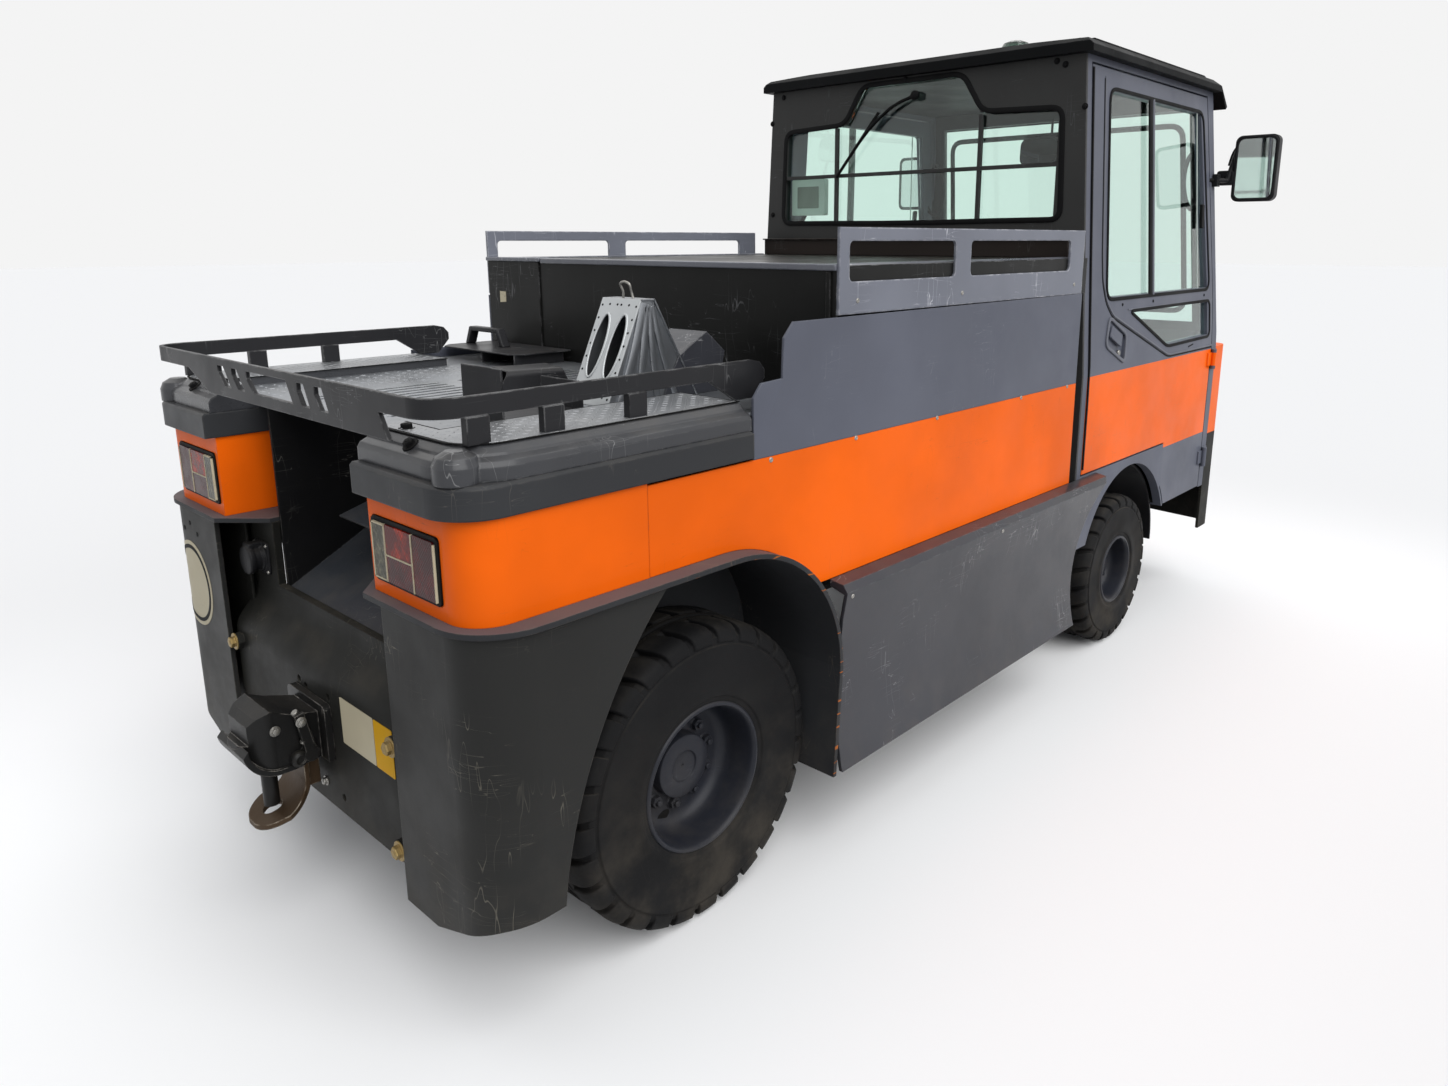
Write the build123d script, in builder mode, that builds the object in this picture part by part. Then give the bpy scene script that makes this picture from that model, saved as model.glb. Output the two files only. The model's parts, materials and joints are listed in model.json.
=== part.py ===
"""Airport tow tractor. X runs forward, Y to the left, Z up, origin on the floor under the middle."""
import os
from math import asin, atan, cos, degrees, pi, sin, sqrt

from build123d import *

os.makedirs("parts", exist_ok=True)

# Places along the vehicle: the tail goes with the rear axle, the cab and nose with the front one
rear_axle_x = -1128
wheelbase = 1990
front_axle_x = rear_axle_x + wheelbase
rear_face_x = rear_axle_x - 522
seam_x = rear_axle_x - 168
deck_front_x = rear_axle_x + 98
hood_rear_x = rear_axle_x + 364
cab_rear_x = front_axle_x - 432
cab_length = 1185
nose_length = 190
body_front_x = cab_rear_x - 42
door_rear_x = cab_rear_x + 43
scuttle_x = cab_rear_x + cab_length
door_front_x = scuttle_x - 54
scuttle_z = 1040
nose_x = scuttle_x + nose_length

# Distances from the middle plane
side_y = 650
lip_y = 692
module_y = 340
recess_y = 250
frame_y = 240
hood_y = 643.4

# Heights
shell_bottom = 215
flange_top = 801
flange_thickness = 10
sill_top = 664
orange_top = 970
bumper_bottom = 976
bumper_top = 1029
deck_top = 1064
hood_top = 1335
step_top = 1234
rail_top = 1158
belt_z = 985
eave_z = 1905
roof_top = 1958

# Sheet and clearances
sheet = 6
seam = 0.6
bearing_gap = 0.3
door_gap = 6

# Wheels: each axle is as high as its tyre's radius
rear_tyre_radius = 320
rear_tyre_width = 186
rear_rim_radius = 152
rear_wheel_y = 521
front_tyre_radius = 262
front_tyre_width = 150
front_rim_radius = 114
front_wheel_y = 556
spindle_radius = 28
kingpin_y = 424
kingpin_radius = 15

# Cab shell
cab_lean = atan(56 / 920)
cab_wall = 30
cab_bottom = 430
screen_top_x = scuttle_x - 135
door_thickness = 32
glass_thickness = 5

sides = (-1, 1)


def leaning_plane(y, z, depth=0):
    """Outward plane of the right cab side, leaning inwards above height z, moved in by depth."""
    outwards = (0, -cos(cab_lean), sin(cab_lean))
    return Plane(origin=(0, -y, z), x_dir=(1, 0, 0), z_dir=outwards).offset(-depth)


def right_plane(y):
    """Upright plane facing right at distance y, with local axes along X and Z."""
    return Plane(origin=(0, -y, 0), x_dir=(1, 0, 0), z_dir=(0, -1, 0))


def corner_plan(rear_x, front_x, inner_y, outer_y, radius):
    """Plan of the right rear corner between two widths, rounded at its outside."""
    with BuildSketch() as plan:
        with BuildLine():
            Line((front_x, -inner_y), (rear_x, -inner_y))
            Line((rear_x, -inner_y), (rear_x, -outer_y + radius))
            CenterArc((rear_x + radius, -outer_y + radius), radius, 180, 90)
            Line((rear_x + radius, -outer_y), (front_x, -outer_y))
            Line((front_x, -outer_y), (front_x, -inner_y))
        make_face()
    return plan.sketch


def keep(part, name):
    part.label = name
    export_step(part, f"parts/{name}.step")


# Chassis: two long rails with cross members, and a lower pair under the footwell
rail_bottom = 400
rail_depth = 120
rail_width = 60
rail_rear_x = rear_face_x + 50
rail_front_x = front_axle_x + 318
riser_x = front_axle_x + 366
low_rail_rear_x = front_axle_x + 198
low_rail_front_x = scuttle_x + 75
low_rail_depth = 90
cross_width = 70
cross_pitch = 330
cross_places = [rail_rear_x + 60 + cross_pitch * i for i in range(7)]
cross_places += [front_axle_x - 72, rail_front_x - 40]
low_cross_places = (scuttle_x - 215, low_rail_front_x - 35)
foot_rear_x = riser_x + 2
rail_y = frame_y - rail_width / 2
with BuildPart() as chassis_frame:
    with BuildSketch(Plane.XY.offset(rail_bottom)):
        for side in sides:
            with Locations(((rail_rear_x + rail_front_x) / 2, side * rail_y)):
                Rectangle(rail_front_x - rail_rear_x, rail_width)
        for cross_x in cross_places:
            with Locations((cross_x, 0)):
                Rectangle(cross_width, 2 * rail_y)
    extrude(amount=rail_depth)
    with BuildSketch(Plane.XY.offset(rail_bottom)):
        for side in sides:
            with Locations(((low_rail_rear_x + low_rail_front_x) / 2, side * rail_y)):
                Rectangle(low_rail_front_x - low_rail_rear_x, rail_width)
        for cross_x in low_cross_places:
            with Locations((cross_x, 0)):
                Rectangle(cross_width, 2 * rail_y)
    extrude(amount=-low_rail_depth)
    with BuildSketch(Plane.XY.offset(rail_bottom)):
        for side in sides:
            with Locations(((low_rail_front_x + foot_rear_x) / 2, side * rail_y)):
                Rectangle(low_rail_front_x - foot_rear_x, rail_width)
    extrude(amount=cab_bottom - rail_bottom)
chassis_frame.part.label = "chassis_frame"
export_step(chassis_frame.part, "parts/chassis_frame.step")

# Rear chassis plate: rolled back at its top, with bolts, drillings and the ears that carry the sockets
plate_x = rear_face_x + 7
plate_thickness = 20
plate_y = 378
plate_bottom = 262
plate_top = 548
joggle = 54
ear_x = plate_x + joggle
ear_bottom = plate_top + 60
ear_top = flange_top - flange_thickness
ear_thickness = 16
bend_radius = 60
bolt_y = 352
bolt_heights = (508, 302)
bolt_radius = 19
bolt_head = 14
drill_radius = 8
drillings = ((55, 508), (-76, 508), (55, 452), (25, 500), (-105, 300))
with BuildPart() as rear_plate:
    with BuildSketch(Plane.XZ):
        with BuildLine():
            outside = FilletPolyline((plate_x, plate_bottom), (plate_x, plate_top), (ear_x, ear_bottom),
                                     (ear_x, ear_bottom + 40), radius=bend_radius)
            Polyline(outside @ 1, (ear_x + ear_thickness, ear_bottom + 40),
                     (ear_x + ear_thickness, ear_bottom - 8), (plate_x + plate_thickness, plate_top - 8),
                     (plate_x + plate_thickness, plate_bottom), outside @ 0)
        make_face()
    extrude(amount=plate_y, both=True)
    with BuildSketch(Plane.YZ.offset(ear_x)):
        for side in sides:
            with Locations((side * (recess_y + plate_y) / 2, (ear_bottom + ear_top) / 2 + 15)):
                Rectangle(plate_y - recess_y, ear_top - ear_bottom - 30)
    extrude(amount=ear_thickness)
    with BuildSketch(Plane.YZ.offset(plate_x)):
        for z in bolt_heights:
            for side in sides:
                with Locations((side * bolt_y, z)):
                    RegularPolygon(bolt_radius, 6)
    extrude(amount=-bolt_head)
    with BuildSketch(Plane.YZ.offset(plate_x)):
        with Locations(*drillings):
            RegularPolygon(drill_radius, 12)
    extrude(amount=plate_thickness, mode=Mode.SUBTRACT)
    with BuildSketch(Plane.YZ.offset(plate_x + plate_thickness)):
        for side in sides:
            with Locations((side * rail_y, rail_bottom + rail_depth / 2)):
                Rectangle(rail_width, rail_depth)
    extrude(amount=rail_rear_x - plate_x - plate_thickness)
rear_plate.part.label = "rear_plate"
export_step(rear_plate.part, "parts/rear_plate.step")

# Recess between the corner modules: a ramp that climbs forward, side walls and a folded box
wall_top = deck_top - sheet
ramp_rear_x = ear_x + ear_thickness + seam
ramp_rear_z = ear_bottom + 30
ramp_front_x = seam_x + 106
ramp_front_z = 840
box_length = 170
box_width = 120
box_top = 800
with BuildPart() as recess_liner:
    with BuildSketch(Plane.XZ):
        with BuildLine():
            Polyline(
                (ramp_rear_x, ramp_rear_z), (ramp_front_x, ramp_front_z), (ramp_front_x, wall_top),
                (ramp_front_x + sheet, wall_top), (ramp_front_x + sheet, ramp_front_z - sheet),
                (ramp_rear_x, ramp_rear_z - sheet), close=True)
        make_face()
    extrude(amount=recess_y, both=True)
    with BuildSketch(Plane.XZ.offset(recess_y - sheet)):
        with BuildLine():
            Polyline(
                (ramp_rear_x, ramp_rear_z - sheet), (ramp_rear_x, wall_top),
                (ramp_front_x + sheet, wall_top), (ramp_front_x + sheet, ramp_front_z - sheet),
                close=True)
        make_face()
    extrude(amount=sheet)
    mirror(about=Plane.XZ)
    with BuildSketch(Plane.XZ.offset(recess_y - box_width)):
        with BuildLine():
            Polyline(
                (ramp_rear_x + 40, ramp_rear_z + 20), (ramp_rear_x + 40, box_top - 60),
                (ramp_rear_x + 90, box_top), (ramp_rear_x + 40 + box_length, box_top),
                (ramp_rear_x + 40 + box_length, ramp_rear_z + 60), close=True)
        make_face()
    extrude(amount=box_width - sheet)
recess_liner.part.label = "recess_liner"
export_step(recess_liner.part, "parts/recess_liner.step")

# Corner shells: plate skins nearly flush with the flange, sloped at the foot, curved behind the wheel
shell_wall = 10
shell_radius = 100
shell_rear_x = rear_face_x - 12
shell_y = 680
shell_front_x = seam_x + 56
shell_top = flange_top - flange_thickness
arch_foot = (seam_x - 239, shell_bottom)
arch_middle = (seam_x - 176, 500)
arch_head = (seam_x + 18, shell_top)
foot_slope = ((485, 215), (650, 273), (700, 285))
with BuildPart() as corner_shells:
    with BuildSketch(Plane.XY.offset(shell_bottom)):
        add(corner_plan(shell_rear_x, shell_front_x, plate_y + seam, shell_y, shell_radius))
        add(corner_plan(
            shell_rear_x + shell_wall, shell_front_x, 0, shell_y - shell_wall,
            shell_radius - shell_wall), mode=Mode.SUBTRACT)
    extrude(amount=shell_top - shell_bottom)
    with BuildSketch(Plane.XZ):
        with BuildLine():
            ThreePointArc(arch_foot, arch_middle, arch_head)
            Polyline(arch_head, (shell_front_x + 90, shell_top + 5), (shell_front_x + 90, 0),
                     (arch_foot[0], 0), arch_foot)
        make_face()
    extrude(amount=lip_y, both=True, mode=Mode.SUBTRACT)
    with BuildSketch(Plane.YZ.offset(shell_rear_x - 1)):
        with BuildLine():
            Polyline(*((-y, z) for y, z in foot_slope), (-foot_slope[-1][0], shell_bottom - 1),
                     (-foot_slope[0][0], shell_bottom - 1), close=True)
        make_face()
    extrude(amount=shell_front_x - shell_rear_x, mode=Mode.SUBTRACT)
    mirror(about=Plane.XZ)
corner_shells.part.label = "corner_shells"
export_step(corner_shells.part, "parts/corner_shells.step")

# Wheel arches: the flange plate runs round the corner and over the rear wheel as its lip
arch_radius = 331
arch_centre = (rear_axle_x + 16, flange_top - arch_radius)
lip_foot = (arch_centre[0] + 312, 212)
house_y = 400
flange_rear_x = rear_face_x - 23
flange_radius = 118
house_bottom = 386
house_rear_x = seam_x - 184
with BuildPart() as wheel_arches:
    with BuildSketch(Plane.XY.offset(shell_top)):
        add(corner_plan(flange_rear_x, seam_x, module_y, lip_y, flange_radius))
        with BuildLine():
            Polyline(
                (flange_rear_x + 80, -recess_y), (flange_rear_x, -module_y),
                (seam_x, -module_y), (seam_x, -recess_y), close=True)
        make_face()
    extrude(amount=flange_thickness)
    with BuildSketch(Plane.XZ.offset(house_y)):
        with BuildLine():
            Line((seam_x, flange_top), (arch_centre[0], flange_top))
            CenterArc(arch_centre, arch_radius, 90, -90)
            Polyline(
                (arch_centre[0] + arch_radius, arch_centre[1]), lip_foot,
                (lip_foot[0] - flange_thickness, lip_foot[1]),
                (arch_centre[0] + arch_radius - flange_thickness, arch_centre[1]))
            CenterArc(arch_centre, arch_radius - flange_thickness, 0, 90)
            Polyline((arch_centre[0], shell_top), (seam_x, shell_top), (seam_x, flange_top))
        make_face()
    extrude(amount=lip_y - house_y)
    with BuildSketch(Plane.XZ.offset(house_y - sheet)):
        with BuildLine():
            Polyline(
                (arch_centre[0] + arch_radius - 4, house_bottom), (house_rear_x, house_bottom),
                (house_rear_x, shell_top), (arch_centre[0], shell_top + 5))
            CenterArc(arch_centre, arch_radius - 4, 90, -90)
            Line((arch_centre[0] + arch_radius - 4, arch_centre[1]),
                 (arch_centre[0] + arch_radius - 4, house_bottom))
            Line((arch_centre[0], shell_top + 5), (arch_centre[0], flange_top - 4))
        make_face()
    extrude(amount=sheet)
    mirror(about=Plane.XZ)
wheel_arches.part.label = "wheel_arches"
export_step(wheel_arches.part, "parts/wheel_arches.step")

# Orange rear corners, each with a pocket for its lamp
panel_radius = 70
lamp_inner_y = 353
lamp_outer_y = 567
lamp_bottom = 825
lamp_top = 939
lamp_depth = 40
lamp_centre = (-(lamp_inner_y + lamp_outer_y) / 2, (lamp_bottom + lamp_top) / 2)
with BuildPart() as rear_corner_panels:
    with BuildSketch(Plane.XY.offset(flange_top)):
        add(corner_plan(rear_face_x, seam_x - seam, module_y, side_y, panel_radius))
        add(corner_plan(
            rear_face_x + sheet, seam_x, module_y + sheet, side_y - sheet, panel_radius - sheet),
            mode=Mode.SUBTRACT)
    extrude(amount=bumper_bottom - flange_top)
    with BuildSketch(Plane.YZ.offset(rear_face_x - 5)):
        with Locations(lamp_centre):
            RectangleRounded(
                lamp_outer_y - lamp_inner_y + 2 * bearing_gap,
                lamp_top - lamp_bottom + 2 * bearing_gap, 8)
    extrude(amount=20, mode=Mode.SUBTRACT)
    mirror(about=Plane.XZ)
rear_corner_panels.part.label = "rear_corner_panels"
export_step(rear_corner_panels.part, "parts/rear_corner_panels.step")

# Tail lamps: a housing with a shallow stepped lens
lens_proud = 8
with BuildPart() as tail_lamps:
    with BuildSketch(Plane.YZ.offset(rear_face_x - lens_proud)):
        with Locations(lamp_centre):
            RectangleRounded(lamp_outer_y - lamp_inner_y, lamp_top - lamp_bottom, 8)
    extrude(amount=lamp_depth)
    mirror(about=Plane.XZ)
tail_lamps.part.label = "tail_lamps"
export_step(tail_lamps.part, "parts/tail_lamps.step")

# Dark protruding bands round the deck's rear corners
band_rear_x = rear_face_x - 22
band_y = 657
band_inner_y = 335
band_radius = 85
band_depth = 40
with BuildPart() as deck_bumpers:
    with BuildSketch(Plane.XY.offset(bumper_bottom)):
        add(corner_plan(band_rear_x, deck_front_x, band_inner_y, band_y, band_radius))
        add(corner_plan(
            band_rear_x + band_depth, deck_front_x, band_inner_y + band_depth, band_y - band_depth,
            band_radius - band_depth), mode=Mode.SUBTRACT)
    extrude(amount=bumper_top - bumper_bottom)
    outer_edges = deck_bumpers.edges().filter_by(
        lambda edge: abs(edge.center().Z - bumper_top) < 1 and edge.center().Y < -band_y + 45)
    chamfer(outer_edges, 5)
    mirror(about=Plane.XZ)
deck_bumpers.part.label = "deck_bumpers"
export_step(deck_bumpers.part, "parts/deck_bumpers.step")

# Cover mouldings on the bands: upright wall, rounded shoulder, a valley and the plate on top,
# each layer with its height and its distance inside the wall; a smooth dome guards each corner
cover_rear_x = rear_face_x - 6
cover_y = 650
cover_inner_y = 335
cover_top = 1082
cover_radius = 110
cover_layers = ((bumper_top, 0), (1052, 0), (1060, 5), (1066, 18), (1070, 21), (cover_top, 38))
dome_x = cover_rear_x + 27
dome_y = 598
dome_rings = ((bumper_top, 37), (1056, 37), (1070, 31), (1079, 16))
tray_y = 452
with BuildPart() as deck_covers:
    for (low_z, low_inset), (high_z, high_inset) in zip(cover_layers, cover_layers[1:]):
        for height, inset in ((low_z, low_inset), (high_z, high_inset)):
            with BuildSketch(Plane.XY.offset(height)):
                add(corner_plan(cover_rear_x + inset, deck_front_x, cover_inner_y, cover_y - inset,
                                cover_radius - inset))
        loft(ruled=True)
    with BuildSketch(Plane.XY.offset(deck_top - sheet)):
        add(corner_plan(cover_rear_x + 86, deck_front_x + 1, 0, tray_y, 20))
    extrude(amount=60, mode=Mode.SUBTRACT)
    for (low_z, low_radius), (high_z, high_radius) in zip(dome_rings, dome_rings[1:]):
        for height, radius in ((low_z, low_radius), (high_z, high_radius)):
            with BuildSketch(Plane.XY.offset(height)):
                with Locations((dome_x, -dome_y)):
                    Circle(radius)
        loft(ruled=True)
    mirror(about=Plane.XZ)
deck_covers.part.label = "deck_covers"
export_step(deck_covers.part, "parts/deck_covers.step")

# Deck plate with the slotted grille in its middle
deck_rear_x = cover_rear_x + 86
deck_y = tray_y - seam
slot_length = 300
slot_width = 16
slot_pitch_x = 350
slot_pitch_y = 34
slot_rows = 11
grille_centre_x = deck_front_x - 160
with BuildPart() as deck:
    with BuildSketch(Plane.XY.offset(deck_top)):
        with BuildLine():
            Polyline(
                (deck_rear_x + seam, -deck_y + 24), (deck_rear_x + 24, -deck_y),
                (hood_rear_x - seam, -deck_y), (hood_rear_x - seam, deck_y),
                (deck_rear_x + 24, deck_y), (deck_rear_x + seam, deck_y - 24), close=True)
        make_face()
        with Locations(((deck_front_x + hood_rear_x) / 2, 0)):
            Rectangle(hood_rear_x - deck_front_x - 2 * seam, 2 * hood_y)
        with Locations((grille_centre_x, 0)):
            with GridLocations(slot_pitch_x, slot_pitch_y, 2, slot_rows):
                Rectangle(slot_length, slot_width, mode=Mode.SUBTRACT)
    extrude(amount=-sheet)
deck.part.label = "deck"
export_step(deck.part, "parts/deck.step")

# Flat-bar rail round the deck: feet, front end plates and the drop plate at the rear, whose
# windows are listed by their four corners in y: outer top, inner top, outer foot, inner foot
bar_height = 32
bar_thickness = 8
bar_y = 600
bar_rear_x = rear_face_x - 22
bar_front_x = deck_front_x + 92
bar_radius = 60
bar_bottom = rail_top - bar_height
foot_length = 40
foot_places = (deck_front_x - 560, deck_front_x - 420, deck_front_x - 242)
drop_left_y = 389
drop_foot_y = 272
drop_right_y = 447
drop_windows = ((210, 181, 182, 149), (138, 114, 112, 82), (68, -112, 37, -135),
                (-157, -185, -174, -204), (-227, -256, -245, -276))
window_foot = 1104
window_head = 1144
with BuildPart() as deck_rail:
    with BuildSketch(Plane.XY.offset(bar_bottom)):
        add(corner_plan(bar_rear_x, bar_front_x - 40, 0, bar_y, bar_radius))
        add(corner_plan(
            bar_rear_x + bar_thickness, bar_front_x - 40, 0, bar_y - bar_thickness,
            bar_radius - bar_thickness), mode=Mode.SUBTRACT)
    extrude(amount=bar_height)
    with BuildSketch(Plane.XZ.offset(bar_y - bar_thickness)):
        with BuildLine():
            Polyline(
                (bar_front_x - 154, bar_bottom), (bar_front_x - 85, cover_top),
                (bar_front_x - 34, cover_top), (bar_front_x, rail_top - 40), (bar_front_x, rail_top - 22),
                (bar_front_x - 14, rail_top - 6), (bar_front_x - 40, rail_top),
                (bar_front_x - 154, rail_top), close=True)
        make_face()
    extrude(amount=bar_thickness)
    with BuildSketch(Plane.XY.offset(cover_top)):
        for foot_x in foot_places:
            with Locations((foot_x, -bar_y + bar_thickness / 2)):
                Rectangle(foot_length, 2 * bar_thickness)
    extrude(amount=bar_bottom - cover_top)
    mirror(about=Plane.XZ)
    with BuildSketch(Plane.YZ.offset(bar_rear_x)):
        with BuildLine():
            Polyline(
                (drop_left_y, bar_bottom + 5), (drop_foot_y, cover_top + seam),
                (-drop_right_y - 30, cover_top + seam), (-drop_right_y, bar_bottom + 5), close=True)
        make_face()
    extrude(amount=bar_thickness)
    with BuildSketch(Plane.YZ.offset(bar_rear_x)):
        for outer_head, inner_head, outer_foot, inner_foot in drop_windows:
            with BuildLine():
                Polyline(
                    (outer_head, window_head), (inner_head, window_head), (inner_foot, window_foot),
                    (outer_foot, window_foot), (outer_head, window_head - 14), close=True)
            make_face()
    extrude(amount=bar_thickness, mode=Mode.SUBTRACT)
deck_rail.part.label = "deck_rail"
export_step(deck_rail.part, "parts/deck_rail.step")

# Tow coupling: flange plate, closed casing with a flared lip, the pin below it and the hand lever
flange_plate = 14
casing_front_x = plate_x - flange_plate
casing_rear_x = plate_x - 156
casing_y = 60
casing_bottom = 378
casing_top = 500
lip_top = 448
lip_rise = 10
coupling_z = (casing_bottom + casing_top) / 2 - 20
pin_x = plate_x - 99
pin_radius = 15
pin_bottom = 290
lever_x = plate_x - 42
with BuildPart() as tow_coupling:
    with BuildSketch(Plane.YZ.offset(plate_x)):
        with Locations((0, coupling_z)):
            RectangleRounded(170, 150, 14)
    extrude(amount=-flange_plate)
    with BuildSketch(Plane.XZ):
        with BuildLine():
            Line((casing_front_x, casing_bottom), (pin_x, casing_bottom))
            ThreePointArc((pin_x, casing_bottom), (casing_rear_x + 18, casing_bottom + 20),
                          (casing_rear_x - 5, lip_top - 10))
            Polyline((casing_rear_x - 5, lip_top - 10), (casing_rear_x, lip_top),
                     (casing_rear_x + 12, lip_top), (casing_rear_x + 12, casing_top - 14),
                     (casing_rear_x + 26, casing_top), (pin_x - 6, casing_top + 10),
                     (pin_x + 30, casing_top - 8), (casing_front_x, casing_top - 24),
                     (casing_front_x, casing_bottom))
        make_face()
    extrude(amount=casing_y + 8, both=True)
    with BuildSketch(Plane.XY.offset(casing_bottom - 1)):
        with BuildLine():
            Polyline((casing_front_x, -casing_y + 6), (pin_x + 40, -casing_y), (pin_x, -casing_y))
            ThreePointArc((pin_x, -casing_y), (casing_rear_x + 12, -casing_y + 16),
                          (casing_rear_x - 5, 0))
            ThreePointArc((casing_rear_x - 5, 0), (casing_rear_x + 12, casing_y - 16),
                          (pin_x, casing_y))
            Polyline((pin_x, casing_y), (pin_x + 40, casing_y), (casing_front_x, casing_y - 6),
                     (casing_front_x, -casing_y + 6))
        make_face()
        with Locations((plate_x, 0)):
            Rectangle(flange_plate, 4 * casing_y, align=(Align.MAX, Align.CENTER))
    extrude(amount=casing_top - casing_bottom + 40, mode=Mode.INTERSECT)
    with BuildSketch(Plane.XZ):
        with BuildLine():
            Line((pin_x + 34, casing_bottom), (pin_x, casing_bottom))
            ThreePointArc((pin_x, casing_bottom), (casing_rear_x + 16, casing_bottom + 18),
                          (casing_rear_x - 6, lip_top - 12))
            Line((casing_rear_x - 6, lip_top - 12), (casing_rear_x + 4, lip_top))
            ThreePointArc((casing_rear_x + 4, lip_top), (casing_rear_x + 24, casing_bottom + 26),
                          (pin_x, casing_bottom + lip_rise))
            Polyline((pin_x, casing_bottom + lip_rise), (pin_x + 34, casing_bottom + lip_rise),
                     (pin_x + 34, casing_bottom))
        make_face()
    extrude(amount=casing_y + 6, both=True)
    with BuildSketch(Plane.XY.offset(pin_bottom)):
        with Locations((pin_x, 0)):
            Circle(pin_radius)
    extrude(amount=casing_bottom - pin_bottom)
    with BuildSketch(Plane.XZ.offset(casing_y - 4)):
        with Locations((lever_x, casing_bottom + 26)):
            RegularPolygon(15, 12)
    extrude(amount=24)
    with BuildSketch(Plane.XZ.offset(casing_y + 12)):
        with BuildLine():
            Polyline((lever_x - 8, casing_bottom + 16), (lever_x + 10, casing_bottom + 20),
                     (lever_x - 8, casing_top - 4), (lever_x - 26, casing_top - 8), close=True)
        make_face()
    extrude(amount=8)
tow_coupling.part.label = "tow_coupling"
export_step(tow_coupling.part, "parts/tow_coupling.step")

# Guide under the coupling: a spoon-shaped plate with the pin's hole, on a block below the casing
spoon_y = 64
spoon_thickness = 10
spoon_tip_x = plate_x - 140
spoon_tip_z = 268
spoon_neck_x = plate_x - 50
block_bottom = 296
with BuildPart() as coupling_tongue:
    with BuildSketch(Plane.XZ):
        with BuildLine():
            neck = (spoon_neck_x, casing_bottom - seam)
            tip = (spoon_tip_x, spoon_tip_z)
            Line(neck, (spoon_neck_x, 334))
            ThreePointArc((spoon_neck_x, 334), (spoon_neck_x - 16, 300), (spoon_neck_x - 50, 283))
            Polyline((spoon_neck_x - 50, 283), tip, (spoon_tip_x, spoon_tip_z - spoon_thickness),
                     (spoon_neck_x - 48, 283 - spoon_thickness))
            ThreePointArc((spoon_neck_x - 48, 283 - spoon_thickness), (spoon_neck_x - 8, 293),
                          (spoon_neck_x + spoon_thickness, 334))
            Polyline((spoon_neck_x + spoon_thickness, 334),
                     (spoon_neck_x + spoon_thickness, casing_bottom - seam), neck)
        make_face()
    extrude(amount=spoon_y, both=True)
    with BuildSketch(Plane.XY.offset(spoon_tip_z - 2 * spoon_thickness)):
        with BuildLine():
            Polyline((spoon_neck_x + 20, -50), (spoon_neck_x, -50), (spoon_neck_x - 40, -spoon_y))
            ThreePointArc((spoon_neck_x - 40, -spoon_y), (spoon_tip_x + 12, -42), (spoon_tip_x, 0))
            ThreePointArc((spoon_tip_x, 0), (spoon_tip_x + 12, 42), (spoon_neck_x - 40, spoon_y))
            Polyline((spoon_neck_x - 40, spoon_y), (spoon_neck_x, 50), (spoon_neck_x + 20, 50),
                     (spoon_neck_x + 20, -50))
        make_face()
    extrude(amount=200, mode=Mode.INTERSECT)
    with BuildSketch(Plane.XY.offset(spoon_tip_z - 2 * spoon_thickness)):
        with Locations((pin_x, 0)):
            Circle(pin_radius + 3)
    extrude(amount=60, mode=Mode.SUBTRACT)
    with BuildSketch(Plane.XZ):
        with BuildLine():
            Polyline((spoon_neck_x, casing_bottom - seam), (casing_front_x - seam, casing_bottom - seam),
                     (casing_front_x - seam, block_bottom + 20), (spoon_neck_x, block_bottom + 20),
                     close=True)
        make_face()
    extrude(amount=36, both=True)
coupling_tongue.part.label = "coupling_tongue"
export_step(coupling_tongue.part, "parts/coupling_tongue.step")

# Trailer socket on the left ear
socket_y = 318
socket_z = 700
socket_radius = 38
socket_length = 42
with BuildPart() as trailer_socket:
    with BuildSketch(Plane.YZ.offset(ear_x)):
        with Locations((socket_y, socket_z)):
            Circle(socket_radius)
    extrude(amount=-socket_length)
trailer_socket.part.label = "trailer_socket"
export_step(trailer_socket.part, "parts/trailer_socket.step")

# Traction battery: one closed block on the frame
battery_front_x = cab_rear_x - 102
battery_width = 852
battery_height = 780
battery_rear_x = hood_rear_x + 64
with BuildPart() as battery:
    with Locations((battery_rear_x, 0, rail_bottom + rail_depth)):
        Box(battery_front_x - battery_rear_x, battery_width, battery_height,
            align=(Align.MIN, Align.CENTER, Align.MIN))
battery.part.label = "battery"
export_step(battery.part, "parts/battery.step")

# Battery hood: top sheet, side flanges and the rear wall down to the deck
hood_front_x = cab_rear_x - 8
with BuildPart() as battery_hood:
    with BuildSketch(Plane.XZ):
        with BuildLine():
            Polyline(
                (hood_rear_x, deck_top - sheet), (hood_rear_x, hood_top), (hood_front_x, hood_top),
                (hood_front_x, step_top), (hood_rear_x + sheet, step_top),
                (hood_rear_x + sheet, deck_top - sheet), close=True)
        make_face()
    extrude(amount=hood_y, both=True)
    with BuildSketch(Plane.XZ):
        with BuildLine():
            Polyline(
                (hood_rear_x + sheet, step_top - 5), (hood_rear_x + sheet, hood_top - sheet),
                (hood_front_x + 5, hood_top - sheet), (hood_front_x + 5, step_top - 5), close=True)
        make_face()
    extrude(amount=hood_y - sheet, both=True, mode=Mode.SUBTRACT)
battery_hood.part.label = "battery_hood"
export_step(battery_hood.part, "parts/battery_hood.step")

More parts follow.
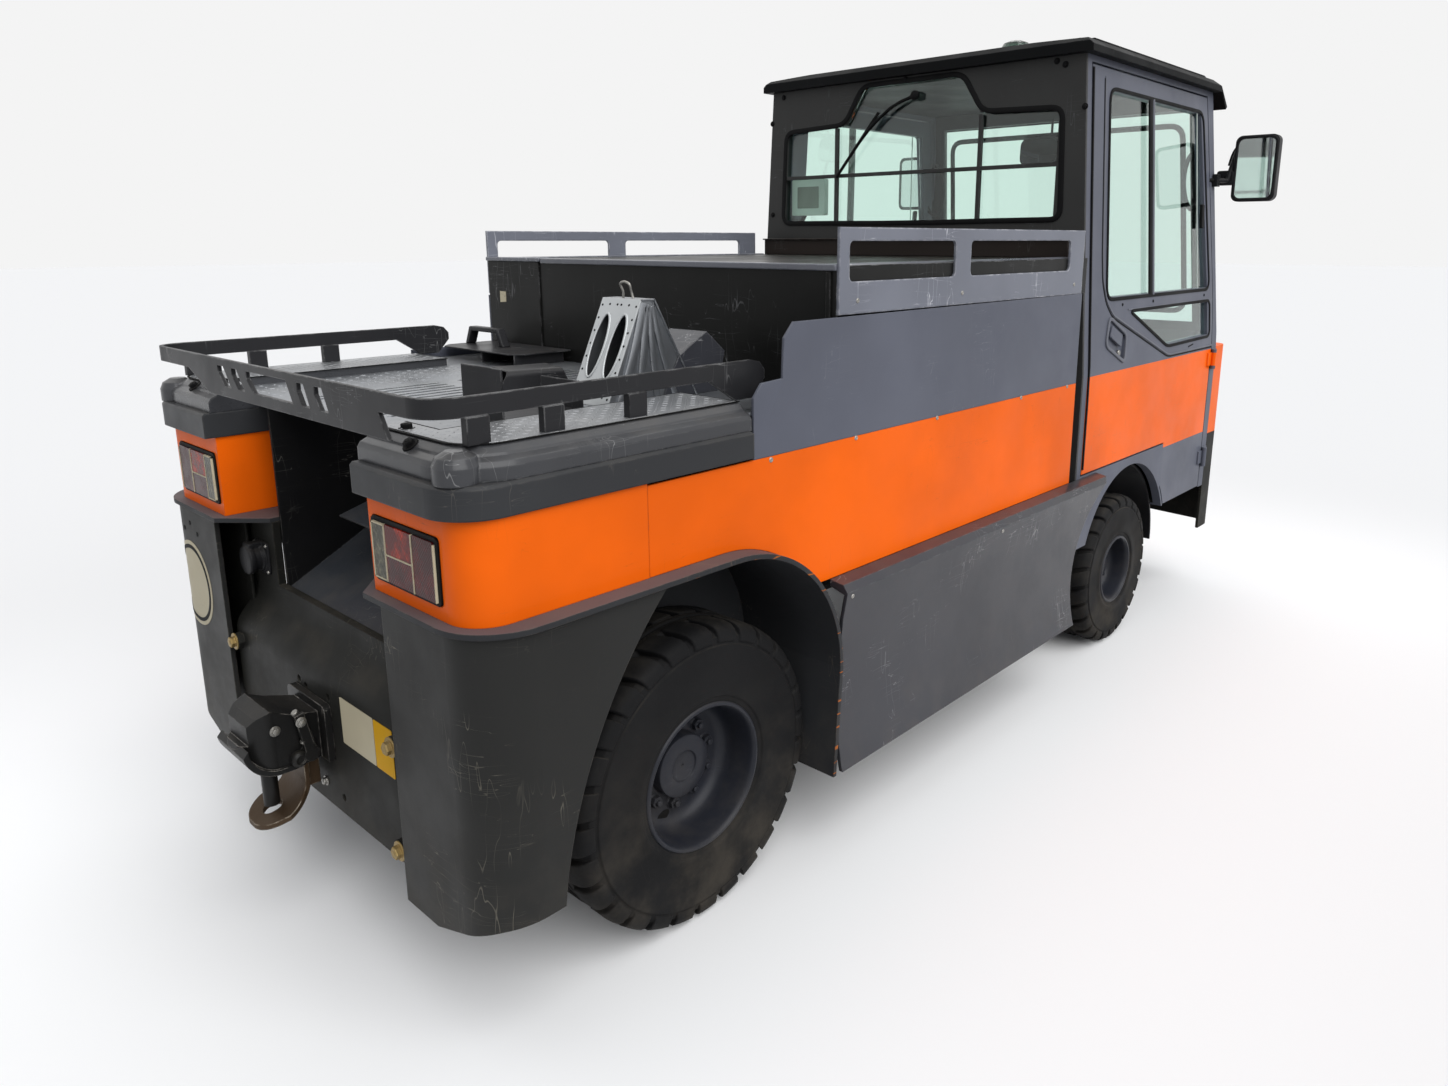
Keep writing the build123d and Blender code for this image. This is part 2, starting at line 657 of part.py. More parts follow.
# Rail plates along the hood, each with two windows
guard_front_x = cab_rear_x - 48
guard_bottom = step_top + seam
guard_top = 1413
window_bottom = 1302
window_top = 1385
guard_windows = (
    (hood_rear_x + 34, hood_rear_x + 449),
    (hood_rear_x + 518, guard_front_x - 87),
)
with BuildPart() as hood_rails:
    with BuildSketch(right_plane(hood_y)):
        with BuildLine():
            Polyline(
                (hood_rear_x, guard_bottom), (hood_rear_x, guard_top), (guard_front_x, guard_top),
                (guard_front_x, guard_bottom), close=True)
        make_face()
        for window_rear, window_front in guard_windows:
            with Locations(((window_rear + window_front) / 2, (window_bottom + window_top) / 2)):
                RectangleRounded(
                    window_front - window_rear, window_top - window_bottom, 12, mode=Mode.SUBTRACT)
    extrude(amount=side_y - hood_y)
    mirror(about=Plane.XZ)
hood_rails.part.label = "hood_rails"
export_step(hood_rails.part, "parts/hood_rails.step")

# Grey step-profile panels above the orange ones
with BuildPart() as step_panels:
    with BuildSketch(right_plane(side_y - sheet)):
        with BuildLine():
            Polyline(
                (deck_front_x + 6, orange_top + seam), (deck_front_x + 6, 1091),
                (deck_front_x + 30, 1118), (deck_front_x + 91, 1121), (deck_front_x + 95, 1200),
                (deck_front_x + 124, step_top - 4), (body_front_x, step_top),
                (body_front_x, orange_top + seam), close=True)
        make_face()
    extrude(amount=sheet)
    mirror(about=Plane.XZ)
step_panels.part.label = "step_panels"
export_step(step_panels.part, "parts/step_panels.step")

# Orange side panels, cut over the rear arch
with BuildPart() as side_panels:
    with BuildSketch(right_plane(side_y - sheet)):
        with BuildLine():
            Polyline(
                (seam_x, sill_top), (seam_x, orange_top), (body_front_x, orange_top),
                (body_front_x, sill_top), close=True)
        make_face()
        with Locations(arch_centre):
            Circle(arch_radius + seam, mode=Mode.SUBTRACT)
        with Locations((seam_x, flange_top + seam)):
            Rectangle(arch_centre[0] - seam_x, 200, align=(Align.MIN, Align.MAX), mode=Mode.SUBTRACT)
    extrude(amount=sheet)
    mirror(about=Plane.XZ)
side_panels.part.label = "side_panels"
export_step(side_panels.part, "parts/side_panels.step")

# Side skirts: a hollowed moulding between the wheel arches
skirt_bottom = 222
skirt_wall = 10
skirt_rear_x = arch_centre[0] + arch_radius + seam - 12
skirt_front_x = front_axle_x - 262
with BuildPart() as skirts:
    with BuildSketch(Plane.YZ.offset(skirt_rear_x)):
        with BuildLine():
            Polyline(
                (-side_y - seam, sill_top - seam), (-688, sill_top - 6), (-700, sill_top - 22))
            ThreePointArc((-700, sill_top - 22), (-680, 430), (-704, skirt_bottom))
            Line((-704, skirt_bottom), (-704 + skirt_wall, skirt_bottom))
            ThreePointArc((-704 + skirt_wall, skirt_bottom), (-680 + skirt_wall, 430),
                          (-700 + skirt_wall, sill_top - 28))
            Polyline(
                (-700 + skirt_wall, sill_top - 28), (-side_y - seam, sill_top - 16),
                (-side_y - seam, sill_top - seam))
        make_face()
    extrude(amount=skirt_front_x - skirt_rear_x)
    with BuildSketch(Plane.XZ):
        with BuildLine():
            ThreePointArc((skirt_front_x, sill_top + 10), (skirt_front_x - 160, 520),
                          (skirt_front_x - 225, 200))
            Polyline((skirt_front_x - 225, 200), (skirt_front_x + 200, 200),
                     (skirt_front_x + 200, sill_top + 10), (skirt_front_x, sill_top + 10))
        make_face()
    extrude(amount=lip_y + 40, both=True, mode=Mode.SUBTRACT)
    with BuildSketch(Plane.XZ):
        with BuildLine():
            Polyline((arch_centre[0] + arch_radius + seam, 900), (arch_centre[0], 900),
                     (arch_centre[0], 150), (lip_foot[0] + seam, 150),
                     (lip_foot[0] + seam, lip_foot[1]),
                     (arch_centre[0] + arch_radius + seam, arch_centre[1]),
                     (arch_centre[0] + arch_radius + seam, 900))
        make_face()
    extrude(amount=lip_y + 40, both=True, mode=Mode.SUBTRACT)
    mirror(about=Plane.XZ)
skirts.part.label = "skirts"
export_step(skirts.part, "parts/skirts.step")

# Front wheel arches under the cab
front_arch_radius = 350
front_arch_z = 290
front_arch_inner_y = 310
with BuildPart() as front_arches:
    with BuildSketch(Plane.XZ.offset(front_arch_inner_y)):
        with Locations((front_axle_x, front_arch_z)):
            Circle(front_arch_radius)
            Circle(front_arch_radius - 8, mode=Mode.SUBTRACT)
        with Locations((front_axle_x, front_arch_z)):
            Rectangle(900, 500, align=(Align.CENTER, Align.MAX), mode=Mode.SUBTRACT)
    extrude(amount=side_y - 40 - front_arch_inner_y)
    mirror(about=Plane.XZ)
front_arches.part.label = "front_arches"
export_step(front_arches.part, "parts/front_arches.step")


def cab_block(inset, bottom):
    """Outer form of the cab, or the space inside its walls."""
    with BuildPart() as block:
        with BuildSketch(Plane.XZ):
            with BuildLine():
                Polyline(
                    (cab_rear_x + inset, bottom), (cab_rear_x + inset, eave_z + inset / 30),
                    (screen_top_x - inset, eave_z + inset / 30), (scuttle_x - inset, scuttle_z),
                    (scuttle_x - inset, bottom), close=True)
            make_face()
        extrude(amount=side_y - inset, both=True)
        split(bisect_by=leaning_plane(side_y - inset, belt_z), keep=Keep.BOTTOM)
        mirrored = Plane(
            origin=(0, side_y - inset, belt_z), x_dir=(1, 0, 0),
            z_dir=(0, cos(cab_lean), sin(cab_lean)))
        split(bisect_by=mirrored, keep=Keep.BOTTOM)
    return block.part


def door_outline(grow):
    """Outline of the door in side view, grown by a gap on every side."""
    with BuildSketch() as outline:
        with BuildLine():
            Polyline(
                (door_rear_x - grow, 674 - grow), (door_rear_x - grow, 1880 + grow),
                (door_front_x - 141 + grow, 1880 + grow), (door_front_x - 13 + grow, 1213),
                (door_front_x + grow, 1100), (door_front_x + grow, cab_bottom + 6 - grow),
                (front_axle_x + 288, cab_bottom + 6 - grow), (front_axle_x + 288, 674 - grow),
                close=True)
        make_face()
        with Locations((front_axle_x, front_arch_z)):
            Circle(front_arch_radius + 16 - grow, mode=Mode.SUBTRACT)
    return outline.sketch


# Door hinges stand proud of the skin, ahead of each door's front edge
hinge_x = door_front_x + 5
hinge_y = side_y + 11
hinge_heights = (555, 940)
hinge_pin_radius = 4
barrel_radius = 9
barrel_height = 50
ear_height = 12
leaf_length = 40

# Cab frame: hollow, with openings for the doors, the windscreen and the rear window
rear_window_bottom = 1448
rear_window_top = 1762
rear_window_y = 540
notch_top = 1886
notch_top_y = 190
notch_y = 262
guard_bars_y = (303, -262, -528)
bar = 12
guard_bar_z = 1605
pane_y = 560
pane_bottom = 1075
pane_top = 1850
with BuildPart() as cab_frame:
    add(cab_block(0, cab_bottom))
    add(cab_block(cab_wall, cab_bottom + sheet), mode=Mode.SUBTRACT)
    for side in sides:
        with BuildSketch(Plane.XZ.offset(-side * 530)):
            add(door_outline(door_gap))
        extrude(amount=-side * 150, mode=Mode.SUBTRACT)
    with BuildSketch(Plane.YZ.offset(cab_rear_x - 1)):
        with BuildLine():
            Polyline(
                (-rear_window_y, rear_window_bottom), (-rear_window_y + 14, rear_window_top),
                (-notch_y, rear_window_top + 8), (-notch_top_y, notch_top), (notch_top_y, notch_top),
                (notch_y, rear_window_top + 8), (rear_window_y - 14, rear_window_top),
                (rear_window_y, rear_window_bottom), close=True)
        make_face()
    extrude(amount=cab_wall + 2, mode=Mode.SUBTRACT)
    with BuildSketch(Plane.YZ.offset(scuttle_x + 1)):
        with BuildLine():
            Polyline(
                (-pane_y, pane_bottom), (-pane_y + 40, pane_top), (pane_y - 40, pane_top),
                (pane_y, pane_bottom), close=True)
        make_face()
    extrude(amount=-220, mode=Mode.SUBTRACT)
    with BuildSketch(Plane.XZ):
        with Locations((front_axle_x, front_arch_z)):
            Circle(front_arch_radius + seam)
            Rectangle(2 * (front_arch_radius + seam), 400, align=(Align.CENTER, Align.MAX))
    extrude(amount=side_y + 1, both=True, mode=Mode.SUBTRACT)
    with BuildSketch(Plane.YZ.offset(cab_rear_x)):
        with Locations((0, rail_bottom + rail_depth + seam)):
            Rectangle(2 * (frame_y + seam), 200, align=(Align.CENTER, Align.MAX))
    extrude(amount=200, mode=Mode.SUBTRACT)
    with BuildSketch(Plane.YZ.offset(cab_rear_x)):
        for bar_at in guard_bars_y:
            with Locations((bar_at, (rear_window_bottom + rear_window_top) / 2)):
                Rectangle(bar, rear_window_top - rear_window_bottom + 4)
        with Locations((0, guard_bar_z)):
            Rectangle(2 * rear_window_y - 4, bar)
    extrude(amount=bar)
    for z in hinge_heights:
        with BuildSketch(Plane.XY.offset(z - barrel_height / 2)):
            for side in sides:
                with Locations((hinge_x, side * hinge_y)):
                    Circle(hinge_pin_radius)
        extrude(amount=barrel_height)
        for low in (z - barrel_height / 2 - bearing_gap - ear_height, z + barrel_height / 2 + bearing_gap):
            with BuildSketch(Plane.XY.offset(low)):
                for side in sides:
                    with Locations((hinge_x, side * hinge_y)):
                        Circle(barrel_radius)
                    with Locations((hinge_x + 22, side * (side_y + 2.5))):
                        Rectangle(leaf_length, 5)
            extrude(amount=ear_height)
        with BuildSketch(Plane.XY.offset(z - barrel_height / 2 - bearing_gap)):
            for side in sides:
                with Locations((hinge_x, side * hinge_y)):
                    Circle(hinge_pin_radius)
        extrude(amount=barrel_height + 2 * bearing_gap)
cab_frame.part.label = "cab_frame"
export_step(cab_frame.part, "parts/cab_frame.step")

# Floor tub: seat platform over the front wheels and the footwell ahead of them
tub_y = side_y - door_thickness - door_gap - 2
platform_z = 702
with BuildPart() as cab_floor:
    with BuildSketch(Plane.XZ):
        with BuildLine():
            Polyline(
                (cab_rear_x + cab_wall, platform_z - sheet), (cab_rear_x + cab_wall, platform_z),
                (riser_x, platform_z), (riser_x, cab_bottom + 2 * sheet),
                (scuttle_x - cab_wall, cab_bottom + 2 * sheet), (scuttle_x - cab_wall, cab_bottom + sheet),
                (riser_x - sheet, cab_bottom + sheet), (riser_x - sheet, platform_z - sheet),
                close=True)
        make_face()
    extrude(amount=tub_y, both=True)
cab_floor.part.label = "cab_floor"
export_step(cab_floor.part, "parts/cab_floor.step")

# Roof: one moulding, crowned across and drooping into a visor at the front
roof_y = 624
visor_x = scuttle_x - 63
visor_z = 1850
beacon_x = cab_rear_x + 175
beacon_y = -274
beacon_radius = 48
beacon_seat_z = roof_top - 8
beacon_facets = 20
beacon_rings = ((0, 48), (28, 46), (41, 38), (48, 20))
with BuildPart() as cab_roof:
    with BuildSketch(Plane.XZ):
        with BuildLine():
            Polyline(
                (cab_rear_x - 22, eave_z), (cab_rear_x - 22, 1934), (cab_rear_x, 1951),
                (scuttle_x - 285, roof_top), (scuttle_x - 165, 1946),
                (visor_x, visor_z + 10), (visor_x - 12, visor_z),
                (screen_top_x + 8, eave_z), close=True)
        make_face()
    extrude(amount=roof_y, both=True)
    with BuildSketch(Plane.YZ.offset(cab_rear_x - 40)):
        with BuildLine():
            Polyline((-600, 1944), (-roof_y, 1924), (-roof_y, visor_z - 20), (roof_y, visor_z - 20),
                     (roof_y, 1924), (600, 1944))
            ThreePointArc((-600, 1944), (0, roof_top), (600, 1944))
        make_face()
    extrude(amount=scuttle_x - cab_rear_x + 115, mode=Mode.INTERSECT)
    with BuildSketch(Plane.XY.offset(beacon_seat_z)):
        with Locations((beacon_x, beacon_y)):
            RegularPolygon(beacon_radius + seam, beacon_facets)
    extrude(amount=roof_top, mode=Mode.SUBTRACT)
cab_roof.part.label = "cab_roof"
export_step(cab_roof.part, "parts/cab_roof.step")

# Windscreen and rear window panes
with BuildPart() as windscreen:
    add(cab_block(8, cab_bottom))
    add(cab_block(8 + glass_thickness, cab_bottom - 10), mode=Mode.SUBTRACT)
    with BuildSketch(Plane.YZ.offset(scuttle_x + 1)):
        with BuildLine():
            Polyline(
                (-pane_y, pane_bottom), (-pane_y + 40, pane_top), (pane_y - 40, pane_top),
                (pane_y, pane_bottom), close=True)
        make_face()
    extrude(amount=-200, mode=Mode.INTERSECT)
windscreen.part.label = "windscreen"
export_step(windscreen.part, "parts/windscreen.step")

with BuildPart() as rear_window:
    with BuildSketch(Plane.YZ.offset(cab_rear_x + bar + seam)):
        with BuildLine():
            Polyline(
                (-rear_window_y, rear_window_bottom), (-rear_window_y + 14, rear_window_top),
                (-notch_y, rear_window_top + 8), (-notch_top_y, notch_top), (notch_top_y, notch_top),
                (notch_y, rear_window_top + 8), (rear_window_y - 14, rear_window_top),
                (rear_window_y, rear_window_bottom), close=True)
        make_face()
    extrude(amount=glass_thickness)
rear_window.part.label = "rear_window"
export_step(rear_window.part, "parts/rear_window.step")


# Plan of the nose: where its corners start, and the flat push face in its middle
corner_x = nose_x - 115
nose_corner = 80
push_y = 300


def nose_plan(inset):
    """Plan of the nose: straight sides, rounded corners and a flat push face in the middle."""
    brow_x = corner_x + nose_corner - inset
    with BuildSketch() as plan:
        with BuildLine():
            Line((scuttle_x + seam, -side_y + inset), (corner_x, -side_y + inset))
            RadiusArc((corner_x, -side_y + inset), (brow_x, -side_y + nose_corner),
                      -(nose_corner - inset))
            Polyline((brow_x, -side_y + nose_corner), (nose_x - inset, -push_y), (nose_x - inset, push_y),
                     (brow_x, side_y - nose_corner))
            RadiusArc((brow_x, side_y - nose_corner), (corner_x, side_y - inset),
                      -(nose_corner - inset))
            Polyline((corner_x, side_y - inset), (scuttle_x + seam, side_y - inset),
                     (scuttle_x + seam, -side_y + inset))
        make_face()
    return plan.sketch


# Nose: orange panel with its cowl above, dark bumper moulding below
nose_split_z = 640
nose_bottom = 250
nose_wall = 10
with BuildPart() as front_panel:
    with BuildSketch(Plane.XY.offset(nose_split_z)):
        add(nose_plan(0))
    extrude(amount=belt_z - nose_split_z)
    with BuildSketch(Plane.XY.offset(nose_split_z)):
        add(nose_plan(nose_wall))
    extrude(amount=belt_z - nose_split_z - nose_wall, mode=Mode.SUBTRACT)
front_panel.part.label = "front_panel"
export_step(front_panel.part, "parts/front_panel.step")

lamp_y = 470
lamp_z = 520
lamp_radius = 75
with BuildPart() as front_bumper:
    with BuildSketch(Plane.XY.offset(nose_bottom)):
        add(nose_plan(0))
    extrude(amount=nose_split_z - seam - nose_bottom)
    with BuildSketch(Plane.XY.offset(nose_bottom)):
        add(nose_plan(nose_wall))
    extrude(amount=nose_split_z - nose_bottom, mode=Mode.SUBTRACT)
    with BuildSketch(Plane.YZ.offset(nose_x + 1)):
        for side in sides:
            with Locations((side * lamp_y, lamp_z)):
                Circle(lamp_radius + bearing_gap)
    extrude(amount=-200, mode=Mode.SUBTRACT)
front_bumper.part.label = "front_bumper"
export_step(front_bumper.part, "parts/front_bumper.step")

with BuildPart() as headlamps:
    with BuildSketch(Plane.YZ.offset(nose_x - 30)):
        for side in sides:
            with Locations((side * lamp_y, lamp_z)):
                Circle(lamp_radius)
    extrude(amount=-60)
headlamps.part.label = "headlamps"
export_step(headlamps.part, "parts/headlamps.step")

# Rear-view mirrors on tube arms at the windscreen posts
mirror_x = scuttle_x - 40
clamp_x = scuttle_x - 115
mirror_y = 740
mirror_z = 1640
arm_radius = 9
arm_low_z = 1600
arm_high_z = 1740
with BuildPart() as mirrors:
    with BuildLine() as arm:
        Polyline((clamp_x + 15, -622, arm_low_z), (clamp_x + 50, -650, arm_low_z),
                 (clamp_x + 92, -672, arm_high_z), (clamp_x + 92, -mirror_y, arm_high_z - 15))
    with BuildSketch(Plane(origin=arm.line @ 0, z_dir=arm.line % 0)):
        RegularPolygon(arm_radius, 8)
    sweep(path=arm.line, transition=Transition.RIGHT)
    with BuildSketch(Plane.YZ.offset(mirror_x - 18)):
        with Locations((-mirror_y, mirror_z)):
            RectangleRounded(148, 232, 24)
    extrude(amount=36)
    with BuildSketch(Plane.YZ.offset(clamp_x)):
        with Locations((-614.3, arm_low_z)):
            Rectangle(18, 44, align=(Align.MAX, Align.CENTER))
    extrude(amount=30)
    mirror(about=Plane.XZ)
mirrors.part.label = "mirrors"
export_step(mirrors.part, "parts/mirrors.step")

# Cab interior: dashboard, steering column, driver's seat
driver_y = 280
dash_y = 596
with BuildPart() as dashboard:
    with BuildSketch(Plane.XZ):
        with BuildLine():
            Polyline(
                (scuttle_x - cab_wall, 860), (scuttle_x - cab_wall, 1040), (scuttle_x - 95, 1046),
                (scuttle_x - 179, 975), (scuttle_x - 183, 905), (scuttle_x - 125, 860), close=True)
        make_face()
    extrude(amount=dash_y, both=True)
dashboard.part.label = "dashboard"
export_step(dashboard.part, "parts/dashboard.step")

wheel_centre = (scuttle_x - 325, driver_y, 1110)
column_direction = Vector(0.47, 0, -0.883)
hub_gap = 0.3
column_radius = 24
steering_plane = Plane(origin=wheel_centre, x_dir=(0, 1, 0), z_dir=column_direction)
with BuildPart() as steering_column:
    with BuildSketch(steering_plane.offset(20 + hub_gap)):
        Circle(column_radius)
    extrude(amount=640)
    split(bisect_by=Plane.YZ.offset(scuttle_x - cab_wall), keep=Keep.BOTTOM)
steering_column.part.label = "steering_column"
export_step(steering_column.part, "parts/steering_column.step")

steering_radius = 190
steering_rim = 14
steering_runs = 24
with BuildPart() as steering_wheel:
    with BuildSketch(steering_plane.offset(-20)):
        RegularPolygon(40, steering_runs)
    extrude(amount=40)
    with BuildSketch(steering_plane.offset(-6)):
        for angle in (90, 210, 330):
            with PolarLocations(steering_radius / 2, 1, angle):
                Rectangle(steering_radius, 30)
    extrude(amount=10)
    with BuildSketch(steering_plane.offset(-steering_rim)):
        RegularPolygon(steering_radius + steering_rim / 2, steering_runs)
        RegularPolygon(steering_radius - steering_rim / 2, steering_runs, mode=Mode.SUBTRACT)
    extrude(amount=2 * steering_rim)
    with BuildSketch(steering_plane.offset(-steering_rim / 2)):
        RegularPolygon(steering_radius + steering_rim, steering_runs)
        RegularPolygon(steering_radius - steering_rim, steering_runs, mode=Mode.SUBTRACT)
    extrude(amount=steering_rim)
steering_wheel.part.label = "steering_wheel"
export_step(steering_wheel.part, "parts/steering_wheel.step")

seat_width = 460
seat_x = cab_rear_x + 560
with BuildPart() as seat_base:
    with BuildSketch(Plane.XY.offset(platform_z)):
        with Locations((seat_x, driver_y)):
            Rectangle(400, seat_width - 60)
    extrude(amount=100)
seat_base.part.label = "seat_base"
export_step(seat_base.part, "parts/seat_base.step")

cushion_bottom = platform_z + 100 + bearing_gap
cushion_top = 905
seat_top = 1440
with BuildPart() as seat_cushion:
    with BuildSketch(Plane.XZ.offset(-driver_y)):
        with BuildLine():
            Polyline(
                (seat_x - 200, cushion_bottom), (seat_x + 240, cushion_bottom),
                (seat_x + 250, cushion_top + 5), (seat_x + 190, cushion_top + 20),
                (seat_x - 110, cushion_top), (seat_x - 205, cushion_top - 5), close=True)
        make_face()
    extrude(amount=seat_width / 2, both=True)
seat_cushion.part.label = "seat_cushion"
export_step(seat_cushion.part, "parts/seat_cushion.step")

with BuildPart() as seat_back:
    with BuildSketch(Plane.XZ.offset(-driver_y)):
        with BuildLine():
            Polyline(
                (seat_x - 220, cushion_top - 4.7), (seat_x - 205 - bearing_gap, cushion_top - 4.7),
                (seat_x - 124, cushion_top + 6), (seat_x - 200, seat_top), (seat_x - 280, seat_top),
                (seat_x - 300, seat_top - 40), close=True)
        make_face()
    extrude(amount=seat_width / 2 - 10, both=True)
seat_back.part.label = "seat_back"
export_step(seat_back.part, "parts/seat_back.step")

# Beacon on the roof: rings by height and radius
with BuildPart() as beacon:
    for (low_z, low_radius), (high_z, high_radius) in zip(beacon_rings, beacon_rings[1:]):
        for height, radius in ((low_z, low_radius), (high_z, high_radius)):
            with BuildSketch(Plane.XY.offset(beacon_seat_z + height)):
                with Locations((beacon_x, beacon_y)):
                    RegularPolygon(radius, beacon_facets)
        loft(ruled=True)
beacon.part.label = "beacon"
export_step(beacon.part, "parts/beacon.step")

# Wheel chock of folded sheet: sloped plates with oval cut-outs, open underneath
chock_y = -340
chock_width = 120
chock_heel_x = deck_front_x - 150
chock_toe_x = deck_front_x + 100
chock_top = 1275
chock_top_length = 38
chock_sheet = 3
chock_peak_x = chock_heel_x + 96
slot_height = 128
slot_breadth = 34
with BuildPart() as wheel_chock:
    with BuildSketch(Plane.XZ.offset(-chock_y - chock_width / 2)):
        with BuildLine():
            Polyline(
                (chock_heel_x, deck_top), (chock_peak_x, chock_top),
                (chock_peak_x + chock_top_length, chock_top), (chock_toe_x, deck_top), close=True)
        make_face()
    extrude(amount=chock_width)
    with BuildSketch(Plane.XZ.offset(-chock_y - chock_width / 2 + chock_sheet)):
        with BuildLine():
            Polyline(
                (chock_heel_x + 4, deck_top - 1), (chock_peak_x + 2, chock_top - chock_sheet),
                (chock_peak_x + chock_top_length - 2, chock_top - chock_sheet),
                (chock_toe_x - 5, deck_top - 1), close=True)
        make_face()
    extrude(amount=chock_width - 2 * chock_sheet, mode=Mode.SUBTRACT)
    with BuildSketch(Plane.YZ.offset(chock_heel_x - 1)):
        with Locations((chock_y, (deck_top + chock_top) / 2 + 16)):
            with GridLocations(50, 0, 2, 1):
                SlotOverall(slot_height, slot_breadth, rotation=90)
    extrude(amount=chock_peak_x - chock_heel_x, mode=Mode.SUBTRACT)
wheel_chock.part.label = "wheel_chock"
export_step(wheel_chock.part, "parts/wheel_chock.step")

bracket_x = deck_front_x - 300
bracket_length = 180
bracket_width = 130
bracket_sheet = 4
bracket_walls = ((bracket_x - 89, 100), (bracket_x + 86, 60))
with BuildPart() as chock_bracket:
    with BuildSketch(Plane.XY.offset(deck_top)):
        with Locations((bracket_x, chock_y)):
            Rectangle(bracket_length, bracket_width)
    extrude(amount=bracket_sheet)
    for wall_x, wall_height in bracket_walls:
        with BuildSketch(Plane.YZ.offset(wall_x)):
            with Locations((chock_y, deck_top)):
                Rectangle(bracket_width, wall_height, align=(Align.CENTER, Align.MIN))
        extrude(amount=bracket_sheet)
chock_bracket.part.label = "chock_bracket"
export_step(chock_bracket.part, "parts/chock_bracket.step")

# Axles. The rear one is a tube with its gear housing, hung from the rails by pads
tube_radius = 55
tube_sides = 12
rear_tube_y = 420
housing_size = 240
pad_length = 120
with BuildPart() as rear_axle:
    with BuildSketch(Plane.XZ):
        with Locations((rear_axle_x, rear_tyre_radius)):
            RegularPolygon(tube_radius, tube_sides)
    extrude(amount=rear_tube_y, both=True)
    with BuildSketch(Plane.XZ):
        with Locations((rear_axle_x, rear_tyre_radius)):
            Rectangle(housing_size, housing_size - 90)
    extrude(amount=130, both=True)
    with BuildSketch(Plane.XZ):
        with Locations((rear_axle_x, rear_tyre_radius)):
            Circle(spindle_radius)
    extrude(amount=rear_wheel_y + 15, both=True)
    with BuildSketch(Plane.XY.offset(rear_tyre_radius)):
        for side in sides:
            with Locations((rear_axle_x, side * rail_y)):
                Rectangle(pad_length, rail_width)
    extrude(amount=rail_bottom - rear_tyre_radius)
rear_axle.part.label = "rear_axle"
export_step(rear_axle.part, "parts/rear_axle.step")

# Front axle: a beam with an eye for the kingpin at each end
eye_radius = 34
eye_height = 70
beam = 64
with BuildPart() as front_axle:
    with BuildSketch(Plane.XZ):
        with Locations((front_axle_x, front_tyre_radius)):
            Rectangle(beam, beam - 10)
    extrude(amount=kingpin_y - kingpin_radius - 6, both=True)
    with BuildSketch(Plane.XY.offset(front_tyre_radius - eye_height / 2)):
        for side in sides:
            with Locations((front_axle_x, side * kingpin_y)):
                Circle(eye_radius)
    extrude(amount=eye_height)
    with BuildSketch(Plane.XY.offset(front_tyre_radius - eye_height / 2)):
        for side in sides:
            with Locations((front_axle_x, side * kingpin_y)):
                Circle(kingpin_radius + bearing_gap)
    extrude(amount=eye_height, mode=Mode.SUBTRACT)
    with BuildSketch(Plane.XY.offset(front_tyre_radius)):
        for side in sides:
            with Locations((front_axle_x, side * rail_y)):
                Rectangle(pad_length, rail_width)
    extrude(amount=rail_bottom - front_tyre_radius)
front_axle.part.label = "front_axle"
export_step(front_axle.part, "parts/front_axle.step")

# Knuckles: a yoke round the axle's eye, with the kingpin and the wheel's spindle
lug_height = 22
yoke_y = kingpin_y + eye_radius + 4
yoke_wall = 18
front_dish = -8
rear_dish = -4
cap_depth = 24
front_spindle_end = front_wheel_y + front_dish + cap_depth - 2
with BuildPart() as knuckle_right:
    with BuildSketch(Plane.XY.offset(front_tyre_radius + eye_height / 2 + bearing_gap)):
        with Locations((front_axle_x, -kingpin_y)):
            Circle(eye_radius)
            Rectangle(2 * eye_radius, yoke_y + yoke_wall - kingpin_y,
                      align=(Align.CENTER, Align.MAX))
    extrude(amount=lug_height)
    with BuildSketch(Plane.XY.offset(front_tyre_radius - eye_height / 2 - bearing_gap)):
        with Locations((front_axle_x, -kingpin_y)):
            Circle(eye_radius)
            Rectangle(2 * eye_radius, yoke_y + yoke_wall - kingpin_y,
                      align=(Align.CENTER, Align.MAX))
    extrude(amount=-lug_height)
    with BuildSketch(Plane.XY.offset(front_tyre_radius - eye_height / 2 - bearing_gap)):
        with Locations((front_axle_x, -kingpin_y)):
            Circle(kingpin_radius)
    extrude(amount=eye_height + 2 * bearing_gap)
    with BuildSketch(Plane.XZ.offset(yoke_y)):
        with Locations((front_axle_x, front_tyre_radius)):
            Rectangle(2 * eye_radius, eye_height + 2 * lug_height)
    extrude(amount=yoke_wall)
    with BuildSketch(Plane.XZ.offset(yoke_y + yoke_wall)):
        with Locations((front_axle_x, front_tyre_radius)):
            Circle(spindle_radius)
    extrude(amount=front_spindle_end - yoke_y - yoke_wall)
knuckle_right.part.label = "knuckle_right"
export_step(knuckle_right.part, "parts/knuckle_right.step")

with BuildPart() as knuckle_left:
    add(mirror(knuckle_right.part, about=Plane.XZ, mode=Mode.PRIVATE))
knuckle_left.part.label = "knuckle_left"
export_step(knuckle_left.part, "parts/knuckle_left.step")


def wheel_plane(x, y, radius, side):
    """Plane through a wheel's middle, facing out of the vehicle, with its local y axis up."""
    return Plane(origin=(x, side * y, radius), x_dir=(-side, 0, 0), z_dir=(0, side, 0))


# Tread: every flat of the tyre carries one slanted lug of the outer row, and the inner row's
# lugs lie between them. The corners of the lugs reach the tyre's radius
tread_depth = 18
tread_shoulder = 23
lug_share = 0.66
lug_slant = 0.2
lug_gap = 14


def lug_reach(radius, width, lug_count):
    """Distance from a lug's middle to the far corner of its top, along the tread."""
    slant_length = (width / 2 - tread_shoulder - lug_gap) / 2
    reach = lug_share * pi * radius / lug_count + lug_slant * slant_length
    return reach / sqrt(1 + lug_slant ** 2)


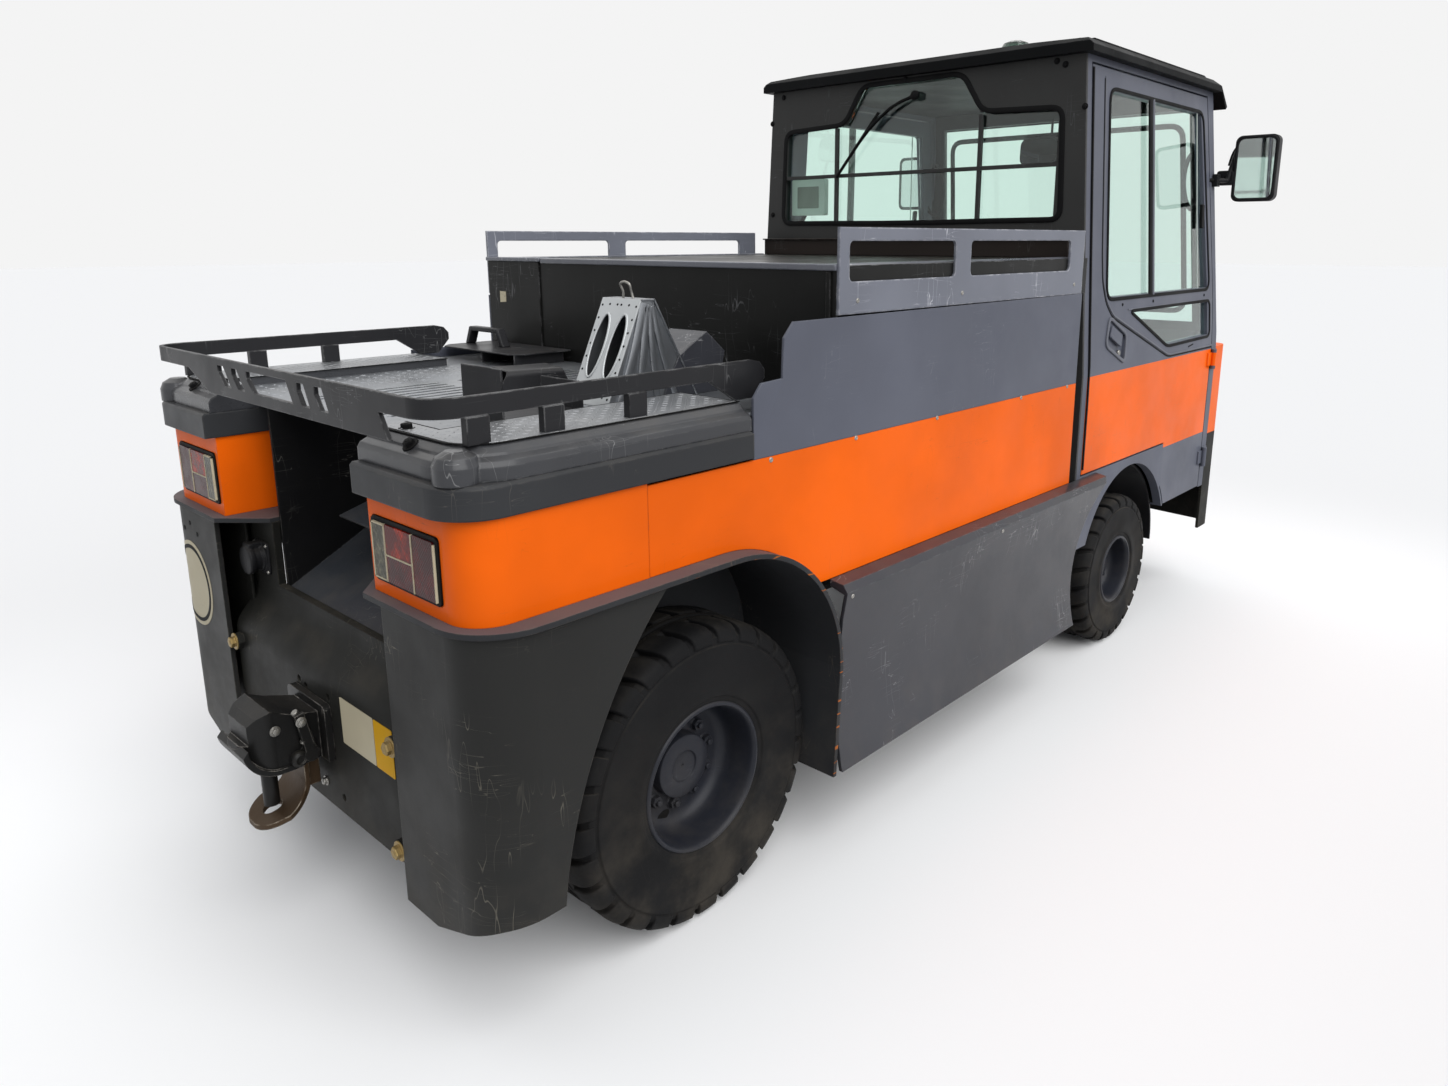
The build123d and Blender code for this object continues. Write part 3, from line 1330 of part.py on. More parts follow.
def make_lug(radius, width, lug_count):
    """One lug, its radius along x and the wheel's axis along z."""
    half = width / 2
    middle = (half - tread_shoulder + lug_gap) / 2
    top = sqrt(radius ** 2 - lug_reach(radius, width, lug_count) ** 2)
    base = radius - tread_depth
    with BuildPart() as lug:
        slanted = Plane(origin=(0, 0, middle), x_dir=(1, 0, 0), z_dir=(0, -1, -lug_slant))
        with BuildSketch(slanted):
            with BuildLine():
                Polyline(
                    (base - 3, lug_gap - middle), (top, lug_gap - middle),
                    (top, half - tread_shoulder - 7 - middle),
                    (base - tread_shoulder - 2, half - 1 - middle), close=True)
            make_face()
        extrude(amount=lug_share * pi * radius / lug_count, both=True)
    return lug.part


def make_tyre(plane, radius, width, bore, lug_count, turn):
    """Solid tyre with flat-sided body and lugs on both shoulders."""
    base = radius - tread_depth
    pitch = 360 / lug_count
    with BuildPart() as tyre:
        with BuildSketch(plane.offset(-width / 2)):
            RegularPolygon(base, lug_count, major_radius=False, rotation=turn - pitch / 2)
        extrude(amount=width)
        ends = tyre.faces().sort_by(Axis.Y)
        chamfer(ends[0].edges() + ends[-1].edges(), tread_shoulder)
        lug = make_lug(radius, width, lug_count)
        with Locations(plane):
            with PolarLocations(0, lug_count, start_angle=turn):
                add(lug)
            with PolarLocations(0, lug_count, start_angle=turn + pitch / 2):
                add(lug, rotation=(180, 0, 0))
        with BuildSketch(plane.offset(-width / 2)):
            RegularPolygon(bore, lug_count, major_radius=False, rotation=turn - pitch / 2)
        extrude(amount=width, mode=Mode.SUBTRACT)
    return tyre.part


# Disc wheels: barrel, dished disc, and a hub with its bearing bore and cap
rim_wall = 9
rim_inset = 10
disc_thickness = 12
disc_bevel = 25
hub_radius = 64
hub_height = 34
hub_depth = 46


def make_rim(plane, width, bore, dish, facets, turn):
    """Steel disc wheel in flats that match its tyre's bore."""
    half = width / 2 - rim_inset
    inner = bore - rim_wall
    steps = (
        (-half, bore, half, bore, Mode.ADD),
        (dish + disc_thickness, inner, half, inner, Mode.SUBTRACT),
        (dish, inner - disc_bevel, dish + disc_thickness, inner - 4, Mode.SUBTRACT),
        (-half, inner, dish - disc_thickness, inner, Mode.SUBTRACT),
        (dish - 1, hub_radius, dish + hub_height, hub_radius - 8, Mode.ADD),
        (dish - hub_depth, hub_radius - 4, dish, hub_radius - 4, Mode.ADD),
    )
    with BuildPart() as rim:
        for low, low_radius, high, high_radius, mode in steps:
            for height, radius in ((low, low_radius), (high, high_radius)):
                with BuildSketch(plane.offset(height)):
                    RegularPolygon(radius, facets, major_radius=False, rotation=turn - 180 / facets)
            loft(ruled=True, mode=mode)
        with BuildSketch(plane.offset(dish - hub_depth)):
            Circle(spindle_radius + bearing_gap)
        extrude(amount=hub_depth + cap_depth, mode=Mode.SUBTRACT)
    return rim.part


# Wheels: name, axle x, distance y, tyre radius, width, rim radius, dish and lugs to a row
wheel_table = (
    ("rear", rear_axle_x, rear_wheel_y, rear_tyre_radius, rear_tyre_width, rear_rim_radius, rear_dish, 23),
    ("front", front_axle_x, front_wheel_y, front_tyre_radius, front_tyre_width, front_rim_radius,
     front_dish, 19),
)
side_names = {-1: "right", 1: "left"}
for place, axle_x, wheel_y, radius, width, rim_radius, dish, lugs in wheel_table:
    turn = -90 - degrees(asin(lug_reach(radius, width, lugs) / radius))
    for side, side_name in side_names.items():
        plane = wheel_plane(axle_x, wheel_y, radius, side)
        keep(make_tyre(plane, radius, width, rim_radius, lugs, turn), f"{place}_tyre_{side_name}")
        keep(make_rim(plane, width, rim_radius, dish, lugs, turn), f"{place}_rim_{side_name}")

# Doors follow the cab's own skin, with a window, a lower pane and a handle pocket
door_window = (
    (door_rear_x + 127, 1213), (door_rear_x + 127, 1820),
    (door_front_x - 196, 1820), (door_front_x - 71, 1213),
)
lower_pane = (
    (door_rear_x + 319, 1157), (door_front_x - 61, 1159),
    (door_front_x - 49, 1037), (front_axle_x + 248, 1031),
)
handle_pocket = (
    (door_rear_x + 152, 1147), (door_rear_x + 269, 1087),
    (door_rear_x + 257, 1009), (door_rear_x + 125, 1072),
)
pocket_depth = 12
glass_depth = 12
with BuildPart() as door_right:
    add(cab_block(0, cab_bottom))
    add(cab_block(door_thickness, cab_bottom - 10), mode=Mode.SUBTRACT)
    with BuildSketch(Plane.XZ.offset(530)):
        add(door_outline(0))
    extrude(amount=150, mode=Mode.INTERSECT)
    with BuildSketch(Plane.XZ.offset(530)):
        with BuildLine():
            Polyline(*door_window, close=True)
        make_face()
        with BuildLine():
            Polyline(*lower_pane, close=True)
        make_face()
    extrude(amount=150, mode=Mode.SUBTRACT)
    with BuildSketch(Plane.XZ.offset(side_y - pocket_depth)):
        with BuildLine():
            Polyline(*handle_pocket, close=True)
        make_face()
    extrude(amount=40, mode=Mode.SUBTRACT)
    for z in hinge_heights:
        with BuildSketch(Plane.XY.offset(z - barrel_height / 2)):
            with Locations((hinge_x, -hinge_y)):
                Circle(barrel_radius)
            with Locations((hinge_x - 22, -side_y - 2.5)):
                Rectangle(leaf_length, 5)
        extrude(amount=barrel_height)
        with BuildSketch(Plane.XY.offset(z - barrel_height / 2)):
            with Locations((hinge_x, -hinge_y)):
                Circle(hinge_pin_radius + bearing_gap)
        extrude(amount=barrel_height, mode=Mode.SUBTRACT)
door_right.part.label = "door_right"
export_step(door_right.part, "parts/door_right.step")

with BuildPart() as door_glass_right:
    add(cab_block(glass_depth, cab_bottom))
    add(cab_block(glass_depth + glass_thickness, cab_bottom - 10), mode=Mode.SUBTRACT)
    with BuildSketch(Plane.XZ.offset(530)):
        with BuildLine():
            Polyline(*door_window, close=True)
        make_face()
        with BuildLine():
            Polyline(*lower_pane, close=True)
        make_face()
    extrude(amount=150, mode=Mode.INTERSECT)
door_glass_right.part.label = "door_glass_right"
export_step(door_glass_right.part, "parts/door_glass_right.step")

with BuildPart() as door_left:
    add(mirror(door_right.part, about=Plane.XZ, mode=Mode.PRIVATE))
door_left.part.label = "door_left"
export_step(door_left.part, "parts/door_left.step")

with BuildPart() as door_glass_left:
    add(mirror(door_glass_right.part, about=Plane.XZ, mode=Mode.PRIVATE))
door_glass_left.part.label = "door_glass_left"
export_step(door_glass_left.part, "parts/door_glass_left.step")
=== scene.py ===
import json
from math import cos, pi, radians, sin

import bmesh
import bpy
from mathutils import Matrix, Vector
from mathutils.bvhtree import BVHTree

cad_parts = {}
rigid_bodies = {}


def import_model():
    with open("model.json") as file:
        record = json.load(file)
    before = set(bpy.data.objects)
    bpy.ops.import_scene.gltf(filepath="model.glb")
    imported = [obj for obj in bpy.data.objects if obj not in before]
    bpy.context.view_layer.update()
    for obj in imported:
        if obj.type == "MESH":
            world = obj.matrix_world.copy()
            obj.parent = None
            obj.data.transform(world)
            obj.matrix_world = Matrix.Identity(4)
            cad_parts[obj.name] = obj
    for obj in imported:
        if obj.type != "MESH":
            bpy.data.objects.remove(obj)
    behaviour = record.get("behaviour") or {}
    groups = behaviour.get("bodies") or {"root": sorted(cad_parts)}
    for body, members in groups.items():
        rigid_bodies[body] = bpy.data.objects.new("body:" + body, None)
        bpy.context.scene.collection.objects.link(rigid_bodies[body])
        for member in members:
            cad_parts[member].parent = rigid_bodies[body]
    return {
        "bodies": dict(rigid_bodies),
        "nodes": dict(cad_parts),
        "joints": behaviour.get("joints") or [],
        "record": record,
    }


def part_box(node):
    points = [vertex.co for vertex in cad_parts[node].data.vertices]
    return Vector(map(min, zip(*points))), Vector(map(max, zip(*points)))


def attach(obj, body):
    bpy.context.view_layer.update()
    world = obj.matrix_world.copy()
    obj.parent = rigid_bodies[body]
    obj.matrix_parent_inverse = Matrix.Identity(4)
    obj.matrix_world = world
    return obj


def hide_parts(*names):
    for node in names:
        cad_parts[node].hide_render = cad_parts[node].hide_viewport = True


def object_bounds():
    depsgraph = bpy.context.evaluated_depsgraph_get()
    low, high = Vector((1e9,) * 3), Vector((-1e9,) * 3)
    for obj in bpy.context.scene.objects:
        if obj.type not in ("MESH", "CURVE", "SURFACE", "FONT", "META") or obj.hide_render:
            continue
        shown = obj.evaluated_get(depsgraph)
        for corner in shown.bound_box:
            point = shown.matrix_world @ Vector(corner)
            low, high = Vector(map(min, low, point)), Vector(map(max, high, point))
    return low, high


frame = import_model()
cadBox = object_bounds()
scene = bpy.context.scene
scene.view_settings.view_transform = "Standard"
nodes = frame["nodes"]
sides = {"right": -1, "left": 1}


# Small tools for meshes
def keepMesh(name, bm, smoothAngle=30):
    mesh = bpy.data.meshes.new(name)
    bm.normal_update()
    bm.to_mesh(mesh)
    bm.free()
    if smoothAngle:
        mesh.shade_smooth()
        mesh.set_sharp_from_angle(angle=radians(smoothAngle))
    piece = bpy.data.objects.new(name, mesh)
    scene.collection.objects.link(piece)
    return piece


def settle(piece, material, body, replaced=()):
    if not piece.data.materials:
        piece.data.materials.append(material)
    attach(piece, body)
    if replaced:
        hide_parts(*replaced)
    return piece


def rounding(piece, width):
    bevel = piece.modifiers.new("rounding", "BEVEL")
    bevel.width, bevel.segments = width, 2
    bevel.limit_method, bevel.angle_limit = "ANGLE", radians(30)
    return piece


def baked(piece):  # modifiers become plain mesh
    depsgraph = bpy.context.evaluated_depsgraph_get()
    mesh = bpy.data.meshes.new_from_object(piece.evaluated_get(depsgraph))
    piece.modifiers.clear()
    old = piece.data
    piece.data = mesh
    bpy.data.meshes.remove(old)
    return piece


def addBlock(bm, low, high):
    centre = (Vector(low) + Vector(high)) / 2
    size = Vector(high) - Vector(low)
    place = Matrix.Translation(centre) @ Matrix.Diagonal((*size, 1))
    return bmesh.ops.create_cube(bm, size=1, matrix=place)["verts"]


def addPrism(bm, outline, lift, place):  # outline in the place's XY, raised along its Z
    lower = [bm.verts.new(place @ Vector((x, y, 0))) for x, y in outline]
    upper = [bm.verts.new(place @ Vector((x, y, lift))) for x, y in outline]
    count = len(outline)
    faces = [bm.faces.new(upper), bm.faces.new(lower[::-1])]
    faces += [bm.faces.new((lower[i], lower[(i + 1) % count], upper[(i + 1) % count], upper[i]))
              for i in range(count)]
    return faces


def addTurned(bm, profile, place, steps=48, closed=False):  # profile of (radius, height) about the place's Z
    rings = []
    for radius, height in profile:
        if radius < 1e-6:
            rings.append([bm.verts.new(place @ Vector((0, 0, height)))])
        else:
            rings.append([bm.verts.new(place @ Vector((radius * cos(2 * pi * i / steps),
                                                       radius * sin(2 * pi * i / steps), height)))
                          for i in range(steps)])
    pairs = list(zip(rings, rings[1:])) + ([(rings[-1], rings[0])] if closed else [])
    for low, high in pairs:
        for i in range(steps):
            j = (i + 1) % steps
            corners = [low[i % len(low)], low[j % len(low)], high[j % len(high)], high[i % len(high)]]
            corners = list(dict.fromkeys(corners))
            if len(corners) > 2:
                bm.faces.new(corners)


corners4 = ((-1, -1), (1, -1), (1, 1), (-1, 1))


def roundRect(width, height, radius, steps=5):
    points = []
    for cx, cy, start in ((1, 1, 0), (-1, 1, 90), (-1, -1, 180), (1, -1, 270)):
        for i in range(steps + 1):
            a = radians(start + 90 * i / steps)
            points.append((cx * (width / 2 - radius) + radius * cos(a),
                           cy * (height / 2 - radius) + radius * sin(a)))
    return points


def addRod(bm, points, radius, steps=10, closed=False):  # a bar along a path, turned as it goes
    points = [Vector(p) for p in points]
    count = len(points)
    rings = []
    side = None
    for i, point in enumerate(points):
        before = points[i - 1] if i or closed else point
        after = points[(i + 1) % count] if i < count - 1 or closed else point
        along = (after - before).normalized()
        if side is None:
            side = along.orthogonal().normalized()
        side = (side - along * side.dot(along)).normalized()
        other = along.cross(side)
        rings.append([bm.verts.new(point + radius * (cos(2 * pi * k / steps) * side + sin(2 * pi * k / steps) * other))
                      for k in range(steps)])
    pairs = list(zip(rings, rings[1:])) + ([(rings[-1], rings[0])] if closed else [])
    for low, high in pairs:
        for k in range(steps):
            bm.faces.new((low[k], low[(k + 1) % steps], high[(k + 1) % steps], high[k]))
    if not closed:
        bm.faces.new(rings[0][::-1])
        bm.faces.new(rings[-1])


def curved(points, steps=6):  # smooth path through a few points
    points = [Vector(p) for p in points]
    path = []
    for i in range(len(points) - 1):
        a, b = points[max(i - 1, 0)], points[i]
        c, d = points[i + 1], points[min(i + 2, len(points) - 1)]
        for k in range(steps):
            t = k / steps
            path.append(0.5 * (2 * b + (c - a) * t + (2 * a - 5 * b + 4 * c - d) * t * t
                               + (3 * b - 3 * c + d - a) * t ** 3))
    return path + [points[-1]]


def facing(point, outward, up=(0, 0, 1)):  # a place whose Z looks outward and whose Y is nearly up
    outward = Vector(outward).normalized()
    up = Vector(up)
    if abs(outward.dot(up)) > 0.98:
        up = Vector((1, 0, 0))
    across = up.cross(outward).normalized()
    turn = Matrix((across, outward.cross(across), outward)).transposed().to_4x4()
    return Matrix.Translation(point) @ turn


skins = {}


def touch(nodeName, start, direction):  # where a line meets a solid: point and outward normal
    if nodeName not in skins:
        mesh = nodes[nodeName].data
        skins[nodeName] = BVHTree.FromPolygons([v.co for v in mesh.vertices], [p.vertices for p in mesh.polygons])
    point, normal, _, _ = skins[nodeName].ray_cast(Vector(start), Vector(direction).normalized())
    if point is None:
        return None
    if normal.dot(Vector(direction)) > 0:
        normal = -normal
    return point, normal


def seat(nodeName, start, direction, lift=0.0):  # a place on a solid's skin, looking away from it
    found = touch(nodeName, start, direction)
    if found is None:
        raise ValueError(f"nothing of {nodeName} at {start}")
    point, normal = found
    return facing(point + lift * normal, normal)


def seats(nodeName, starts, direction, fits=lambda point, normal: True):  # places on a solid, where it is met
    found = [touch(nodeName, start, direction) for start in starts]
    return [facing(*hit) for hit in found if hit and fits(*hit)]


def addPlate(bm, outline, thickness, place, chamfer=0.0):  # flat plate with a softened outer edge
    def ring(inset, height):
        centre = Vector((sum(x for x, _ in outline), sum(y for _, y in outline))) / len(outline)
        points = []
        for x, y in outline:
            away = Vector((x, y)) - centre
            length = away.length or 1
            points.append(bm.verts.new(place @ Vector((x - inset * away.x / length, y - inset * away.y / length,
                                                       height))))
        return points
    rings = [ring(0, 0), ring(0, thickness - chamfer)]
    if chamfer:
        rings.append(ring(chamfer, thickness))
    count = len(outline)
    for low, high in zip(rings, rings[1:]):
        for i in range(count):
            bm.faces.new((low[i], low[(i + 1) % count], high[(i + 1) % count], high[i]))
    bm.faces.new(rings[0][::-1])
    bm.faces.new(rings[-1])


def addStrip(bm, points, normals, width, height, closed=False):  # flat strip lying along a path
    count = len(points)
    rings = []
    for i, point in enumerate(points):
        point = Vector(point)
        before = Vector(points[i - 1]) if i or closed else point
        after = Vector(points[(i + 1) % count]) if i < count - 1 or closed else point
        normal = Vector(normals[i])
        along = (after - before).normalized()
        across = normal.cross(along).normalized()
        corners = ((-width / 2, 0), (width / 2, 0), (width / 2, height * 0.7), (width * 0.3, height),
                   (-width * 0.3, height), (-width / 2, height * 0.7))
        rings.append([bm.verts.new(point + a * across + b * normal) for a, b in corners])
    pairs = list(zip(rings, rings[1:])) + ([(rings[-1], rings[0])] if closed else [])
    for low, high in pairs:
        for k in range(6):
            bm.faces.new((low[k], low[(k + 1) % 6], high[(k + 1) % 6], high[k]))
    if not closed:
        bm.faces.new(rings[0][::-1])
        bm.faces.new(rings[-1])


def newPiece(name, bm, finish, replaced=(), smoothAngle=30, width=0.0, body="chassis"):
    bmesh.ops.recalc_face_normals(bm, faces=bm.faces)
    piece = keepMesh(name, bm, smoothAngle)
    if width:
        baked(rounding(piece, width))
    return settle(piece, finishes[finish], body, replaced)


# Geometry Nodes: one small piece set on many places
def buildSetOnPlaces():
    tree = bpy.data.node_groups.new("setOnPlaces", "GeometryNodeTree")
    face = tree.interface
    face.new_socket(name="Places", in_out="INPUT", socket_type="NodeSocketGeometry")
    face.new_socket(name="Piece", in_out="INPUT", socket_type="NodeSocketObject")
    face.new_socket(name="Finish", in_out="INPUT", socket_type="NodeSocketMaterial")
    face.new_socket(name="Result", in_out="OUTPUT", socket_type="NodeSocketGeometry")
    put, link = tree.nodes.new, tree.links.new
    given, result = put("NodeGroupInput"), put("NodeGroupOutput")
    info, turn = put("GeometryNodeObjectInfo"), put("GeometryNodeInputNamedAttribute")
    turn.data_type = "FLOAT_VECTOR"
    turn.inputs["Name"].default_value = "turn"
    copies, real = put("GeometryNodeInstanceOnPoints"), put("GeometryNodeRealizeInstances")
    finish = put("GeometryNodeSetMaterial")
    link(given.outputs["Places"], copies.inputs["Points"])
    link(given.outputs["Piece"], info.inputs["Object"])
    link(info.outputs["Geometry"], copies.inputs["Instance"])
    link(turn.outputs["Attribute"], copies.inputs["Rotation"])
    link(copies.outputs["Instances"], real.inputs["Geometry"])
    link(real.outputs["Geometry"], finish.inputs["Geometry"])
    link(given.outputs["Finish"], finish.inputs["Material"])
    link(finish.outputs["Geometry"], result.inputs["Result"])
    return tree


setOnPlaces = buildSetOnPlaces()


def setPieces(name, piece, places, material):  # places: (point, turn) pairs
    mesh = bpy.data.meshes.new(name)
    mesh.from_pydata([p for p, _ in places], [], [])
    turns = mesh.attributes.new("turn", "FLOAT_VECTOR", "POINT")
    for item, (_, turn) in zip(turns.data, places):
        item.vector = turn
    carrier = bpy.data.objects.new(name, mesh)
    scene.collection.objects.link(carrier)
    modifier = carrier.modifiers.new("places", "NODES")
    modifier.node_group = setOnPlaces
    values = {"Piece": piece, "Finish": material}
    for item in setOnPlaces.interface.items_tree:
        if item.in_out == "INPUT" and item.name in values:
            modifier[item.identifier] = values[item.name]
    baked(carrier)
    bpy.data.objects.remove(piece)
    return carrier


# Shader helpers
def add(tree, kind, inputs=None, **settings):
    node = tree.nodes.new(kind)
    for key, value in settings.items():
        setattr(node, key, value)
    for key, value in (inputs or {}).items():
        if isinstance(value, bpy.types.NodeSocket):
            tree.links.new(value, node.inputs[key])
        else:
            node.inputs[key].default_value = value
    return node


def calc(tree, operation, a, b=0.0, clamp=False):
    return add(tree, "ShaderNodeMath", {0: a, 1: b}, operation=operation, use_clamp=clamp).outputs[0]


def spanned(tree, value, low, high, outLow=0.0, outHigh=1.0):
    return add(tree, "ShaderNodeMapRange", {0: value, 1: low, 2: high, 3: outLow, 4: outHigh},
               interpolation_type="SMOOTHSTEP").outputs[0]


def mixed(tree, factor, first, second):
    node = add(tree, "ShaderNodeMix", data_type="RGBA")
    for index, value in ((0, factor), (6, first), (7, second)):
        if isinstance(value, bpy.types.NodeSocket):
            tree.links.new(value, node.inputs[index])
        else:
            node.inputs[index].default_value = value
    return node.outputs[2]


def newGroup(name, inputs, outputs):
    tree = bpy.data.node_groups.new(name, "ShaderNodeTree")
    kinds = {"color": "NodeSocketColor", "float": "NodeSocketFloat", "vector": "NodeSocketVector"}
    for label, kind, value in inputs:
        socket = tree.interface.new_socket(name=label, in_out="INPUT", socket_type=kinds[kind])
        if value is not None:
            socket.default_value = value
    for label, kind in outputs:
        tree.interface.new_socket(name=label, in_out="OUTPUT", socket_type=kinds[kind])
    return tree, tree.nodes.new("NodeGroupInput").outputs, tree.nodes.new("NodeGroupOutput").inputs


def noise(tree, vector, scale, detail=3.0, roughness=0.5):
    return add(tree, "ShaderNodeTexNoise", {"Vector": vector, "Scale": scale, "Detail": detail,
                                            "Roughness": roughness}).outputs[0]


def rgb(red, green, blue):  # 0 to 255, as a colour looks on the screen
    def plain(v):
        v /= 255
        return v / 12.92 if v <= 0.04045 else ((v + 0.055) / 1.055) ** 2.4
    return (plain(red), plain(green), plain(blue), 1)


def buildAged():  # paint or plastic with worn edges, scratches, dust and faint unevenness
    tree, given, result = newGroup("agedSurface", [
        ("Color", "color", None), ("Worn", "color", None), ("Dust Color", "color", rgb(120, 112, 100)),
        ("Roughness", "float", 0.4), ("Edge Radius", "float", 0.004), ("Edge Wear", "float", 0.5),
        ("Scratches", "float", 0.3), ("Dust", "float", 0.3), ("Bump", "float", 0.1), ("Grain", "float", 400.0)],
        [("Color", "color"), ("Roughness", "float"), ("Normal", "vector"), ("Wear", "float")])
    place = add(tree, "ShaderNodeTexCoord").outputs["Object"]
    geometry = add(tree, "ShaderNodeNewGeometry").outputs
    bevel = add(tree, "ShaderNodeBevel", {"Radius": given["Edge Radius"]}, samples=4).outputs[0]
    flat = add(tree, "ShaderNodeVectorMath", {0: bevel, 1: geometry["Normal"]},
               operation="DOT_PRODUCT").outputs["Value"]
    edge = spanned(tree, flat, 0.995, 0.80)
    patchy = noise(tree, place, 26.0, 5.0, 0.65)
    edge = calc(tree, "MULTIPLY", edge, spanned(tree, patchy, 0.42, 0.62))
    edge = calc(tree, "MULTIPLY", edge, given["Edge Wear"])
    # thin scratches: narrow bands of two stretched noises, kept to patches
    lines = None
    for scale, turn in (((2.5, 3.0, 34.0), (0.0, 0.25, 0.3)), ((16.0, 13.0, 2.2), (0.3, -0.5, 0.1))):
        mapped = add(tree, "ShaderNodeMapping", {"Vector": place, "Scale": scale, "Rotation": turn}).outputs[0]
        band = calc(tree, "ABSOLUTE", calc(tree, "SUBTRACT", noise(tree, mapped, 1.6, 2.0), 0.5))
        line = spanned(tree, band, 0.004, 0.0)
        lines = line if lines is None else calc(tree, "MAXIMUM", lines, line)
    patches = spanned(tree, noise(tree, place, 5.5, 3.0), 0.52, 0.66)
    lines = calc(tree, "MULTIPLY", calc(tree, "MULTIPLY", lines, patches), given["Scratches"])
    chips = spanned(tree, noise(tree, place, 42.0, 4.0, 0.7), 0.71, 0.735)
    chips = calc(tree, "MULTIPLY", calc(tree, "MULTIPLY", chips, patches), given["Scratches"])
    wear = calc(tree, "MAXIMUM", calc(tree, "MAXIMUM", edge, lines), chips, clamp=True)
    # dust: on faces that look up and low down
    height = add(tree, "ShaderNodeSeparateXYZ", {0: place}).outputs[2]
    up = add(tree, "ShaderNodeSeparateXYZ", {0: geometry["Normal"]}).outputs[2]
    low = spanned(tree, height, 0.55, 0.05, 0.0, 0.7)
    dust = calc(tree, "MAXIMUM", low, spanned(tree, up, 0.3, 1.0, 0.0, 0.6))
    dust = calc(tree, "MULTIPLY", dust, spanned(tree, noise(tree, place, 9.0, 6.0, 0.6), 0.35, 0.75))
    dust = calc(tree, "MULTIPLY", dust, given["Dust"], clamp=True)
    tone = spanned(tree, noise(tree, place, 2.4, 4.0), 0.3, 0.7, 0.88, 1.10)
    tint = add(tree, "ShaderNodeVectorMath", {0: given["Color"], "Scale": tone}, operation="SCALE").outputs[0]
    color = mixed(tree, dust, tint, given["Dust Color"])
    color = mixed(tree, wear, color, given["Worn"])
    tree.links.new(color, result["Color"])
    smear = spanned(tree, noise(tree, place, 7.0, 5.0, 0.6), 0.3, 0.7, -0.06, 0.08)
    rough = calc(tree, "ADD", given["Roughness"], smear)
    rough = calc(tree, "ADD", rough, calc(tree, "MULTIPLY", dust, 0.5), clamp=True)
    tree.links.new(rough, result["Roughness"])
    grain = noise(tree, place, given["Grain"], 2.0)
    sheet = noise(tree, place, 3.2, 2.0)
    height = calc(tree, "ADD", calc(tree, "MULTIPLY", grain, 0.05), calc(tree, "MULTIPLY", sheet, 0.6))
    height = calc(tree, "SUBTRACT", height, calc(tree, "MULTIPLY", wear, 0.08))
    bump = add(tree, "ShaderNodeBump", {"Strength": given["Bump"], "Distance": 0.01, "Height": height,
                                        "Normal": bevel}).outputs[0]
    tree.links.new(bump, result["Normal"])
    tree.links.new(wear, result["Wear"])
    return tree


agedSurface = buildAged()


def newMaterial(name):
    material = bpy.data.materials.new(name)
    material.use_nodes = True
    tree = material.node_tree
    return material, tree, tree.nodes["Principled BSDF"]


def agedMaterial(name, color, worn=(0.25, 0.25, 0.25, 1), metallic=0.0, coat=0.0, specular=0.5, colorFrom=None,
                 **values):
    material, tree, shader = newMaterial(name)
    group = add(tree, "ShaderNodeGroup", node_tree=agedSurface)
    group.inputs["Color"].default_value = color
    group.inputs["Worn"].default_value = worn
    for label, value in values.items():
        group.inputs[label].default_value = value
    if colorFrom:
        tree.links.new(colorFrom(tree), group.inputs["Color"])
    for label in ("Roughness", "Normal"):
        tree.links.new(group.outputs[label], shader.inputs[label])
    tree.links.new(group.outputs["Color"], shader.inputs["Base Color"])
    shader.inputs["Metallic"].default_value = metallic
    shader.inputs["Coat Weight"].default_value = coat
    shader.inputs["Coat Roughness"].default_value = 0.15
    shader.inputs["Specular IOR Level"].default_value = specular * 0.42
    return material


colors = {
    "orange": rgb(246, 103, 10), "grey": rgb(93, 96, 107), "dark": rgb(31, 31, 29), "black": rgb(40, 40, 42),
    "rubber": rgb(24, 24, 25), "rim": rgb(38, 40, 47), "steel": rgb(150, 148, 143), "zinc": rgb(150, 128, 82),
}


def edgeValues(wear, radius=0.004, scratches=0.3, dust=0.3, bump=0.1, grain=400.0):
    return {"Edge Wear": wear, "Edge Radius": radius, "Scratches": scratches, "Dust": dust, "Bump": bump,
            "Grain": grain}


def doorBands(tree):  # orange band between two heights, grey above and below it
    place = add(tree, "ShaderNodeTexCoord").outputs["Object"]
    height = add(tree, "ShaderNodeSeparateXYZ", {0: place}).outputs[2]
    band = calc(tree, "MULTIPLY", calc(tree, "GREATER_THAN", height, 0.655), calc(tree, "LESS_THAN", height, 0.979))
    return mixed(tree, band, colors["grey"], colors["orange"])


def cabWallsAndInsideShade(tree):  # the cab's rear wall is darker than its posts; its inside is painted shade, near black
    place = add(tree, "ShaderNodeTexCoord").outputs["Object"]
    axes = add(tree, "ShaderNodeSeparateXYZ", {0: place}).outputs
    rear = calc(tree, "LESS_THAN", axes[0], 0.4395)
    high = calc(tree, "GREATER_THAN", axes[2], 0.985)
    width = spanned(tree, axes[2], 0.985, 1.90, 0.640, 0.560)  # the walls lean in
    inside = calc(tree, "LESS_THAN", calc(tree, "ABSOLUTE", axes[1]), width)
    inside = calc(tree, "MULTIPLY", inside, calc(tree, "LESS_THAN", axes[0], 1.585))
    inside = calc(tree, "MULTIPLY", inside, high)
    # painted shade: inside the cab the walls turn near black
    walls = mixed(tree, inside, colors["grey"], rgb(30, 31, 33))
    return mixed(tree, rear, walls, rgb(60, 60, 59))


def recessLightAndShade(tree):  # painted light and shade: the ramp, looking up, is greyer and lighter than the walls round it, which are painted shade
    up = add(tree, "ShaderNodeSeparateXYZ", {0: add(tree, "ShaderNodeNewGeometry").outputs["Normal"]}).outputs[2]
    # painted light where the ramp looks up, painted shade, near black, on the walls
    return mixed(tree, calc(tree, "GREATER_THAN", up, 0.3), rgb(22, 22, 23), rgb(60, 63, 68))


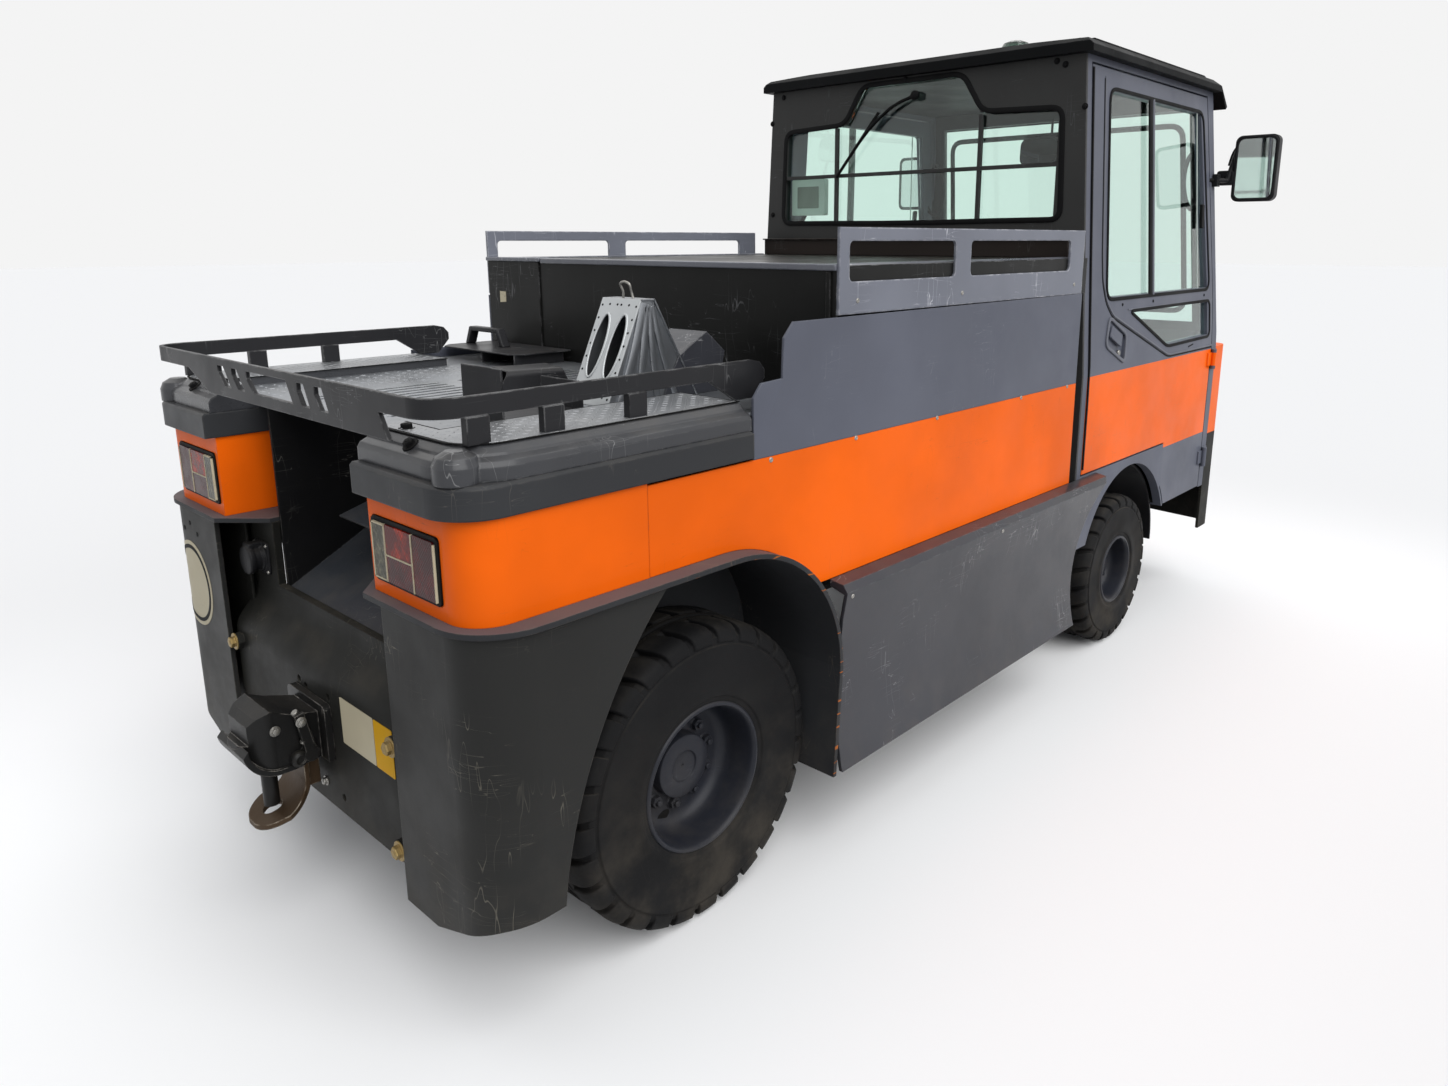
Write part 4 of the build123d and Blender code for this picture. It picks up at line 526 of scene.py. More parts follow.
def archTopLightAndStreaks(tree):  # painted light: lighter and warmer where it looks up, with bare orange streaks along its rim
    place = add(tree, "ShaderNodeTexCoord").outputs["Object"]
    up = add(tree, "ShaderNodeSeparateXYZ", {0: add(tree, "ShaderNodeNewGeometry").outputs["Normal"]}).outputs[2]
    stretched = add(tree, "ShaderNodeMapping", {"Vector": place, "Scale": (5, 5, 60)}).outputs[0]
    streaks = spanned(tree, noise(tree, stretched, 1.5, 4.0, 0.6), 0.60, 0.64)
    side = add(tree, "ShaderNodeSeparateXYZ", {0: place}).outputs[1]
    rim = calc(tree, "GREATER_THAN", calc(tree, "ABSOLUTE", side), 0.6905)
    # painted light: faces that look up get a lighter, warmer grey
    paintedTopLight = mixed(tree, spanned(tree, up, 0.2, 0.8), rgb(50, 51, 53), rgb(92, 84, 86))
    return mixed(tree, calc(tree, "MULTIPLY", streaks, rim), paintedTopLight, rgb(176, 98, 38))


paints = {  # colour, worn colour, edge values (wear, radius, scratches, dust, bump, grain), other values
    "orangePaint": ("orange", (70, 60, 55), (0.4, 0.003, 0.25, 0.08, 0.10),
                    dict(coat=0.05, specular=0.22, Roughness=0.40)),
    "greyPaint": ("grey", (150, 152, 158), (0.3, 0.003, 0.3, 0.2, 0.10), dict(specular=0.4, Roughness=0.42)),
    # the cab's paint, with painted shade inside the cab
    "cabPaintWithShade": ("grey", (140, 142, 148), (0.3, 0.003, 0.25, 0.2, 0.12),
                 dict(specular=0.35, Roughness=0.45, colorFrom=cabWallsAndInsideShade)),
    "railPaint": ((118, 121, 131), (205, 206, 212), (1.0, 0.006, 1.0, 0.1, 0.25), dict(specular=0.5, Roughness=0.34)),
    "skirtPaint": ((55, 56, 61), (150, 150, 152), (0.5, 0.004, 0.7, 0.25, 0.25),
                   dict(coat=0.2, specular=0.5, Roughness=0.34)),
    "darkPaint": ("dark", (100, 96, 84), (0.35, 0.004, 0.5, 0.3, 0.15), dict(specular=0.22, Roughness=0.5)),
    "shellPaint": ((43, 43, 42), (112, 108, 98), (0.5, 0.004, 0.8, 0.3, 0.18), dict(specular=0.3, Roughness=0.44)),
    # the recess liner: painted light on the ramp, painted shade on its walls
    "rampPaintWithShade": ((62, 65, 70), (120, 118, 112), (0.4, 0.003, 0.6, 0.3, 0.12),
                  dict(specular=0.3, Roughness=0.42, colorFrom=recessLightAndShade)),
    "blackPaint": ("black", (150, 150, 150), (0.8, 0.004, 0.5, 0.15, 0.12), dict(specular=0.4, Roughness=0.36)),
    "deckPaint": ((146, 149, 153), (205, 205, 205), (0.9, 0.002, 0.9, 0.2, 0.25),
                  dict(metallic=0.8, specular=0.5, Roughness=0.32)),
    "hoodPaint": ((26, 26, 25), (150, 150, 152), (0.8, 0.004, 0.5, 0.2, 0.2), dict(specular=0.3, Roughness=0.36)),
    "roofPaint": ((20, 21, 22), (80, 80, 82), (0.4, 0.004, 0.3, 0.08, 0.12), dict(specular=0.12, Roughness=0.5)),
    "bumperPlastic": ((54, 55, 57), (110, 106, 100), (0.5, 0.005, 0.4, 0.2, 0.2, 900.0),
                      dict(specular=0.35, Roughness=0.4)),
    "coverPlastic": ((60, 61, 64), (140, 140, 140), (0.6, 0.006, 0.7, 0.25, 0.3, 700.0),
                     dict(coat=0.3, specular=0.5, Roughness=0.3)),
    "blackPlastic": ((30, 30, 32), (75, 75, 76), (0.3, 0.005, 0.25, 0.2, 0.2, 900.0),
                     dict(specular=0.35, Roughness=0.42)),
    # the arches: painted light where they look up
    "archPaintAndTopLight": ((52, 52, 54), (120, 108, 96), (0.5, 0.003, 0.4, 0.3, 0.15),
                  dict(specular=0.3, Roughness=0.5, colorFrom=archTopLightAndStreaks)),
    "framePaint": ((24, 24, 25), (60, 52, 44), (0.3, 0.004, 0.2, 0.5, 0.2), dict(specular=0.25, Roughness=0.6)),
    "rimPaint": ("rim", (96, 98, 104), (0.25, 0.003, 0.3, 0.25, 0.12), dict(specular=0.45, Roughness=0.34)),
    "rubber": ("rubber", (52, 50, 48), (0.3, 0.005, 0.2, 0.3, 0.35, 260.0), dict(specular=0.28, Roughness=0.68)),
    "wornSteel": ("steel", (205, 203, 198), (0.6, 0.003, 0.6, 0.3, 0.2), dict(metallic=0.9, Roughness=0.36)),
    "castBlack": ((22, 22, 22), (150, 145, 138), (1.0, 0.003, 0.5, 0.15, 0.4, 180.0),
                  dict(specular=0.5, Roughness=0.36)),
    "rustySteel": ((74, 58, 42), (176, 166, 150), (1.0, 0.004, 0.9, 0.3, 0.6, 120.0),
                   dict(metallic=0.5, Roughness=0.5)),
    "galvanised": ((196, 199, 200), (226, 228, 229), (0.6, 0.002, 0.4, 0.2, 0.2), dict(metallic=0.5, Roughness=0.42)),
    "yellowZinc": ("zinc", (190, 176, 136), (0.6, 0.002, 0.4, 0.3, 0.15), dict(metallic=0.7, Roughness=0.4)),
    "twoToneDoor": ("grey", (120, 116, 112), (0.3, 0.003, 0.2, 0.12, 0.12),
                    dict(coat=0.05, specular=0.28, colorFrom=doorBands, Roughness=0.38)),
    "seal": ((16, 16, 17), (40, 40, 40), (0.2, 0.002, 0.1, 0.1, 0.1), dict(specular=0.25, Roughness=0.6)),
    "greySeal": ((104, 106, 114), (150, 150, 154), (0.3, 0.002, 0.1, 0.1, 0.1), dict(specular=0.35, Roughness=0.45)),
    "creamPlate": ((206, 196, 168), (120, 104, 80), (0.6, 0.002, 0.5, 0.25, 0.1), dict(specular=0.3, Roughness=0.45)),
    "yellowPlate": ((224, 168, 8), (120, 104, 60), (0.6, 0.002, 0.5, 0.25, 0.1), dict(specular=0.3, Roughness=0.45)),
    "interior": ((34, 35, 38), (70, 70, 72), (0.2, 0.003, 0.1, 0.2, 0.2, 700.0), dict(specular=0.3, Roughness=0.6)),
    "treadPlate": ((150, 152, 155), (212, 213, 214), (0.9, 0.0015, 0.9, 0.25, 0.25, 500.0),
                   dict(metallic=0.85, Roughness=0.34)),
    "hoodTrim": ((104, 106, 114), (200, 202, 206), (0.7, 0.004, 1.0, 0.2, 0.35),
                 dict(coat=0.3, specular=0.6, Roughness=0.3)),
    "beamPaint": ((46, 40, 37), (130, 128, 126), (0.8, 0.003, 0.5, 0.3, 0.3), dict(specular=0.3, Roughness=0.5)),
    "screenGreen": ((92, 104, 92), (120, 130, 118), (0.1, 0.002, 0.2, 0.2, 0.02),
                    dict(coat=0.3, specular=0.5, Roughness=0.25)),
    "palePlastic": ((196, 206, 200), (120, 120, 118), (0.2, 0.002, 0.1, 0.1, 0.1), dict(specular=0.3, Roughness=0.5)),
}
finishes = {}
for name, (base, worn, edge, rest) in paints.items():
    finishes[name] = agedMaterial(name, colors[base] if isinstance(base, str) else rgb(*base), rgb(*worn), **rest,
                                  **edgeValues(*edge))


def buildLens(name, deep, bright, ribs, spread):  # moulded lens: ribs inside, and brighter patches where the bulb sits, a painted reflection
    material, tree, shader = newMaterial(name)
    place = add(tree, "ShaderNodeTexCoord").outputs["Object"]
    across = add(tree, "ShaderNodeSeparateXYZ", {0: place}).outputs
    wave = calc(tree, "SINE", calc(tree, "MULTIPLY", across[1], ribs))
    cells = calc(tree, "MULTIPLY", wave, calc(tree, "SINE", calc(tree, "MULTIPLY", across[2], ribs * 0.8)))
    # painted reflection: brighter patches in the lens colour, broken by the ribs
    paintedReflection = spanned(tree, noise(tree, place, spread, 3.0, 0.6), 0.45, 0.72)
    paintedReflection = calc(tree, "MULTIPLY", paintedReflection, spanned(tree, cells, -0.6, 1.0, 0.45, 1.0))
    tree.links.new(mixed(tree, paintedReflection, deep, bright), shader.inputs["Base Color"])
    bump = add(tree, "ShaderNodeBump", {"Strength": 0.3, "Distance": 0.0003, "Height": cells})
    tree.links.new(bump.outputs[0], shader.inputs["Normal"])
    tree.links.new(spanned(tree, noise(tree, place, 30.0), 0.3, 0.8, 0.16, 0.34), shader.inputs["Roughness"])
    shader.inputs["Specular IOR Level"].default_value = 0.18
    return material


# each lens's second colour is its painted reflection
finishes["lampRed"] = buildLens("lampRed", rgb(58, 6, 9), rgb(104, 12, 15), 900.0, 22.0)
finishes["lampAmber"] = buildLens("lampAmber", rgb(92, 12, 6), rgb(204, 52, 8), 700.0, 30.0)
finishes["lampPlain"] = buildLens("lampPlain", rgb(66, 64, 50), rgb(136, 132, 108), 500.0, 60.0)


def buildCloth():
    material, tree, shader = newMaterial("seatCloth")
    place = add(tree, "ShaderNodeTexCoord").outputs["Object"]
    axes = add(tree, "ShaderNodeSeparateXYZ", {0: place}).outputs
    rise = calc(tree, "ADD", axes[0], axes[2])
    warp = calc(tree, "SINE", calc(tree, "MULTIPLY", rise, 2600.0))
    weft = calc(tree, "SINE", calc(tree, "MULTIPLY", axes[1], 2600.0))
    weave = calc(tree, "MULTIPLY", warp, weft)
    worn = spanned(tree, noise(tree, place, 12.0, 4.0, 0.6), 0.35, 0.7)
    color = mixed(tree, worn, rgb(30, 31, 34), rgb(46, 47, 51))
    fleck = spanned(tree, weave, -0.2, 1.0, 0.0, 0.35)
    tree.links.new(mixed(tree, fleck, color, rgb(74, 76, 82)), shader.inputs["Base Color"])
    bump = add(tree, "ShaderNodeBump", {"Strength": 0.35, "Distance": 0.0003, "Height": weave})
    tree.links.new(bump.outputs[0], shader.inputs["Normal"])
    tree.links.new(spanned(tree, worn, 0.0, 1.0, 0.86, 0.74), shader.inputs["Roughness"])
    shader.inputs["Sheen Weight"].default_value = 0.25
    shader.inputs["Specular IOR Level"].default_value = 0.2
    return material


finishes["seatCloth"] = buildCloth()


def buildGlass(name, color, roughness=0.0):
    material, tree, shader = newMaterial(name)
    shader.inputs["Base Color"].default_value = color
    shader.inputs["Transmission Weight"].default_value = 1
    shader.inputs["Roughness"].default_value = roughness
    shader.inputs["IOR"].default_value = 1.45
    clear = add(tree, "ShaderNodeBsdfTransparent", {"Color": color})
    rays = add(tree, "ShaderNodeLightPath")
    both = add(tree, "ShaderNodeMixShader", {0: rays.outputs["Is Shadow Ray"], 1: shader.outputs[0],
                                             2: clear.outputs[0]})
    tree.links.new(both.outputs[0], tree.nodes["Material Output"].inputs["Surface"])
    return material


finishes["glazing"] = buildGlass("glazing", rgb(232, 248, 242))
finishes["lampClear"] = buildGlass("lampClear", rgb(240, 242, 240), 0.12)
finishes["domeTint"] = buildGlass("domeTint", rgb(120, 214, 170), 0.1)


def buildMirror():
    material, tree, shader = newMaterial("mirrorGlass")
    shader.inputs["Base Color"].default_value = rgb(225, 228, 228)
    shader.inputs["Metallic"].default_value = 1
    place = add(tree, "ShaderNodeTexCoord").outputs["Object"]
    tree.links.new(spanned(tree, noise(tree, place, 20.0), 0.3, 0.8, 0.02, 0.07), shader.inputs["Roughness"])
    return material


finishes["mirrorGlass"] = buildMirror()

# Finishes of the CAD solids that stay
nodeFinish = {
    "orangePaint": ["front_panel", "rear_corner_panels", "side_panels"],
    "greyPaint": ["step_panels"],
    "cabPaintWithShade": ["cab_frame"],
    "railPaint": ["hood_rails"],
    "skirtPaint": ["skirts"],
    "darkPaint": ["battery", "front_bumper", "rear_plate"],
    "shellPaint": ["corner_shells"],
    "rampPaintWithShade": ["recess_liner"],
    "blackPaint": ["chock_bracket", "deck_rail"],
    "deckPaint": ["deck"],
    "hoodPaint": ["battery_hood"],
    "roofPaint": ["cab_roof"],
    "bumperPlastic": ["deck_bumpers"],
    "coverPlastic": ["deck_covers"],
    "blackPlastic": ["front_arches", "mirrors", "trailer_socket"],
    "archPaintAndTopLight": ["wheel_arches"],
    "framePaint": ["cab_floor", "chassis_frame", "front_axle", "rear_axle"],
    "rimPaint": ["front_rim_left", "front_rim_right", "rear_rim_left", "rear_rim_right"],
    "rubber": ["front_tyre_left", "front_tyre_right", "rear_tyre_left", "rear_tyre_right"],
    "castBlack": ["knuckle_left", "knuckle_right", "tow_coupling"],
    "rustySteel": ["coupling_tongue"],
    "galvanised": ["wheel_chock"],
    "twoToneDoor": ["door_left", "door_right"],
    "glazing": ["door_glass_left", "door_glass_right", "rear_window", "windscreen"],
    "lampClear": ["headlamps"],
    "lampRed": ["tail_lamps"],
    "domeTint": ["beacon"],
    "interior": ["dashboard", "seat_base", "steering_column", "steering_wheel"],
    "seatCloth": ["seat_back", "seat_cushion"],
}
for finishName, names in nodeFinish.items():
    for nodeName in names:
        node = nodes[nodeName]
        if not node.material_slots:
            node.data.materials.append(finishes[finishName])
        for slot in node.material_slots:
            slot.material = finishes[finishName]
print("finishes set on the solids")

# Camera, floor and light
view = {"place": (-2.38443, -1.91175, 1.38698), "yaw": 42.180, "pitch": -12.928, "roll": -0.026,
        "focalPixels": 980.25, "centre": (764.93, 464.99), "width": 1448, "height": 1086}


def buildCamera():
    yaw, pitch, roll = (radians(view[k]) for k in ("yaw", "pitch", "roll"))
    ahead = Vector((cos(pitch) * cos(yaw), cos(pitch) * sin(yaw), sin(pitch)))
    right = Vector((sin(yaw), -cos(yaw), 0))
    up = right.cross(ahead)
    turnedRight = cos(roll) * right + sin(roll) * up
    turnedUp = -sin(roll) * right + cos(roll) * up
    data = bpy.data.cameras.new("camera")
    camera = bpy.data.objects.new("camera", data)
    scene.collection.objects.link(camera)
    turn = Matrix((turnedRight, turnedUp, -ahead)).transposed().to_4x4()
    camera.matrix_world = Matrix.Translation(view["place"]) @ turn
    data.sensor_width = 36
    data.lens = 36 * view["focalPixels"] / view["width"]
    data.shift_x = (view["width"] / 2 - view["centre"][0]) / view["width"]
    data.shift_y = (view["centre"][1] - view["height"] / 2) / view["width"]
    data.clip_end = 200
    scene.camera = camera


def buildSurroundings():
    bm = bmesh.new()
    bmesh.ops.create_grid(bm, x_segments=1, y_segments=1, size=60)
    floor = keepMesh("floor", bm, None)
    material, tree, shader = newMaterial("floorFinish")
    rays = add(tree, "ShaderNodeLightPath").outputs
    seen = calc(tree, "MAXIMUM", rays["Is Camera Ray"], rays["Is Transmission Ray"])
    seen = calc(tree, "MAXIMUM", seen, rays["Is Glossy Ray"])
    place = add(tree, "ShaderNodeSeparateXYZ", {0: add(tree, "ShaderNodeTexCoord").outputs["Object"]}).outputs
    away = [calc(tree, "MAXIMUM", calc(tree, "SUBTRACT", calc(tree, "ABSOLUTE", place[i]), half), 0.0)
            for i, half in enumerate((1.8, 0.7))]
    away = calc(tree, "SQRT", calc(tree, "ADD", calc(tree, "POWER", away[0], 2.0), calc(tree, "POWER", away[1], 2.0)))
    near = calc(tree, "POWER", spanned(tree, away, 2.6, 0.2), 2.0)  # painted light: the floor is paler near the wheels, lifting the shade the truck casts there
    shade = mixed(tree, seen, (0.34, 0.34, 0.35, 1), mixed(tree, near, (0.745, 0.745, 0.745, 1), (0.90, 0.90, 0.90, 1)))
    tree.links.new(shade, shader.inputs["Base Color"])
    shader.inputs["Roughness"].default_value = 1.0
    shader.inputs["Specular IOR Level"].default_value = 0.0
    floor.data.materials.append(material)
    world = bpy.data.worlds.new("studio")
    scene.world = world
    world.use_nodes = True
    tree = world.node_tree
    rays = add(tree, "ShaderNodeLightPath").outputs
    seen = calc(tree, "MAXIMUM", rays["Is Camera Ray"], rays["Is Transmission Ray"])
    seen = calc(tree, "MAXIMUM", seen, rays["Is Glossy Ray"])
    backdrop = mixed(tree, seen, (0.40, 0.41, 0.43, 1), rgb(244, 244, 244))
    shown = tree.nodes["Background"]
    tree.links.new(backdrop, shown.inputs["Color"])
    shown.inputs["Strength"].default_value = 1.0
    for name, place, strength, spread in studioLamps:
        data = bpy.data.lights.new(name, "SUN")
        data.energy = strength
        data.angle = radians(spread)
        lamp = bpy.data.objects.new(name, data)
        scene.collection.objects.link(lamp)
        lamp.rotation_euler = (-Vector(place)).to_track_quat("-Z", "Y").to_euler()


studioLamps = (  # name, where it stands, strength, width in degrees
    ("rightSide", (-0.12, -0.74, 0.68), 2.4, 60),
    ("overhead", (0.25, 0.20, 0.95), 1.0, 90),
)
buildCamera()
buildSurroundings()
print("camera and studio ready")

# Wheels: solid tyres with shoulder lugs, wheel nuts and rolled rim lips
wheelSizes = {
    "rear": {"radius": 0.320, "half": 0.093, "bore": 0.152, "ring": 0.279, "lugs": 28, "centre": (-1.128, 0.521),
             "nuts": 10, "nutCircle": 0.088, "nutSize": 0.0130, "disc": -0.004, "hub": 0.068, "hubHeight": 0.030,
             "valve": 0.118},
    "front": {"radius": 0.262, "half": 0.075, "bore": 0.114, "ring": 0.221, "lugs": 25, "centre": (0.862, 0.556),
              "nuts": 6, "nutCircle": 0.068, "nutSize": 0.0115, "disc": -0.008, "hub": 0.050, "hubHeight": 0.028,
              "valve": 0.086},
}


def axlePlace(centreX, centreY, radius, side):  # local Z points outwards along the axle
    turn = Matrix(((-side, 0, 0), (0, 0, side), (0, 1, 0))).to_4x4()
    return Matrix.Translation((centreX, side * centreY, radius)) @ turn


def lugMesh(size):
    radius, half = size["radius"], size["half"]
    pitch = 2 * pi / size["lugs"]
    section = [(half - 0.0010, size["ring"] + 0.004), (half - 0.0006, radius - 0.024), (half - 0.006, radius - 0.011),
               (half - 0.017, radius - 0.0035), (half - 0.034, radius), (0.018, radius),
               (0.018, radius - 0.018), (half - 0.020, radius - 0.022), (half - 0.012, size["ring"] + 0.004)]
    bm = bmesh.new()
    rings = []
    spans = 4
    for k in range(spans + 1):
        ring = []
        for out, reach in section:
            skew = 0.42 * pitch * (half - out) / half
            width = 0.78 if out > 0.05 else 0.70
            angle = pitch * (width * (k / spans - 0.5)) + skew
            ring.append(bm.verts.new((reach * cos(angle), reach * sin(angle), out)))
        rings.append(ring)
    count = len(section)
    for low, high in zip(rings, rings[1:]):
        for i in range(count):
            bm.faces.new((low[i], low[(i + 1) % count], high[(i + 1) % count], high[i]))
    bm.faces.new(rings[0][::-1])
    bm.faces.new(rings[-1])
    bmesh.ops.recalc_face_normals(bm, faces=bm.faces)
    bmesh.ops.bevel(bm, geom=[e for e in bm.edges if e.calc_face_angle(0) > 0.9], offset=0.0022, segments=1,
                    affect="EDGES")
    return keepMesh("lug", bm, 35)


def joinInto(target, *others):
    bm = bmesh.new()
    for piece in (target, *others):
        bm.from_mesh(piece.data)
    bm.to_mesh(target.data)
    bm.free()
    for piece in others:
        bpy.data.objects.remove(piece)
    target.data.shade_smooth()
    target.data.set_sharp_from_angle(angle=radians(35))
    return target


def buildTyre(axle, sideName):
    size = wheelSizes[axle]
    radius, half, bore, ring = (size[k] for k in ("radius", "half", "bore", "ring"))
    flank = [(bore - 0.0005, half - 0.010), (bore + 0.008, half - 0.005), (bore + 0.016, half - 0.0045),
             (bore + 0.019, half - 0.001), (bore + 0.030, half), (bore + 0.034, half - 0.0018),
             ((bore + ring) / 2, half - 0.0006), (ring - 0.010, half - 0.0004), (ring - 0.008, half),
             (ring - 0.002, half), (ring, half - 0.0030), (radius - 0.026, half - 0.0065),
             (radius - 0.016, half - 0.020), (radius - 0.015, 0.026), (radius - 0.0045, 0.020),
             (radius - 0.0040, 0.006), (radius - 0.010, 0.003)]
    profile = flank + [(r, -u) for r, u in reversed(flank)]
    bm = bmesh.new()
    addTurned(bm, profile, Matrix(), steps=112, closed=True)
    bmesh.ops.recalc_face_normals(bm, faces=bm.faces)
    body = keepMesh(f"{axle}Tyre_{sideName}", bm, 35)
    pitch = 2 * pi / size["lugs"]
    outer = setPieces("outerLugs", lugMesh(size), [((0, 0, 0), (0, 0, pitch * i)) for i in range(size["lugs"])],
                      finishes["rubber"])
    flipped = [((0, 0, 0), (pi, 0, pitch * (i + 0.5))) for i in range(size["lugs"])]
    inner = setPieces("innerLugs", lugMesh(size), flipped, finishes["rubber"])
    body.data.materials.append(finishes["rubber"])
    tyre = joinInto(body, outer, inner)
    side = sides[sideName]
    tyre.data.transform(axlePlace(size["centre"][0], size["centre"][1], radius, side))
    return settle(tyre, finishes["rubber"], f"{axle}_wheel_{sideName}",
                  [f"{axle}_tyre_{sideName}"])


def nutMesh(size, height):
    bm = bmesh.new()
    hexagon = [(size * cos(pi * k / 3), size * sin(pi * k / 3)) for k in range(6)]
    addPrism(bm, hexagon, height, Matrix())
    addTurned(bm, [(size * 1.12, 0), (size * 1.12, height * 0.16), (size * 0.9, height * 0.16)], Matrix(), 18)
    addTurned(bm, [(size * 0.52, height), (size * 0.52, height * 1.5), (size * 0.44, height * 1.6),
                   (0, height * 1.6)], Matrix(), 12)
    return keepMesh("nut", bm, 30)


def buildRim(axle, sideName):
    size = wheelSizes[axle]
    radius, half, bore, disc = size["radius"], size["half"], size["bore"], size["disc"]
    hub, face = size["hub"], disc + size["hubHeight"]
    place = axlePlace(size["centre"][0], size["centre"][1], radius, sides[sideName])
    bm = bmesh.new()
    section = [  # from the rolled lip down the barrel, across the disc, out of the hub and back behind
        (bore + 0.0050, half - 0.0105), (bore + 0.0056, half - 0.0060), (bore + 0.0030, half - 0.0030),
        (bore - 0.0015, half - 0.0022), (bore - 0.0050, half - 0.0050), (bore - 0.0072, half - 0.0120),
        (bore - 0.0095, half - 0.0200), (bore - 0.0100, disc + 0.034), (bore - 0.0125, disc + 0.020),
        (bore - 0.0190, disc + 0.008), (bore - 0.0290, disc + 0.002), (bore - 0.0360, disc),
        (hub + 0.005, disc), (hub + 0.001, disc + 0.001), (hub, disc + 0.004), (hub, face - 0.004),
        (hub - 0.0012, face - 0.001), (hub - 0.004, face), (hub * 0.56, face + 0.0015), (hub * 0.50, face + 0.0005),
        (hub * 0.47, face - 0.0035), (hub * 0.40, face - 0.0055), (0.0035, face - 0.0065), (0.003, face - 0.009),
        (0, face - 0.009)]
    back = [(hub * 0.9, disc - 0.012), (bore - 0.030, disc - 0.012), (bore - 0.0135, disc - 0.006),
            (bore - 0.0140, -half + 0.012), (bore - 0.004, -half + 0.003), (bore + 0.005, -half + 0.004),
            (bore + 0.005, -half + 0.011)]
    addTurned(bm, section, place, 72)
    addTurned(bm, back[::-1], place, 72)
    rim = keepMesh(f"{axle}Rim_{sideName}", bm, 32)
    places = [((size["nutCircle"] * cos(2 * pi * (i + 0.3) / size["nuts"]),
                size["nutCircle"] * sin(2 * pi * (i + 0.3) / size["nuts"]), disc),
               (0, 0, 0.7 * i)) for i in range(size["nuts"])]
    nuts = setPieces(f"{axle}Nuts_{sideName}", nutMesh(size["nutSize"], 0.013), places, finishes["rimPaint"])
    nuts.data.transform(place)
    rim.data.materials.append(finishes["rimPaint"])
    rim = joinInto(rim, nuts)
    bm = bmesh.new()
    # painted shade: a dark oval stands for the valve hole
    valve = place @ Matrix.Translation((size["valve"] * cos(-1.9), size["valve"] * sin(-1.9), disc + 0.0004))
    addPlate(bm, [(0.019 * cos(a), 0.011 * sin(a)) for a in (2 * pi * k / 20 for k in range(20))], 0.0012,
             valve @ Matrix.Rotation(0.4, 4, "Z"))
    newPiece(f"{axle}ValveHole_{sideName}", bm, "seal", body=f"{axle}_wheel_{sideName}")
    return settle(rim, finishes["rimPaint"], f"{axle}_wheel_{sideName}", [f"{axle}_rim_{sideName}"])


for axle in wheelSizes:
    for sideName in sides:
        buildTyre(axle, sideName)
        buildRim(axle, sideName)
print("wheels dressed")

# Small fittings that repeat
def boltMesh(across, height, washer=1.5, washerHeight=0.0025):  # hexagon head on a washer, base at the origin
    bm = bmesh.new()
    addTurned(bm, [(0, 0), (across * washer, 0), (across * washer, washerHeight * 0.7),
                   (across * washer * 0.94, washerHeight), (0, washerHeight)], Matrix(), 20)
    hexagon = [(across * cos(pi * k / 3), across * sin(pi * k / 3)) for k in range(6)]
    addPlate(bm, hexagon, height, Matrix.Translation((0, 0, washerHeight)), height * 0.18)
    addTurned(bm, [(across * 0.45, washerHeight + height), (across * 0.40, washerHeight + height * 1.1),
                   (0, washerHeight + height * 1.12)], Matrix(), 12)
    bmesh.ops.recalc_face_normals(bm, faces=bm.faces)
    return keepMesh("bolt", bm, 30)


def screwMesh(radius, height):  # pan head with a driver's recess
    bm = bmesh.new()
    addTurned(bm, [(radius, 0), (radius, height * 0.35), (radius * 0.8, height * 0.85), (radius * 0.4, height),
                   (radius * 0.38, height * 0.55), (0, height * 0.5)], Matrix(), 14)
    bmesh.ops.recalc_face_normals(bm, faces=bm.faces)
    return keepMesh("screw", bm, 35)


def scattered(name, piece, places, finish, body="chassis"):  # places are matrices
    spots = [(m.translation, m.to_euler()) for m in places]
    carrier = setPieces(name, piece, spots, finishes[finish])
    return settle(carrier, finishes[finish], body)


# Tail lamps: housing, three lens fields with pale dividers
tailLamp = {"x": -1.6513, "inner": 0.353, "outer": 0.567, "low": 0.825, "high": 0.939, "rim": 0.005,
            "splitInner": 0.24, "splitOuter": 0.645, "splitHeight": 0.47, "divider": 0.0020}


